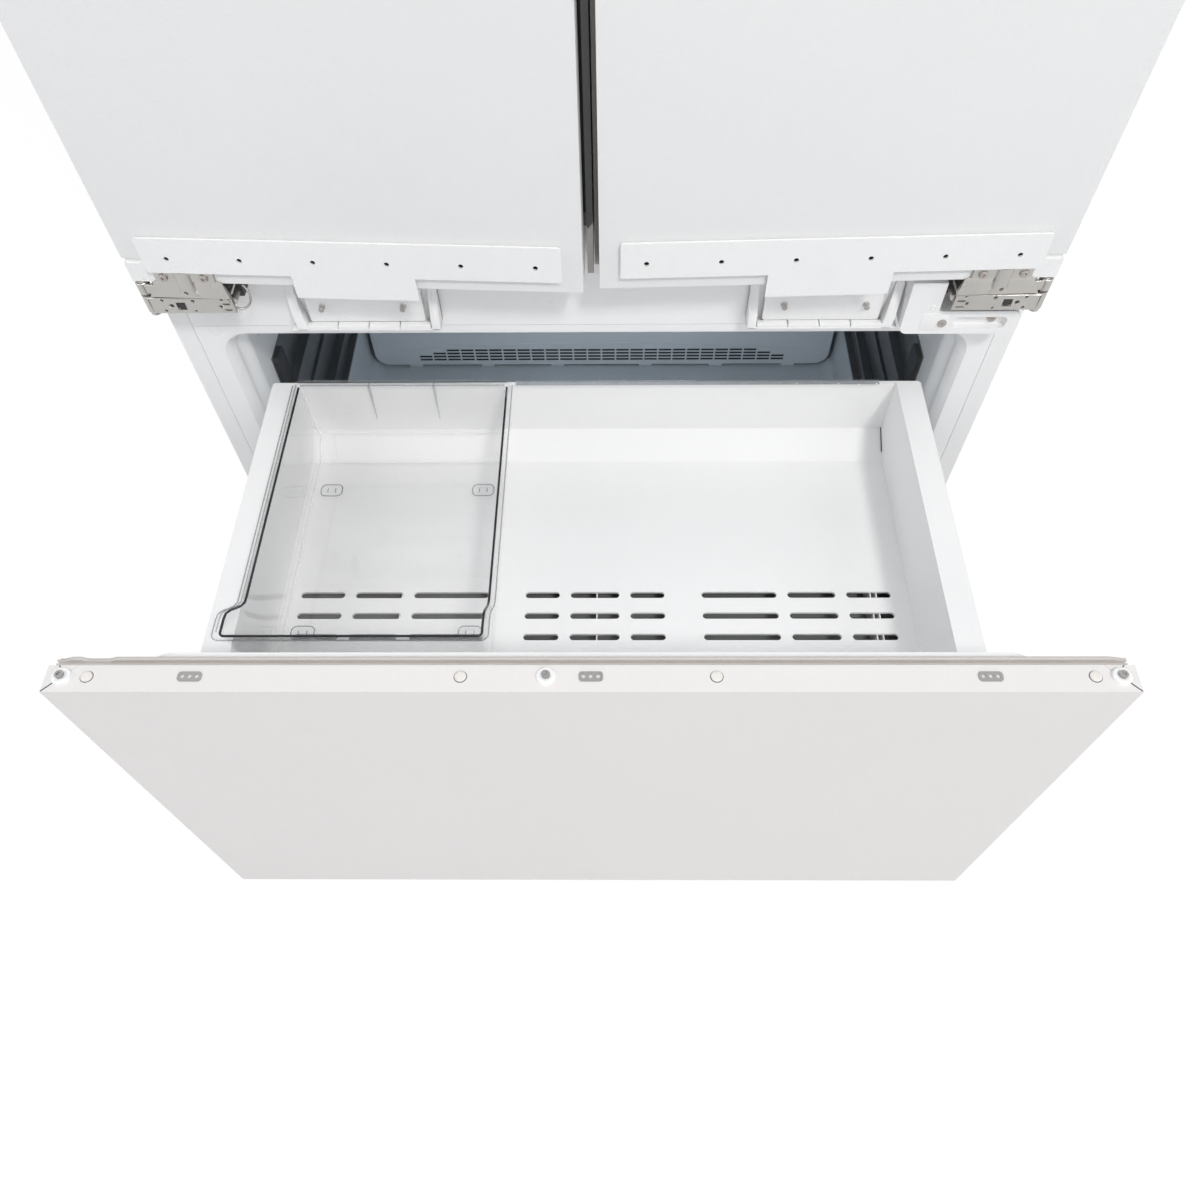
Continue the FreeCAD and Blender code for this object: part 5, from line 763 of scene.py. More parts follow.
def seal_ring(x_range, z_range, y_range, width, fold):
    """A bellows seal round a rectangle with mitred corners. The profile runs round s: height (1 - cos s) / 2
    of the depth, and half the width, square-shouldered, times 1 - fold (the sum of three bells). Each corner
    of the rectangle moves in by the profile's place across the width."""
    s = full_turn(160)
    height = (1 - np.cos(s)) / 2
    shoulder = np.sign(np.sin(s)) * np.abs(np.sin(s)) ** 0.25
    groove = sum(np.exp(-((height - place) / spread) ** 2) for place, spread in SEAL_GROOVES)
    across = width / 2 * (1 + shoulder * (1 - fold * groove))
    corner = np.array([[-1, -1], [1, -1], [1, 1], [-1, 1]], float)
    middle = np.array([np.mean(x_range), np.mean(z_range)])
    half = np.array([np.ptp(x_range), np.ptp(z_range)]) / 2
    place = middle + corner[:, None] * (half - across[:, None])
    depth = np.broadcast_to(y_range[0] + height * (y_range[1] - y_range[0]), place.shape[:2])
    return skin(np.stack([place[..., 0], depth, place[..., 1]], axis=-1), True)


SEAL_RAISE = 4 * MM
SEAL_SPREAD = 2 * MM
LIP_START = -440 * MM
LIP_END = 446 * MM
LIP_DIP = (-424 * MM, -397 * MM)
LIP_EASE = 4 * MM
LIP_LOW = 0.6 * MM
LIP_RISE = 3.6 * MM
LIP_MIDDLE = {"left": -11.5 * MM, "right": 9 * MM}
LIP_WIDTH = {"left": 6 * MM, "right": 11 * MM}
LIP_DEPTH = -30.5 * MM
LIP_SINK = 1.4 * MM
LIP_SETBACK = 2 * MM
LIP_SHEET = 3.4 * MM
DOOR_LIP_SHEET = 1.6 * MM


def seal_lip(high):
    """The seal's folded lip along the drawer's top: a rounded bar whose height is even, dips between two
    places near the left end and tapers off at both ends."""
    x = np.linspace(LIP_START, LIP_END, 240)
    dip = smooth_step((x - LIP_DIP[0]) / LIP_EASE) * smooth_step((LIP_DIP[1] - x) / LIP_EASE)
    ends = smooth_step((x - LIP_START) / (2 * LIP_EASE)) * smooth_step((LIP_END - x) / (4 * LIP_EASE))
    height = LIP_LOW + LIP_RISE * (1 - dip) * ends
    z = high.z + SEAL_RAISE - LIP_SINK + height / 2
    path = np.stack([x, np.full_like(x, high.y - LIP_SETBACK), z], axis=-1)
    return bar(path, Y_AXIS, Z_AXIS, LIP_SHEET, height, 0.45)


class FRIDGE_OT_seals(bpy.types.Operator):
    """Bellows seals of the drawer and both doors"""

    bl_idname = "fridge.seals"
    bl_label = "Seals"

    def execute(self, context):
        sizes, _ = settings()
        low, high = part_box("drawer_gasket")
        ring = seal_ring((low.x - SEAL_SPREAD, high.x + SEAL_SPREAD), (low.z, high.z + SEAL_RAISE),
                         (low.y, high.y), sizes.drawer_seal_width, sizes.seal_fold)
        add_piece("drawer_seal", [ring, seal_lip(high)], "seal_rubber", "drawer",
                  ["drawer_gasket"])
        for side, sign in SIDES.items():
            edges = sorted((sign * (DOOR_OUTER_EDGE - SEAL_INSET), sign * (DOOR_INNER_EDGE + SEAL_INSET)))
            ring = seal_ring(edges, (SEAL_LOW, SEAL_HIGH), (SEAL_FRONT, SEAL_BACK), sizes.seal_width,
                             sizes.seal_fold)
            add_piece(f"{side}_door_seal", swung([ring], side), "seal_rubber", f"{side}_door",
                      [f"{side}_door_gasket"])
            x = LIP_MIDDLE[side]
            run = straight_run((x, LIP_DEPTH, SEAL_LOW), (x, LIP_DEPTH, SEAL_HIGH))
            lip = bar(run, X_AXIS, Y_AXIS, LIP_WIDTH[side], DOOR_LIP_SHEET, 0.4)
            add_piece(f"{side}_door_lip", swung([lip], side), "seal_rubber", f"{side}_door")
        return {"FINISHED"}


CLEAR_BIN_RIM = np.array([[-350.5, -379], [-96, -15]]) * MM
CLEAR_BIN_TOP = np.array([[-342.5, -375], [-102, -23]]) * MM
CLEAR_BIN_FOOT = np.array([[-338, -368], [-106, -27]]) * MM
CLEAR_BIN_FLOOR = 428 * MM
CLEAR_BIN_RIM_TOP = 522.3 * MM
RAISE_START = -318 * MM
RAISE_RUN = 36 * MM
STEP_START = -60 * MM
STEP_RUN = 33 * MM
STEP_RISE = 19 * MM
BIN_RIBS = (-261.75 * MM, -186.75 * MM)
BIN_RIB_LENGTH = 50 * MM
BIN_RIB_LEAN = (1 * MM, 4 * MM)
BIN_RIB_WIDTHS = (3.2 * MM, 0.6 * MM)
BIN_RIB_DEPTH = 1.6 * MM
BIN_RIB_REACH = (-2 * MM, 8 * MM)
BIN_RIB_LIFT = 0.3 * MM
BIN_RIB_RADIUS = 0.9 * MM
BIN_RIB_POINTS = 12
BIN_FEET = [(x * MM, y * MM) for x in (-314.5, -134) for y in (-301, -103)]
BIN_FOOT_HALF = np.array([12.5, 8.5]) * MM
BIN_FOOT_CORNER = 6 * MM
BIN_FOOT_LINE = 0.6 * MM
FOOT_MARK_ASIDE = 4.5 * MM
FOOT_MARK_HALF = 3 * MM
BIN_STEP_LINE = -346.5 * MM
BIN_FLARE = 4.5 * MM
BIN_LIP_SHEET = 3 * MM
BIN_LINE = 0.7 * MM
BIN_FINE_LINE = 0.5 * MM
BIN_SIDE_POINTS = 50
BIN_FLOOR_LIFT = 2.6 * MM
BIN_EDGE_CORNER = 4 * MM
BIN_EDGE_INSET = 6 * MM
BIN_EDGE_SETBACK = 3 * MM
BIN_EDGE_RADIUS = 1.25 * MM
BIN_RIM_CORNER = 7 * MM
BIN_RIM_INSET = 9 * MM
BIN_RIM_SETBACK = 0.6 * MM
BIN_RIM_SINK = 1.2 * MM
BIN_STEP_LIFT = 0.2 * MM
BIN_STEP_RADIUS = 0.55 * MM
STEP_FOLD_SETBACK = 2 * MM
STEP_FOLD_INSET = 4 * MM
STEP_FOLD_RADIUS = 0.4 * MM
SIDE_FOLD_INSETS = np.array([3, -3]) * MM
SIDE_FOLD_ENDS = (8 * MM, 6 * MM)
SIDE_FOLD_LIFT = 2.8 * MM
SIDE_FOLD_RADIUS = 0.8 * MM
CORNER_FOLD_SETBACK = 5 * MM
CORNER_FOLD_LIFT = 3 * MM
CORNER_FOLD_LEAN = 4 * MM


def bin_rim_height(y, rise):
    """Height of the clear bin's rim: level, then a smooth rise towards the front."""
    return CLEAR_BIN_RIM_TOP + rise * smooth_step((RAISE_START - y) / RAISE_RUN)


def flared(plan):
    """A plan whose left side moves out by a smooth step where the rim rises."""
    middle = CLEAR_BIN_RIM[:, 0].mean()
    out = BIN_FLARE * smooth_step((RAISE_START - plan[..., 1]) / RAISE_RUN) * (plan[..., 0] < middle)
    return np.stack([plan[..., 0] - out, plan[..., 1]], axis=-1)


def bin_floor_height(y):
    """Height of the clear bin's floor: level, then a slope up at the back."""
    return CLEAR_BIN_FLOOR + STEP_RISE * np.clip((y - STEP_START) / STEP_RUN, 0, 1)


def clear_bin(wall, corner, rise):
    """The clear bin. A loop is a blend of three rounded rectangles, foot, top and rim, and its height a
    blend of the floor's and the rim's height at that place. The loops run over the outer floor, the outer
    wall, the rim, the inner wall and the inner floor."""
    boxes = np.stack([CLEAR_BIN_FOOT, CLEAR_BIN_TOP, CLEAR_BIN_RIM])
    sides = np.linspace(0, 1, 30)
    x, y = rounded_loop(boxes[:, 0], boxes[:, 1], np.array([0.8, 1.0, 1.5]) * corner, 8)
    # Points are added along each straight side, so that the rim's rise and the floor's slope can bend there.
    around = np.stack([x, y], axis=-1).reshape(3, 4, 8, 2)
    after = np.roll(around, -1, axis=1)[:, :, :1]
    straight = around[:, :, -1:] + sides[None, None, 1:-1, None] * (after - around[:, :, -1:])
    foot, top, rim = np.concatenate([around, straight], axis=2).reshape(3, -1, 2)
    top = flared(top)
    rim = flared(rim)
    middle = (CLEAR_BIN_FOOT[0] + CLEAR_BIN_FOOT[1]) / 2
    inner_foot = foot + np.sign(middle - foot) * wall
    inner_top = top + np.sign(middle - top) * wall * 0.2
    up = np.linspace(0, 1, 7)[:, None, None]
    share = np.linspace(0.06, 1, 24)[:, None, None]
    flat = np.zeros((3, 1, 1))
    plan = np.concatenate([
        middle + share * (foot - middle),
        foot + up[1:] * (top - foot),
        [rim, rim, 0.93 * rim + 0.07 * top],
        inner_top + up[:-1] * (inner_foot - inner_top),
        middle + share[::-1] * (inner_foot - middle),
    ])
    floor = bin_floor_height(plan[..., 1])
    lip = bin_rim_height(plan[..., 1], rise)
    climb = np.concatenate([0 * share, up[1:], flat + 1, 1 - up[:-1], 0 * share])[..., 0]
    rounded = BIN_LIP_SHEET * np.array([1.0, 0.2, 0.0])[:, None, None]
    drop = np.concatenate([0 * share, BIN_LIP_SHEET * up[1:], rounded, 0 * up[:-1], 0 * share])[..., 0]
    lift = np.concatenate([0 * share, 0 * up[1:], flat, wall * up[:-1], wall + 0 * share])[..., 0]
    height = floor + lift + climb * (lip - floor - lift) - drop
    return skin(np.concatenate([plan, height[..., None]], axis=-1))


def around_front(low, high, corner):
    """Plan of a line forward along the left side, round the front corners and back along the right side."""
    steps = 10
    x, y = rounded_loop(low[None], high[None], np.array([corner]), steps)
    front = np.stack([x[0], y[0]], axis=-1)[2 * steps:]
    run = np.linspace(high[1] - corner, low[1] + 1.2 * corner, BIN_SIDE_POINTS)
    left = np.stack([np.full_like(run, low[0]), run], axis=-1)
    right = np.stack([np.full_like(run, high[0]), run[::-1]], axis=-1)
    return flared(np.concatenate([left, front, right]))


def across_bin(box, inset, y, z):
    """A line across the bin, its ends inside a box's sides by an inset."""
    return straight_run((box[0, 0] + inset, y, z), (box[1, 0] - inset, y, z))


def on_rim(plan, rise, offset):
    """A plan lifted to the bin's rim, plus an offset."""
    return np.concatenate([plan, bin_rim_height(plan[:, 1:], rise) + offset], axis=-1)


class FRIDGE_OT_clear_bin(bpy.types.Operator):
    """Clear bin in the tray, with painted shade and highlights in lines along its edges, rim, feet and
    folds, and ribs
    """

    bl_idname = "fridge.clear_bin"
    bl_label = "Clear bin"

    def execute(self, context):
        sizes, _ = settings()
        shell = clear_bin(sizes.bin_wall, sizes.bin_corner, sizes.bin_raise)
        add_piece("clear_bin", [shell], "clear_plastic", "drawer", ["ice_bin"])
        # The bin's lines are painted: shade where light bends through its edges, and highlights along its
        # folds.
        lines = {
            "edge": ("smoked_edge", self.edge(sizes.bin_raise)),
            "rims": ("clear_edge", self.rims(sizes.bin_raise)),
            "ribs": ("soft_edge", self.ribs()),
            "folds": ("bright_edge", self.folds()),
        }
        for name, (look, surfaces) in lines.items():
            add_piece(f"clear_bin_{name}", surfaces, look, "drawer")
        return {"FINISHED"}

    def edge(self, rise):
        """Painted shade along the inside of the rim: a dark line for light bent through the plastic's edge.
        """
        front = on_rim(around_front(*CLEAR_BIN_TOP, BIN_EDGE_CORNER), rise, 0)
        y = CLEAR_BIN_RIM[1, 1] - BIN_EDGE_SETBACK
        back = across_bin(CLEAR_BIN_RIM, BIN_EDGE_INSET, y, CLEAR_BIN_RIM_TOP)
        return [tube(front, BIN_EDGE_RADIUS), tube(back, BIN_FINE_LINE)]

    def rims(self, rise):
        """Grey lines of painted shade along the rim and round the feet, where light bends through the
        plastic.
        """
        rim = around_front(*CLEAR_BIN_RIM, BIN_RIM_CORNER)
        left = rim[:BIN_SIDE_POINTS].copy()
        left[:, 0] += BIN_STEP_LINE - CLEAR_BIN_RIM[0, 0]
        lines = [
            tube(on_rim(rim, rise, -BIN_RIM_SINK), BIN_LINE),
            tube(on_rim(left, rise, BIN_STEP_LIFT), BIN_STEP_RADIUS),
        ]
        for y in (CLEAR_BIN_RIM[1, 1] - BIN_RIM_SETBACK, CLEAR_BIN_TOP[1, 1]):
            run = across_bin(CLEAR_BIN_RIM, BIN_RIM_INSET, y, CLEAR_BIN_RIM_TOP)
            lines.append(tube(run, BIN_LINE))
        z = CLEAR_BIN_FLOOR + BIN_FLOOR_LIFT
        for foot in np.array(BIN_FEET):
            x, y = rounded_loop(foot[None] - BIN_FOOT_HALF, foot[None] + BIN_FOOT_HALF, [BIN_FOOT_CORNER])
            plan = np.stack([x[0], y[0], np.full_like(x[0], z)], axis=-1)
            lines.append(tube(np.concatenate([plan, plan[:2]]), BIN_FOOT_LINE))
            for across in (foot[0] - FOOT_MARK_ASIDE, foot[0] + FOOT_MARK_ASIDE):
                start = (across, foot[1] - FOOT_MARK_HALF, z)
                run = straight_run(start, (across, foot[1] + FOOT_MARK_HALF, z))
                lines.append(tube(run, BIN_FINE_LINE))
        return lines

    def ribs(self):
        """Tapered ribs down the back wall and across the rim above them."""
        lines = []
        y = CLEAR_BIN_TOP[1, 1]
        top = CLEAR_BIN_RIM_TOP
        for x in BIN_RIBS:
            head = (x, y - BIN_RIB_LEAN[0], top)
            foot = (x, y - BIN_RIB_LEAN[1], top - BIN_RIB_LENGTH)
            down = straight_run(head, foot, BIN_RIB_POINTS)
            width = np.linspace(*BIN_RIB_WIDTHS, BIN_RIB_POINTS)
            lines.append(bar(down, X_AXIS, Y_AXIS, width, BIN_RIB_DEPTH, 0.3))
            over = straight_run(*((x, y + reach, top + BIN_RIB_LIFT) for reach in BIN_RIB_REACH))
            lines.append(tube(over, BIN_RIB_RADIUS))
        return lines

    def folds(self):
        """Painted highlights along the folds where the floor meets the sides and the slope, and up the back
        corners.
        """
        lines = []
        for y in (STEP_START, STEP_START + STEP_RUN - STEP_FOLD_SETBACK):
            run = across_bin(CLEAR_BIN_FOOT, STEP_FOLD_INSET, y, bin_floor_height(y) + BIN_FLOOR_LIFT)
            lines.append(tube(run, STEP_FOLD_RADIUS))
        sides = CLEAR_BIN_FOOT[:, 0] + SIDE_FOLD_INSETS
        for x in sides:
            start = CLEAR_BIN_FOOT[0, 1] + SIDE_FOLD_ENDS[0]
            y = np.linspace(start, CLEAR_BIN_FOOT[1, 1] - SIDE_FOLD_ENDS[1], 60)
            path = np.stack([np.full_like(y, x), y, bin_floor_height(y) + SIDE_FOLD_LIFT], axis=-1)
            lines.append(tube(path, SIDE_FOLD_RADIUS))
        y = CLEAR_BIN_FOOT[1, 1] - CORNER_FOLD_SETBACK
        for x, lean in zip(sides, (-CORNER_FOLD_LEAN, CORNER_FOLD_LEAN)):
            foot = (x, y, bin_floor_height(y) + CORNER_FOLD_LIFT)
            head = (x + lean, y + CORNER_FOLD_LEAN, CLEAR_BIN_RIM_TOP - CORNER_FOLD_LEAN)
            lines.append(tube(straight_run(foot, head), BIN_LINE))
        return lines


LINING_FRONT = -26 * MM
LINING_MOUTH_HALF = 400.5 * MM
LINING_WALL_HALF = 392 * MM
# The mouth's edge from the flange inwards: out from the step, and back from the flange.
MOUTH_FLARE = np.array([
    [18.0, 0.0], [13.0, 0.45], [8.8, 0.9], [5.5, 4.5], [3.0, 8.0], [1.2, 11.5], [0.0, 14.0]]) * MM
LINING_STEP = (-11 * MM, 9 * MM)
LINING_BACK = 470 * MM
LINING_FLOOR = 152 * MM
LINING_TOP = 600 * MM
LINING_THICK = 0.8 * MM
LINING_EDGE_CORNER = 0.5 * MM
BACK_FILLET = 8 * MM


def mouth_loops(fillet, corner, grow):
    """Loops of the lining from its flange to its back wall, each a rounded rectangle at a depth. The mouth's
    edge follows the flare, its sides step in by a smooth step and the back edge is a quarter circle. For the
    hidden side the loops are moved outwards by grow."""
    sine, cosine = quarter_turn(len(MOUTH_FLARE))
    run = np.linspace(0, 1, 12)
    step = LINING_MOUTH_HALF - LINING_WALL_HALF
    half = np.concatenate([
        LINING_MOUTH_HALF + MOUTH_FLARE[:, 0], LINING_MOUTH_HALF - step * smooth_step(run),
        LINING_WALL_HALF - BACK_FILLET * (1 - cosine)]) + grow
    spread = np.concatenate([fillet * (1 - sine), 0 * run, -BACK_FILLET * (1 - cosine)])
    depth = np.concatenate([
        LINING_FRONT + MOUTH_FLARE[:, 1], LINING_STEP[0] + run * (LINING_STEP[1] - LINING_STEP[0]),
        LINING_BACK - BACK_FILLET * (1 - sine)]) + grow
    low = np.stack([-half, LINING_FLOOR - spread - grow], axis=-1)
    high = np.stack([half, LINING_TOP + spread + grow], axis=-1)
    x, z = rounded_loop(low, high, np.maximum(corner + spread, 0.3 * corner) + grow)
    return np.stack([x, np.broadcast_to(depth[:, None], x.shape), z], axis=-1)


class FRIDGE_OT_freezer_lining(bpy.types.Operator):
    """Formed freezer lining with a flared, stepped mouth"""

    bl_idname = "fridge.freezer_lining"
    bl_label = "Freezer lining"

    def execute(self, context):
        sizes, _ = settings()
        low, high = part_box("freezer_liner")
        inside = mouth_loops(sizes.mouth_fillet, sizes.mouth_corner, 0.0)
        outside = mouth_loops(sizes.mouth_fillet, sizes.mouth_corner, LINING_THICK)
        ends = np.array([[low.x, low.z]] * 2), np.array([[high.x, high.z]] * 2)
        x, z = rounded_loop(*ends, np.full(2, LINING_EDGE_CORNER))
        depth = np.array([LINING_FRONT + LINING_THICK, LINING_FRONT])[:, None]
        flange = np.stack([x, np.broadcast_to(depth, x.shape), z], axis=-1)
        # The loops go round the sheet: flange, inside to the back wall, and outside back to the flange.
        points, faces = skin(np.concatenate([flange, inside, outside[::-1]]), True)
        count = x.shape[1]
        back = len(flange) + len(inside) - 1
        between = np.arange(back * count, (back + 1) * count)
        faces = np.concatenate([
            np.delete(faces, between, axis=0), lid_faces(back * count, count),
            lid_faces((back + 1) * count, count)[:, ::-1]])
        add_piece("freezer_lining", [(points, faces)], "freezer_lining", "cabinet",
                  ["freezer_liner"])
        return {"FINISHED"}


GRILLE_HALF_WIDTH = 312 * MM
GRILLE_COLUMNS = 26
GRILLE_ROWS = 4
GRILLE_START = 310 * MM
GRILLE_RISE = 9 * MM
GRILLE_PITCH = np.array([620 / GRILLE_COLUMNS, 6.8]) * MM
GRILLE_OPENING = np.array([620 / GRILLE_COLUMNS - 2.8, 4.0]) * MM
COVER_TABS = [sign * place * MM for sign in (-1, 1) for place in (75, 195, 318)]
TAB_HALF = 11 * MM
TAB_SETBACK = 1.2 * MM
TAB_DROP = 1.5 * MM
TAB_SIZE = (3 * MM, 6.5 * MM)
SLOT_SHADE_LIFT = 2.1 * MM
SLOT_SHADE_SETBACK = 0.7 * MM
SLOT_SHADE_THICKNESS = 0.6 * MM
SHADE_SHEET_BOW = 6 * MM
SHADE_SHEET_SETBACK = 9 * MM
SHADE_SHEET_RISE = 23 * MM
SHADE_SHEET_HEIGHT = 42 * MM
SHADE_SHEET_THICKNESS = 1.6 * MM
ARCH_HALF = 340 * MM
ARCH_HEIGHT = 47 * MM
ARCH_DROP = 14 * MM
ARCH_SETBACK = 0.5 * MM
ARCH_RADIUS = 1.4 * MM


class FRIDGE_OT_freezer_back(bpy.types.Operator):
    """Painted shade as black sheets behind the return grille, and the snap tabs and raised arch of the
    freezer's back cover
    """

    bl_idname = "fridge.freezer_back"
    bl_label = "Freezer back"

    def execute(self, context):
        low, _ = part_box("duct_cover")
        # Painted shade: a black bowed sheet behind the grille and a black panel just behind each opening,
        # where the duct is only in shade.
        x = np.linspace(-GRILLE_HALF_WIDTH, GRILLE_HALF_WIDTH, 40)
        bow = SHADE_SHEET_BOW * (1 - (x / GRILLE_HALF_WIDTH) ** 2)
        path = np.stack([x, low.y + SHADE_SHEET_SETBACK + bow, np.full_like(x, low.z + SHADE_SHEET_RISE)], axis=-1)
        grille_shade = [bar(path, Y_AXIS, Z_AXIS, SHADE_SHEET_THICKNESS, SHADE_SHEET_HEIGHT, 0.4)]
        half = GRILLE_OPENING[0] / 2
        for column in range(GRILLE_COLUMNS):
            middle = (column + 0.5) * GRILLE_PITCH[0] - GRILLE_START
            for row in range(min(GRILLE_ROWS, 2 + column, 1 + GRILLE_COLUMNS - column)):
                z = low.z + GRILLE_RISE + row * GRILLE_PITCH[1] + SLOT_SHADE_LIFT
                grille_shade.append(level_bar((middle - half, middle + half), low.y + SLOT_SHADE_SETBACK, z,
                                      SLOT_SHADE_THICKNESS, GRILLE_OPENING[1], 0.2))
        add_piece("grille_painted_shade", grille_shade, "black_plastic", "cabinet")
        tabs = [level_bar((x - TAB_HALF, x + TAB_HALF), low.y + TAB_SETBACK, low.z - TAB_DROP, *TAB_SIZE,
                          0.3) for x in COVER_TABS]
        x = np.linspace(-ARCH_HALF, ARCH_HALF, 80)
        arch = low.z + ARCH_HEIGHT - ARCH_DROP * (x / ARCH_HALF) ** 2
        path = np.stack([x, np.full_like(x, low.y + ARCH_SETBACK), arch], axis=-1)
        bead = tube(path, ARCH_RADIUS)
        add_piece("panel_mouldings", tabs + [bead], "freezer_panel", "cabinet")
        return {"FINISHED"}


WASHER_PLACES = (-436 * MM, -35 * MM, 436 * MM)
PLUG_PLACES = (-415 * MM, -105.5 * MM, 105.5 * MM, 415 * MM)
WASHER_HEIGHT = 3 * MM
FLANGE_LINE = 14 * MM
# Profiles of turned pieces are pairs of radius and rise.
WASHER = np.array([
    (8.2, 0.0), (8.2, 1.6), (7.7, 2.5), (6.8, 3.0), (5.0, 3.0), (4.4, 2.7), (1.0, 2.7)]) * MM
PLUG = np.array([(4.9, 0.0), (4.9, 0.9), (4.5, 1.2), (2.5, 1.35), (0.3, 1.4)]) * MM
PLUG_SEAM = np.array([(4.6, 0.0), (5.5, 0.0), (5.5, 0.14), (4.6, 0.14)]) * MM
FLANGE_SCREW = dict(radius=3.1 * MM, height=2.0 * MM, recess=1.6 * MM, depth=0.9 * MM)
SEAM_ENDS = (438 * MM, 441 * MM)
SEAM_WIDTH = 1.1 * MM
SEAM_HEIGHT = 0.24 * MM
SEAM_MARGIN = 0.6 * MM
SEAM_BACK_MARGIN = 0.3 * MM
MITRE_STOP = 4 * MM
SEAM_START = 7 * MM
FLANGE_SCREW_SINK = 0.2 * MM


class FRIDGE_OT_flange_fixings(bpy.types.Operator):
    """Washers, screws, plugs and mitre seams on the drawer's top flange"""

    bl_idname = "fridge.flange_fixings"
    bl_label = "Flange fixings"

    def execute(self, context):
        low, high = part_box("drawer_skin")
        y = low.y + FLANGE_LINE
        top = high.z
        washers = [turned(WASHER, (x, y, top), Z_AXIS, 40) for x in WASHER_PLACES]
        add_piece("flange_washers", washers, "trim_plastic", "drawer", ["drawer_caps"])
        plugs = [turned(PLUG, (x, y, top), Z_AXIS, 40) for x in PLUG_PLACES]
        add_piece("flange_plugs", plugs, "cream_plastic", "drawer")
        crown = top + WASHER_HEIGHT - FLANGE_SCREW_SINK
        screws = [screw_head((x, y, crown), Z_AXIS, **FLANGE_SCREW) for x in WASHER_PLACES]
        add_piece("flange_screws", screws, "screw_steel", "drawer")
        seams = [turned(PLUG_SEAM, (x, y, top), Z_AXIS, 40) for x in PLUG_PLACES]
        for sign in (-1, 1):
            corner = (sign * (high.x - SEAM_MARGIN), low.y + SEAM_MARGIN, top)
            inner = (sign * (WASHER_PLACES[-1] + MITRE_STOP), y - MITRE_STOP, top)
            upper = (sign * SEAM_ENDS[0], y + SEAM_START, top)
            back = (sign * SEAM_ENDS[1], high.y - SEAM_BACK_MARGIN, top)
            mitre = np.array([1, sign, 0]) / np.sqrt(2)
            for start, stop, across in ((corner, inner, mitre), (upper, back, X_AXIS)):
                seams.append(bar(straight_run(start, stop), across, Z_AXIS, SEAM_WIDTH, SEAM_HEIGHT, 0.4))
        add_piece("flange_seams", seams, "seam_shadow", "drawer")
        return {"FINISHED"}


UPRIGHT_SUM = 2759 * MM
LEAF_LOW = 684.2 * MM
LEAF_SHOULDER = 699.5 * MM
LEAF_TAB_LOW = 702.5 * MM
LEAF_HIGH = 713.2 * MM
TAB_EDGES = (-424 * MM, -366 * MM)
SHOULDER_EDGES = (-429 * MM, -361 * MM)
FOOT_EDGES = (-437 * MM, -357 * MM)
TONGUE_MIDDLE = -396.5 * MM
TONGUE_HALF = 7.5 * MM
LEAF_HOLE = (-399 * MM, 690 * MM)
LEAF_SCREWS = (-415.8 * MM, -376.2 * MM)
LEAF_SCREW_HEIGHT = 707 * MM
LEAF_SCREW_PROUD = 3.4 * MM
TAB_PROUD = 3.6 * MM
TAB_STEP = 0.8 * MM
BODY_PROUD = 0.5 * MM
BODY_LEAN = 4.5 * MM
TONGUE_PROUD = 4.4 * MM
TONGUE_CROWN = 0.9 * MM
TONGUE_FLARE = 9 * MM
LEAF_HOLE_RADIUS = 2.1 * MM
LEAF_HOLE_DEPTH = 3 * MM
LEAF_HOLE_EASE = 0.6 * MM
LEAF_BACK = 0.2 * MM
ARM_EDGES = (-442.5 * MM, -358.5 * MM)
ARM_HEIGHTS = (662.2 * MM, 681.9 * MM)
ARM_FACE = -62 * MM
ARM_PROUD = 1.8 * MM
ARM_RECESS = 1.5 * MM
ARM_RECESS_EASE = 0.4 * MM
ARM_BEAD = 0.9 * MM
ARM_BEAD_SPREAD = 0.8 * MM
ARM_EDGE_DROP = 0.6 * MM
ARM_EDGE_EASE = 0.8 * MM
ARM_BACK = 0.2 * MM
ARM_SQUARE = (-411.8 * MM, 671.3 * MM, 4.6 * MM)
ARM_ROUNDS = np.array([
    (-421.6, 671.8, 2.4), (-429.0, 678.2, 1.7), (-398.6, 677.4, 1.8), (-429.3, 665.6, 1.6),
    (-399.4, 664.9, 1.5), (-372.6, 670.4, 1.9), (-369.5, 678.6, 1.4)]) * MM
ARM_SLOTS = np.array([(-366.2, 673.4), (-366.2, 666.0)]) * MM
ARM_SLOT_HALF = 3.0 * MM
ARM_SLOT_RADIUS = 1.1 * MM
# Black discs and panels of painted shade at the bottoms of the hinge arm's holes.
HOLE_SHADE_MARGIN = 0.25 * MM
HOLE_SHADE_GAP = 0.2 * MM
HOLE_SHADE_THICKNESS = 0.3 * MM
HOLE_SHADE_EASE = 0.1 * MM
HOLE_SHADE_DISC = np.array([(1.0, 0.0), (1.0, 0.2 * MM), (0.1, 0.25 * MM)])
LEAF_SCREW = dict(radius=4.4 * MM, height=2.4 * MM, recess=1.9 * MM, depth=1.2 * MM)
BARREL = np.array([
    (6.5, 0.1), (6.5, 12.2), (5.9, 12.9), (4.2, 12.9), (4.0, 14.2), (3.2, 14.6), (0.4, 14.6)]) * MM
BARREL_SINK = 0.2 * MM
STRAP = np.array([(-444, -59.5, 690.5), (-431, -61, 690.5)]) * MM
STRAP_SIZE = (3 * MM, 11.5 * MM)
# A black block of painted shade in the dark gap beside the inner end of each hinge arm.
GAP_SHADE_BLOCK = np.array([(-354.6, -47, 682), (-354.6, -26.2, 682)]) * MM
GAP_SHADE_SIZE = (5.6 * MM, 24 * MM)
WIRE_RADIUS = 1.15 * MM
WIRE_TURN = np.linspace(-3.5, 1.1, 48)
WIRE_LOOP = MM * np.stack([
    -353 + 9.3 * np.cos(WIRE_TURN), -54 + 3 * WIRE_TURN, 676 + 12 * np.sin(WIRE_TURN)], axis=-1)


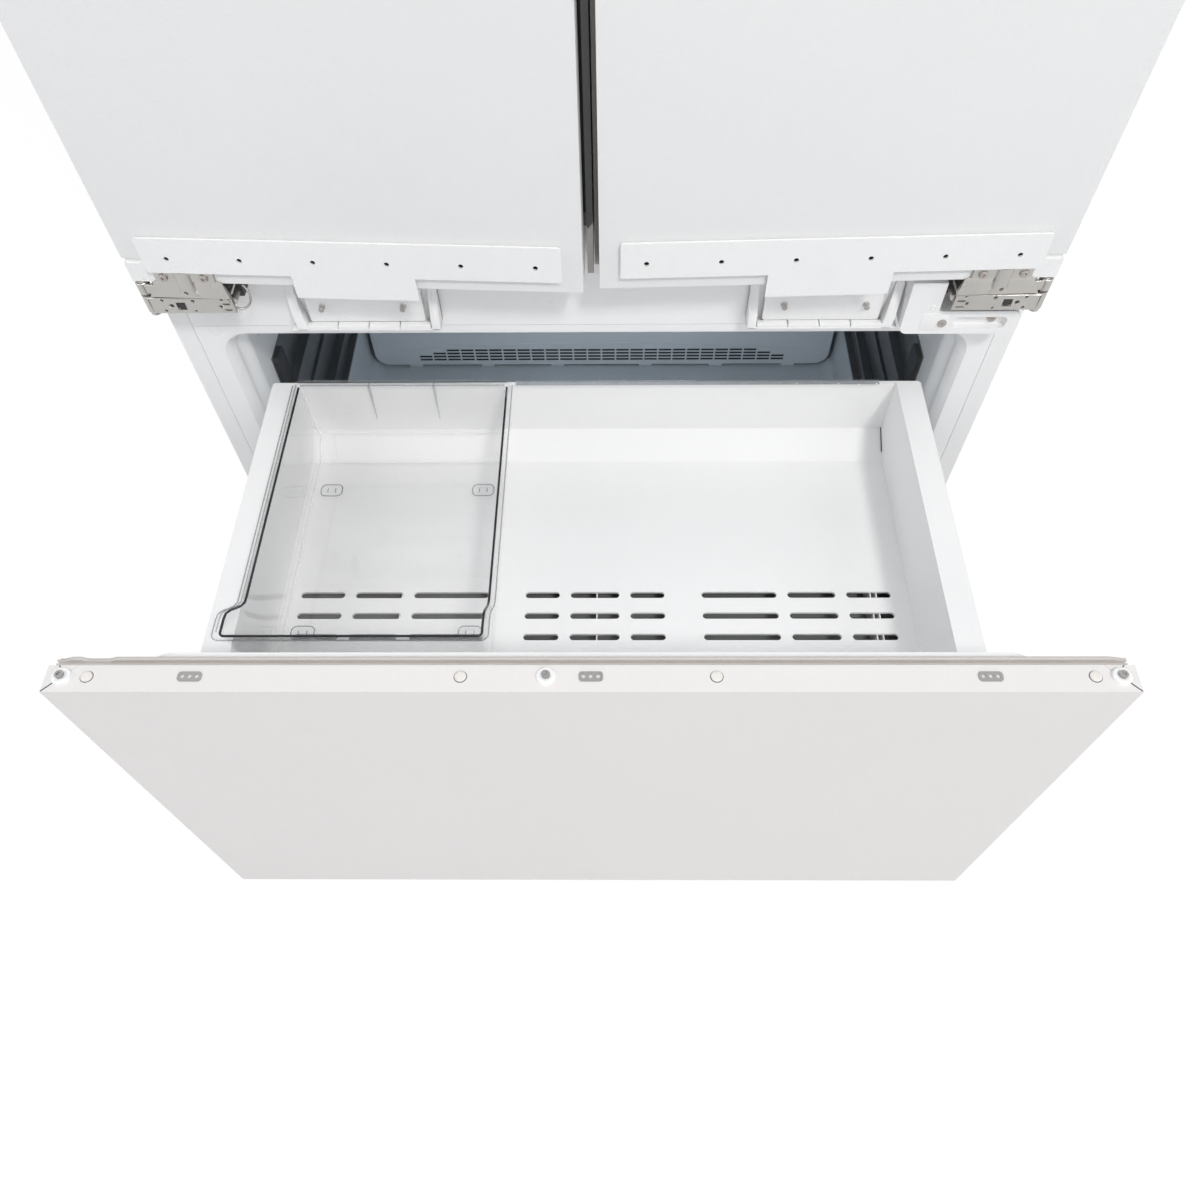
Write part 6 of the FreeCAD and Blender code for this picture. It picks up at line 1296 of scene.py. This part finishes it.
def leaf_edge(z, index):
    """Left or right edge of the leaf: the tabs' width at the top, out at the shoulder, and wider towards the
    foot."""
    rise = (z - LEAF_LOW) / (LEAF_SHOULDER - LEAF_LOW)
    low = FOOT_EDGES[index] + (SHOULDER_EDGES[index] - FOOT_EDGES[index]) * rise
    share = smooth_step((z - LEAF_SHOULDER) / (LEAF_TAB_LOW - LEAF_SHOULDER))
    return low + share * (TAB_EDGES[index] - low)


def pressing():
    """The pressed hinge leaf of the left door, shut, as a sheet over x and height. The two tabs stand proud
    of the door; below their step the body starts close to the door and leans out towards its foot; between
    the tabs a round-backed tongue runs down and flares into the body, with a hole at its foot."""
    u = np.linspace(0, 1, 150)[:, None]
    z = LEAF_LOW + np.linspace(0, 1, 90)[None, :] * (LEAF_HIGH - LEAF_LOW)
    left = leaf_edge(z, 0)
    x = left + u * (leaf_edge(z, 1) - left)
    below = smooth_step((LEAF_TAB_LOW - z) / TAB_STEP)
    lean = np.clip((LEAF_TAB_LOW - z) / (LEAF_TAB_LOW - LEAF_LOW), 0, 1)
    body = TAB_PROUD * (1 - below) + below * (BODY_PROUD + BODY_LEAN * lean ** 0.7)
    half = TONGUE_HALF * (1 + 0.5 * smooth_step((LEAF_LOW + TONGUE_FLARE - z) / TONGUE_FLARE))
    aside = (x - TONGUE_MIDDLE) / half
    ridge = TONGUE_PROUD + TONGUE_CROWN * np.sqrt(np.clip(1 - aside ** 2, 0, 1))
    inside = smooth_step((1 - np.abs(aside)) / 0.2 + 0.5)
    hole = LEAF_HOLE_RADIUS - np.hypot(x - LEAF_HOLE[0], z - LEAF_HOLE[1])
    sunk = LEAF_HOLE_DEPTH * smooth_step(hole / LEAF_HOLE_EASE)
    proud = body + inside * np.maximum(ridge - body, 0) - sunk
    z = np.broadcast_to(z, x.shape)
    front = np.stack([x, DOOR_FACE - proud, z], axis=-1)
    back = np.stack([x, np.full_like(x, DOOR_FACE - LEAF_BACK), z], axis=-1)
    return skin(np.concatenate([front, back[:, ::-1]], axis=1))


def arm_face():
    """The face of the left hinge arm as a sheet over x and height: it stands proud, with a bead along its
    top edge, less a recess wherever the distance to a circle, the square or a slot is below zero."""
    x, z = np.meshgrid(np.linspace(*ARM_EDGES, 230), np.linspace(*ARM_HEIGHTS, 70), indexing="ij")
    holes = [np.maximum(np.abs(x - ARM_SQUARE[0]), np.abs(z - ARM_SQUARE[1])) - ARM_SQUARE[2]]
    holes += [np.hypot(x - a, z - b) - r for a, b, r in ARM_ROUNDS]
    for a, b in ARM_SLOTS:
        beyond = np.maximum(np.abs(x - a) - ARM_SLOT_HALF, 0)
        holes.append(np.hypot(beyond, z - b) - ARM_SLOT_RADIUS)
    recess = smooth_step(-np.minimum.reduce(holes) / ARM_RECESS_EASE)
    bead = ARM_BEAD * np.exp(-((z - ARM_HEIGHTS[1] + ARM_BEAD) / ARM_BEAD_SPREAD) ** 2)
    rim = np.minimum.reduce([x - ARM_EDGES[0], ARM_EDGES[1] - x, z - ARM_HEIGHTS[0], ARM_HEIGHTS[1] - z])
    drop = ARM_EDGE_DROP * (1 - smooth_step(rim / ARM_EDGE_EASE))
    proud = ARM_PROUD - drop + bead - ARM_RECESS * recess
    front = np.stack([x, ARM_FACE - proud, z], axis=-1)
    back = np.stack([x, np.full_like(x, ARM_FACE + ARM_BACK), z], axis=-1)
    return skin(np.concatenate([front, back[:, [-1, 0]]], axis=1))


def arm_hole_shade():
    """Painted shade in the recesses of the arm's face: a black panel in the square and the slots and a black
    disc in each circle, where the holes are only in shade."""
    floor = ARM_FACE - ARM_PROUD + ARM_RECESS
    hole_shade = [turned(HOLE_SHADE_DISC * (r - HOLE_SHADE_GAP, 1.0), (a, floor, b), -Y_AXIS, 24)
             for a, b, r in ARM_ROUNDS]
    boxes = [(*ARM_SQUARE, ARM_SQUARE[2])]
    boxes += [(a, b, ARM_SLOT_HALF + ARM_SLOT_RADIUS, ARM_SLOT_RADIUS) for a, b in ARM_SLOTS]
    for a, b, wide, high in boxes:
        wide -= HOLE_SHADE_MARGIN
        high -= HOLE_SHADE_MARGIN
        hole_shade.append(panel((a - wide, a + wide), (b - high, b + high), floor - HOLE_SHADE_MARGIN, HOLE_SHADE_THICKNESS,
                           0.6 * high, HOLE_SHADE_EASE))
    return hole_shade


def at_corners(surfaces, side):
    """Surfaces made for the left door's lower corner, moved to a side's lower and upper corner."""
    low = [(points * np.array([-SIDES[side], 1, 1]), faces) for points, faces in surfaces]
    raised = np.array([0, 0, UPRIGHT_SUM])
    return low + [(points * np.array([1, 1, -1]) + raised, faces) for points, faces in low]


class FRIDGE_OT_hinges(bpy.types.Operator):
    """Pressed hinge leaves with knuckles and screws, faces of the hinge arms, spring wires and black blocks
    of painted shade
    """

    bl_idname = "fridge.hinges"
    bl_label = "Hinges"

    def execute(self, context):
        gap_shade = bar(straight_run(*GAP_SHADE_BLOCK, 4), X_AXIS, Z_AXIS, *GAP_SHADE_SIZE, 0.2)
        cabinet = {
            "arm_faces": ([arm_face()], "hinge_steel", "steel"),
            "arm_hole_shade": (arm_hole_shade(), "black_plastic", "black_plastic"),
            "hinge_gap_shade": ([gap_shade], "black_plastic", "black_plastic"),
        }
        for name, (surfaces, look, slot) in cabinet.items():
            everywhere = [surface for side in SIDES for surface in at_corners(surfaces, side)]
            add_piece(name, everywhere, look, "cabinet")
        wires = at_corners([tube(WIRE_LOOP, WIRE_RADIUS, 12)], "left")
        add_piece("spring_wires", wires, "screw_steel", "cabinet")
        knuckle = turned(BARREL, (-PIN_X, PIN_Y, LEAF_LOW - BARREL_SINK), Z_AXIS)
        strap = bar(straight_run(*STRAP, 6), Y_AXIS, Z_AXIS, *STRAP_SIZE, 0.3)
        leaf = [pressing(), knuckle, strap]
        y = DOOR_FACE - LEAF_SCREW_PROUD
        screws = [screw_head((x, y, LEAF_SCREW_HEIGHT), -Y_AXIS, **LEAF_SCREW) for x in LEAF_SCREWS]
        for side in SIDES:
            add_piece(f"{side}_hinge_pressings", swung(at_corners(leaf, side), side), "hinge_steel",
                      f"{side}_door", [f"{side}_hinge_leaves"])
            add_piece(f"{side}_hinge_screws", swung(at_corners(screws, side), side), "screw_steel",
                      f"{side}_door")
        return {"FINISHED"}


COVER_SCREW = dict(radius=4.7 * MM, height=2.4 * MM, recess=1.75 * MM, depth=0.95 * MM)
COVER_SCREW_HEIGHT = 638 * MM
RAISED_SCREW = (411 * MM, -46 * MM, COVER_SCREW_HEIGHT)
FACE_SCREW_X = 358.3 * MM
COVER_BOSS = np.array([(3.0, -0.2), (3.0, 0.5), (2.5, 0.9), (1.2, 0.9), (0.9, 0.5), (0.1, 0.5)]) * MM
COVER_BOSS_X = 344.5 * MM
COVER_BOSS_HEIGHTS = (657 * MM, 646 * MM)
COVER_PLATE_X = (336 * MM, 364 * MM)
COVER_PLATE_TOP = 650 * MM
COVER_PLATE_RISE = 5 * MM
COVER_PLATE_PROUD = 0.7 * MM
COVER_PLATE = dict(depth=1.2 * MM, corner=4 * MM, ease=0.5 * MM)


class FRIDGE_OT_cover_fittings(bpy.types.Operator):
    """Screws and moulded bosses on the hinge cover"""

    bl_idname = "fridge.cover_fittings"
    bl_label = "Cover fittings"

    def execute(self, context):
        low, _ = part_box("hinge_cover")
        face_screw = (FACE_SCREW_X, low.y, COVER_SCREW_HEIGHT)
        screws = [screw_head(place, -Y_AXIS, **COVER_SCREW) for place in (RAISED_SCREW, face_screw)]
        add_piece("cover_screws", screws, "screw_steel", "cabinet")
        mouldings = [turned(COVER_BOSS, (COVER_BOSS_X, low.y, z), -Y_AXIS, 28) for z in COVER_BOSS_HEIGHTS]
        heights = (low.z + COVER_PLATE_RISE, COVER_PLATE_TOP)
        mouldings.append(panel(COVER_PLATE_X, heights, low.y - COVER_PLATE_PROUD, **COVER_PLATE))
        add_piece("cover_mouldings", mouldings, "trim_plastic", "cabinet")
        return {"FINISHED"}


CHEEK_TOP = 6 * MM


def cheek(low_x, high_x, low_width, high_width, low, high):
    """A wedge beside a pocket. Its outline in depth and height stands upright at the front, then leans back
    to the top; across its width, which changes with height, it is drawn in a little at both faces."""
    front = low.y
    back = high.y
    share = np.array([0.0, 0.0, 0.28, 0.64, 1.0, 1.0])
    top = back - CHEEK_TOP
    y = np.array([back, front, front, 0.5 * front + 0.5 * top, top, back])
    z = low.z + share * (high.z - low.z)
    across = np.array([0.0, 0.07, 0.93, 1.0])[:, None]
    draw = np.array([0.05, 0.0, 0.0, 0.05])[:, None]
    x = low_x + share * (high_x - low_x) + across * (low_width + share * (high_width - low_width))
    return skin(np.stack([x, y + draw * (y.mean() - y), z + draw * (z.mean() - z)], axis=-1))


STUD_PLACES = [sign * place * MM for sign in (-1, 1) for place in (196.5, 280.5)]
STUD_HEIGHT = 649.5 * MM
STUD = np.array([(3.4, 0.0), (3.4, 1.2), (2.8, 1.6), (2.8, 6.6), (2.2, 7.4), (0.2, 7.6)]) * MM
# The left pocket; the right one is its mirror image.
POCKET_INNER = -160.5 * MM
POCKET_FACE = -38.5 * MM
POCKET_PLATE_X = (-297 * MM, -176 * MM)
POCKET_CHEEK_X = -310.5 * MM
CHEEK_WIDTH = 9 * MM
CHEEK_FOOT_WIDTH = 11 * MM
SILL_RISE = 6 * MM
SILL_EDGES = np.linspace(-300, -169.5, 5) * MM
SILL_SLIT = 1.3 * MM
SILL_Y = -42.2 * MM
SILL_DEPTH = 7.2 * MM
SILL_HEIGHT = 4.8 * MM
STUD_SINK = 0.2 * MM
POCKET_FLOOR = 2 * MM
POCKET_PLATE_MARGINS = (0.5 * MM, 1 * MM)
POCKET_PLATE = dict(depth=2 * MM, corner=3 * MM, ease=0.5 * MM)
POCKET_BACK = dict(depth=4 * MM, corner=1 * MM, ease=0.4 * MM)


class FRIDGE_OT_pockets(bpy.types.Operator):
    """Pockets on the rail: wedge cheeks, a divided sill, and a plate on the sill round the studs"""

    bl_idname = "fridge.pockets"
    bl_label = "Rail pockets"

    def execute(self, context):
        low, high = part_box("rail_pockets")
        edges = (low.x, POCKET_INNER)
        sill = low.z + SILL_RISE
        inner_cheek = POCKET_INNER - CHEEK_WIDTH
        heights = (sill - POCKET_PLATE_MARGINS[0], high.z - POCKET_PLATE_MARGINS[1])
        surfaces = [
            panel(POCKET_PLATE_X, heights, POCKET_FACE, **POCKET_PLATE),
            panel(edges, (low.z, high.z), high.y - POCKET_BACK["depth"], **POCKET_BACK),
            level_bar(edges, (low.y + high.y) / 2, low.z + POCKET_FLOOR / 2, high.y - low.y, POCKET_FLOOR,
                      0.3),
            cheek(POCKET_CHEEK_X, low.x, CHEEK_FOOT_WIDTH, CHEEK_WIDTH, low, high),
            cheek(inner_cheek, inner_cheek, CHEEK_WIDTH, CHEEK_WIDTH, low, high),
        ]
        for start, stop in zip(SILL_EDGES[:-1], SILL_EDGES[1:]):
            surfaces.append(level_bar((start, stop - SILL_SLIT), SILL_Y, sill - SILL_HEIGHT / 2, SILL_DEPTH,
                                      SILL_HEIGHT, 0.18))
        both = [(points * np.array([-sign, 1, 1]), faces)
                for sign in SIDES.values() for points, faces in surfaces]
        y = POCKET_FACE + STUD_SINK
        studs = [turned(STUD, (x, y, STUD_HEIGHT), -Y_AXIS) for x in STUD_PLACES]
        add_piece("pocket_studs", studs, "hinge_steel", "cabinet")
        add_piece("pocket_mouldings", both, "trim_plastic", "cabinet", ["rail_pockets"])
        return {"FINISHED"}


BRACKET_HOLES = np.linspace(-403.5, -51.5, 6) * MM
BRACKET_HOLE_HEIGHT = 729.5 * MM
BRACKET_HOLE_SHADE = np.array([(2.45, 0.05), (2.45, 3.2), (1.7, 3.2), (1.5, 0.6), (0.2, 0.4)]) * MM


class FRIDGE_OT_bracket_hole_shade(bpy.types.Operator):
    """Painted shade in the panel brackets' holes: a black cup at the bottom of each"""

    bl_idname = "fridge.bracket_wells"
    bl_label = "Bracket wells"

    def execute(self, context):
        for side, sign in SIDES.items():
            # Black cups of painted shade in the bracket's holes.
            hole_shade = [turned(BRACKET_HOLE_SHADE, (-sign * x, DOOR_FACE, BRACKET_HOLE_HEIGHT), -Y_AXIS, 20)
                     for x in BRACKET_HOLES]
            add_piece(f"{side}_bracket_hole_shade", swung(hole_shade, side), "black_plastic", f"{side}_door")
        return {"FINISHED"}


CRISPER = dict(corner=18 * MM, wall=3 * MM, lip=4 * MM, draft=8 * MM, fillet=10 * MM)
CRISPER_EDGES = (402 * MM, 5 * MM)
CRISPER_GRIP_HALF = 80 * MM
CRISPER_SETBACK = 8 * MM
CRISPER_GRIP_SETBACK = 5 * MM
CRISPER_GRIP_DROP = 9 * MM
CRISPER_GRIP_SIZE = (9 * MM, 17 * MM)
DOOR_BIN = dict(corner=16 * MM, wall=3 * MM, lip=3 * MM, draft=5 * MM, fillet=9 * MM)
DOOR_BIN_EDGES = (386 * MM, 90 * MM)
DOOR_BIN_Y = (-8 * MM, 80 * MM)
DOOR_BIN_HEIGHT = 120 * MM
DOOR_BIN_RISES = (0, 388 * MM, 808 * MM)
PLAIN_TUB = dict(wall=3 * MM, lip=4 * MM, draft=5 * MM, fillet=8 * MM)
# The name, solid, finish, body and corner radius of each plain tub.
PLAIN_TUBS = (
    ("basket_tub", "lower_basket", "tray_white", "drawer", 20 * MM),
    ("drain_tub", "drain_pan", "black_plastic", "cabinet", 14 * MM),
)


class FRIDGE_OT_tubs(bpy.types.Operator):
    """Drawn tubs: crispers, door bins, the basket under the tray and the drain pan"""

    bl_idname = "fridge.tubs"
    bl_label = "Tubs"

    def execute(self, context):
        low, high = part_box("crisper_bins")
        crispers = []
        for sign in (-1, 1):
            left, right = sorted(sign * edge for edge in CRISPER_EDGES)
            front = low.y + CRISPER_SETBACK
            crispers.append(tub((left, front), (right, high.y), low.z, high.z, **CRISPER))
            middle = (left + right) / 2
            grip = (middle - CRISPER_GRIP_HALF, middle + CRISPER_GRIP_HALF)
            crispers.append(level_bar(grip, low.y + CRISPER_GRIP_SETBACK, high.z - CRISPER_GRIP_DROP,
                                      *CRISPER_GRIP_SIZE, 0.45, 24))
        add_piece("crisper_tubs", crispers, "clear_plastic", "cabinet", ["crisper_bins"])
        for side, sign in SIDES.items():
            low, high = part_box(f"{side}_door_bins")
            left, right = sorted(sign * edge for edge in DOOR_BIN_EDGES)
            bins = [tub((left, DOOR_BIN_Y[0]), (right, DOOR_BIN_Y[1]), low.z + rise,
                        low.z + rise + DOOR_BIN_HEIGHT, **DOOR_BIN) for rise in DOOR_BIN_RISES]
            add_piece(f"{side}_door_tubs", swung(bins, side), "clear_plastic", f"{side}_door",
                      [f"{side}_door_bins"])
        for name, node, look, body, corner in PLAIN_TUBS:
            low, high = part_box(node)
            shape = tub(low[:2], high[:2], low.z, high.z, corner, **PLAIN_TUB)
            add_piece(name, [shape], look, body, [node])
        return {"FINISHED"}


BLADE_HALF = 1 * MM


def fan_blades(radius, hub, chord, pitch, count):
    """Cambered blades about +Z. A section at radius r is a thin bowed lens across the chord, turned by a
    pitch that eases off towards the tip and swept back by an angle that grows with r."""
    reach = np.sqrt(radius ** 2 - (0.65 * chord) ** 2)
    r = np.linspace(0.8 * hub, reach, 10)[None, :, None]
    s = full_turn(20)[None, None, :]
    share = np.clip((r - hub) / (reach - hub), 0, 1)
    along = chord / 2 * np.cos(s) * (1 + 0.25 * share)
    lens = BLADE_HALF * np.sin(s) + 0.09 * chord * np.sin(s) ** 2
    twist = pitch * (hub / r) ** 0.35
    aside = along * np.cos(twist) - lens * np.sin(twist)
    rise = along * np.sin(twist) + lens * np.cos(twist)
    angle = 2 * np.pi * np.arange(count)[:, None, None] / count + 0.35 * share ** 1.5
    x = r * np.cos(angle) - aside * np.sin(angle)
    y = r * np.sin(angle) + aside * np.cos(angle)
    return np.stack([x, y, np.broadcast_to(rise, x.shape)], axis=-1)


FAN_HUB = 14 * MM
FAN_CHORD = 26 * MM
FAN_PITCH = np.radians(38)
FAN_CAP = np.array([(14.0, -9.0), (14.0, 6.0), (12.6, 8.0), (8.4, 9.0), (1.4, 9.0)]) * MM
FAN_SHAFT = np.array([(2.5, -21.0), (2.5, -8.0)]) * MM
# Each fan's radius, and its own x, y and z axes in the frame.
FANS = {
    "evaporator_fan": (55 * MM, (X_AXIS, Z_AXIS, -Y_AXIS)),
    "condenser_fan": (78 * MM, (Z_AXIS, Y_AXIS, -X_AXIS)),
}


class FRIDGE_OT_fans(bpy.types.Operator):
    """Moulded fans with cambered blades"""

    bl_idname = "fridge.fans"
    bl_label = "Fans"

    def execute(self, context):
        sizes, _ = settings()
        for name, (radius, axes) in FANS.items():
            centre = np.array(JOINTS[f"{name}_spin"]["pos_m"])
            blades = fan_blades(radius, FAN_HUB, FAN_CHORD, FAN_PITCH, sizes.fan_blades)
            surfaces = [skin(blade) for blade in blades @ np.array(axes) + centre]
            surfaces += [turned(profile, centre, axes[2]) for profile in (FAN_CAP, FAN_SHAFT)]
            add_piece(f"{name}_moulding", surfaces, "fan_plastic", name, [name])
        return {"FINISHED"}


TRAY_RIBS = [place * MM for place in (-278, -215, 2.2, 305.5, 312.1)]
SLOTS_FRONT = -330 * MM
SLOTS_BACK = -225 * MM
STRIP_X = (-92 * MM, 326 * MM)
STRIP_SETBACK = 8 * MM
STRIP_LIFT = 3.2 * MM
STRIP_SIZE = (7 * MM, 1.4 * MM)
UNDER_SLOTS_SHADE_X = (-340 * MM, 340 * MM)
UNDER_SLOTS_SHADE_DROP = 25.5 * MM
UNDER_SLOTS_SHADE_THICKNESS = 1.2 * MM
RIB_WIDTH = 1.3 * MM
RIB_HEIGHT = 25 * MM
CORNER_GAP = np.array([[346.7, -14, 452], [346.7, -15.6, 444], [346.7, -44, 430.2]]) * MM
CORNER_GAP_RADIUS = 0.8 * MM


class FRIDGE_OT_tray_trim(bpy.types.Operator):
    """Clear strip on the tray's rim, stiffeners and a grey sheet of painted shade under its slots, and the
    gap at a corner
    """

    bl_idname = "fridge.tray_trim"
    bl_label = "Tray trim"

    def execute(self, context):
        _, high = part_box("tray_walls")
        strip = level_bar(STRIP_X, high.y - STRIP_SETBACK, high.z + STRIP_LIFT, *STRIP_SIZE, 0.4, 12)
        add_piece("rim_strip", [strip], "clear_edge", "drawer")
        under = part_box("tray_floor")[0].z
        z = under - RIB_HEIGHT / 2
        ribs = [bar(straight_run((x, SLOTS_FRONT, z), (x, SLOTS_BACK, z)), X_AXIS, Z_AXIS, RIB_WIDTH,
                    RIB_HEIGHT, 0.3) for x in TRAY_RIBS]
        add_piece("tray_stiffeners", ribs, "tray_white", "drawer")
        # A grey sheet of painted shade under the slots sets how dark they look.
        under_slots_shade = level_bar(UNDER_SLOTS_SHADE_X, (SLOTS_FRONT + SLOTS_BACK) / 2, under - UNDER_SLOTS_SHADE_DROP, SLOTS_BACK - SLOTS_FRONT,
                        UNDER_SLOTS_SHADE_THICKNESS, 0.4)
        add_piece("tray_under_slots_shade", [under_slots_shade], "pan_grey", "drawer")
        gap = tube(CORNER_GAP, CORNER_GAP_RADIUS)
        add_piece("tray_corner_gap", [gap], "seam_shadow", "drawer")
        return {"FINISHED"}


FLOOR_HALF = 6.0
FLOOR_GREY = (0.68, 0.68, 0.68, 1.0)
FLOOR_GLOW = 1.06
FLOOR_SHARE = 0.9
SKY_SHARE = 0.46
SKY_COLOUR = (0.93, 0.97, 1.03, 1.0)
WARM = (1.0, 0.985, 0.962)
COOL = (0.86, 0.94, 1.0)
# Each lamp's name, place, target, side in metres, power in watts and colour.
LAMPS = (
    ("key_softbox", (1.7, -3.4, 5.4), (0.0, -0.1, 0.5), 0.8, 134.0, WARM),
    ("top_softbox", (0.1, -0.45, 5.0), (0.0, -0.3, 0.5), 1.2, 12.5, WARM),
    ("front_softbox", (0.3, -2.4, 1.4), (0.0, -0.1, 0.7), 1.0, 9.0, WARM),
    ("left_softbox", (-1.6, -0.6, 1.7), (0.0, -0.1, 0.5), 0.8, 5.0, WARM),
    ("right_softbox", (1.6, -0.6, 1.7), (0.0, -0.1, 0.5), 0.8, 3.6, WARM),
    ("freezer_lamp", (0.0, 0.18, 0.596), (0.0, 0.26, 0.2), 0.25, 0.85, COOL),
)
# The lens as fitted to the photograph, in its pixels, and the eye's place.
PICTURE = 1200.0
FOCUS = 956.15
LENS_SHIFT = (4.095, -1.201)
SENSOR = 36.0
PITCH, YAW, ROLL = np.radians([56.979, 1.103, -0.979])
EYE = (0.0212, -0.8296, 1.3111)


class FRIDGE_OT_stage(bpy.types.Operator):
    """Pale floor, studio light and camera"""

    bl_idname = "fridge.stage"
    bl_label = "Stage"

    def execute(self, context):
        scene = context.scene
        scene.view_settings.view_transform = "Standard"
        self.floor(scene)
        self.light(scene)
        self.camera(scene)
        return {"FINISHED"}

    def seen(self, finish):
        """1 on the rays that show the background, straight, in a gloss or through glass."""
        path = finish.node("ShaderNodeLightPath")
        shown = path["Is Camera Ray"] + path["Is Glossy Ray"] + path["Is Transmission Ray"]
        return finish.node("ShaderNodeClamp", None, {"Value": shown})

    def floor(self, scene):
        """A square of paper that glows on the rays that show it."""
        mesh = bpy.data.meshes.new("studio_floor")
        corners = [(-FLOOR_HALF, -FLOOR_HALF, 0), (FLOOR_HALF, -FLOOR_HALF, 0), (FLOOR_HALF, FLOOR_HALF, 0),
                   (-FLOOR_HALF, FLOOR_HALF, 0)]
        mesh.from_pydata(corners, [], [[0, 1, 2, 3]])
        floor = bpy.data.objects.new("studio_floor", mesh)
        scene.collection.objects.link(floor)
        paper = Finish(bpy.data.materials.new("studio_paper"))
        diffuse = paper.node("ShaderNodeBsdfDiffuse", None, {"Color": FLOOR_GREY})
        glow = paper.node("ShaderNodeEmission", None, {"Color": WHITE, "Strength": FLOOR_GLOW})
        mesh.materials.append(paper.mixed(FLOOR_SHARE * self.seen(paper), diffuse, glow))

    def light(self, scene):
        """A sky that is weaker on the rays that light the part, and the lamps."""
        scene.world = bpy.data.worlds.new("studio")
        sky = Finish(scene.world)
        seen = self.seen(sky)
        strength = SKY_SHARE + (1 - SKY_SHARE) * seen
        colour = sky.blend(seen, SKY_COLOUR, WHITE)
        back = sky.node("ShaderNodeBackground", None, {"Color": colour, "Strength": strength})
        sky.node("ShaderNodeOutputWorld", None, {"Surface": back})
        for lamp in LAMPS:
            self.softbox(scene, *lamp)

    def softbox(self, scene, name, place, target, size, power, colour):
        """A square lamp at a place that shines at a target."""
        lamp = bpy.data.lights.new(name, "AREA")
        lamp.shape = "SQUARE"
        lamp.size = size
        lamp.energy = power
        lamp.color = colour
        box = bpy.data.objects.new(name, lamp)
        box.location = place
        aim = np.array(target) - np.array(place)
        back = -aim / np.linalg.norm(aim)
        right = np.cross(Z_AXIS, back)
        right /= np.linalg.norm(right)
        turn = Matrix(np.stack([right, np.cross(back, right), back], axis=1).tolist())
        box.rotation_euler = turn.to_euler()
        scene.collection.objects.link(box)

    def camera(self, scene):
        """A level view turned by yaw, pitch and roll."""
        level = np.array([X_AXIS, -Z_AXIS, Y_AXIS])
        leaned = plane_turn(ROLL, 0, 1) @ plane_turn(PITCH, 1, 2) @ level
        right, down, ahead = leaned @ plane_turn(-YAW, 0, 1)
        lens = bpy.data.cameras.new("studio_camera")
        lens.sensor_width = SENSOR
        lens.lens = SENSOR * FOCUS / PICTURE
        lens.shift_x = -LENS_SHIFT[0] / PICTURE
        lens.shift_y = LENS_SHIFT[1] / PICTURE
        lens.clip_start = 0.01
        camera = bpy.data.objects.new("studio_camera", lens)
        camera.location = EYE
        camera.rotation_euler = Matrix(np.stack([right, -down, -ahead], axis=1).tolist()).to_euler()
        scene.collection.objects.link(camera)
        scene.camera = camera


OPERATORS = (
    FRIDGE_OT_finishes,
    FRIDGE_OT_seals,
    FRIDGE_OT_clear_bin,
    FRIDGE_OT_freezer_lining,
    FRIDGE_OT_freezer_back,
    FRIDGE_OT_flange_fixings,
    FRIDGE_OT_hinges,
    FRIDGE_OT_cover_fittings,
    FRIDGE_OT_pockets,
    FRIDGE_OT_bracket_hole_shade,
    FRIDGE_OT_tubs,
    FRIDGE_OT_fans,
    FRIDGE_OT_tray_trim,
    FRIDGE_OT_stage,
)


class FRIDGE_PT_dressing(bpy.types.Panel):
    """Sizes, colours and steps of the dressing"""

    bl_idname = "FRIDGE_PT_dressing"
    bl_label = "Refrigerator"
    bl_space_type = "VIEW_3D"
    bl_region_type = "UI"
    bl_category = "Refrigerator"

    def draw(self, context):
        for group in settings():
            for name in group.__annotations__:
                self.layout.prop(group, name)
        for operator in OPERATORS:
            self.layout.operator(operator.bl_idname)


CLASSES = (FridgeColours, FridgeSizes, *OPERATORS, FRIDGE_PT_dressing)


def register():
    for cls in CLASSES:
        bpy.utils.register_class(cls)
    bpy.types.Scene.fridge_sizes = PointerProperty(type=FridgeSizes)
    bpy.types.Scene.fridge_colours = PointerProperty(type=FridgeColours)


def unregister():
    del bpy.types.Scene.fridge_colours
    del bpy.types.Scene.fridge_sizes
    for cls in reversed(CLASSES):
        bpy.utils.unregister_class(cls)


def main():
    register()
    for operator in OPERATORS:
        group, step = operator.bl_idname.split(".")
        getattr(getattr(bpy.ops, group), step)()


if __name__ == "__main__":
    main()
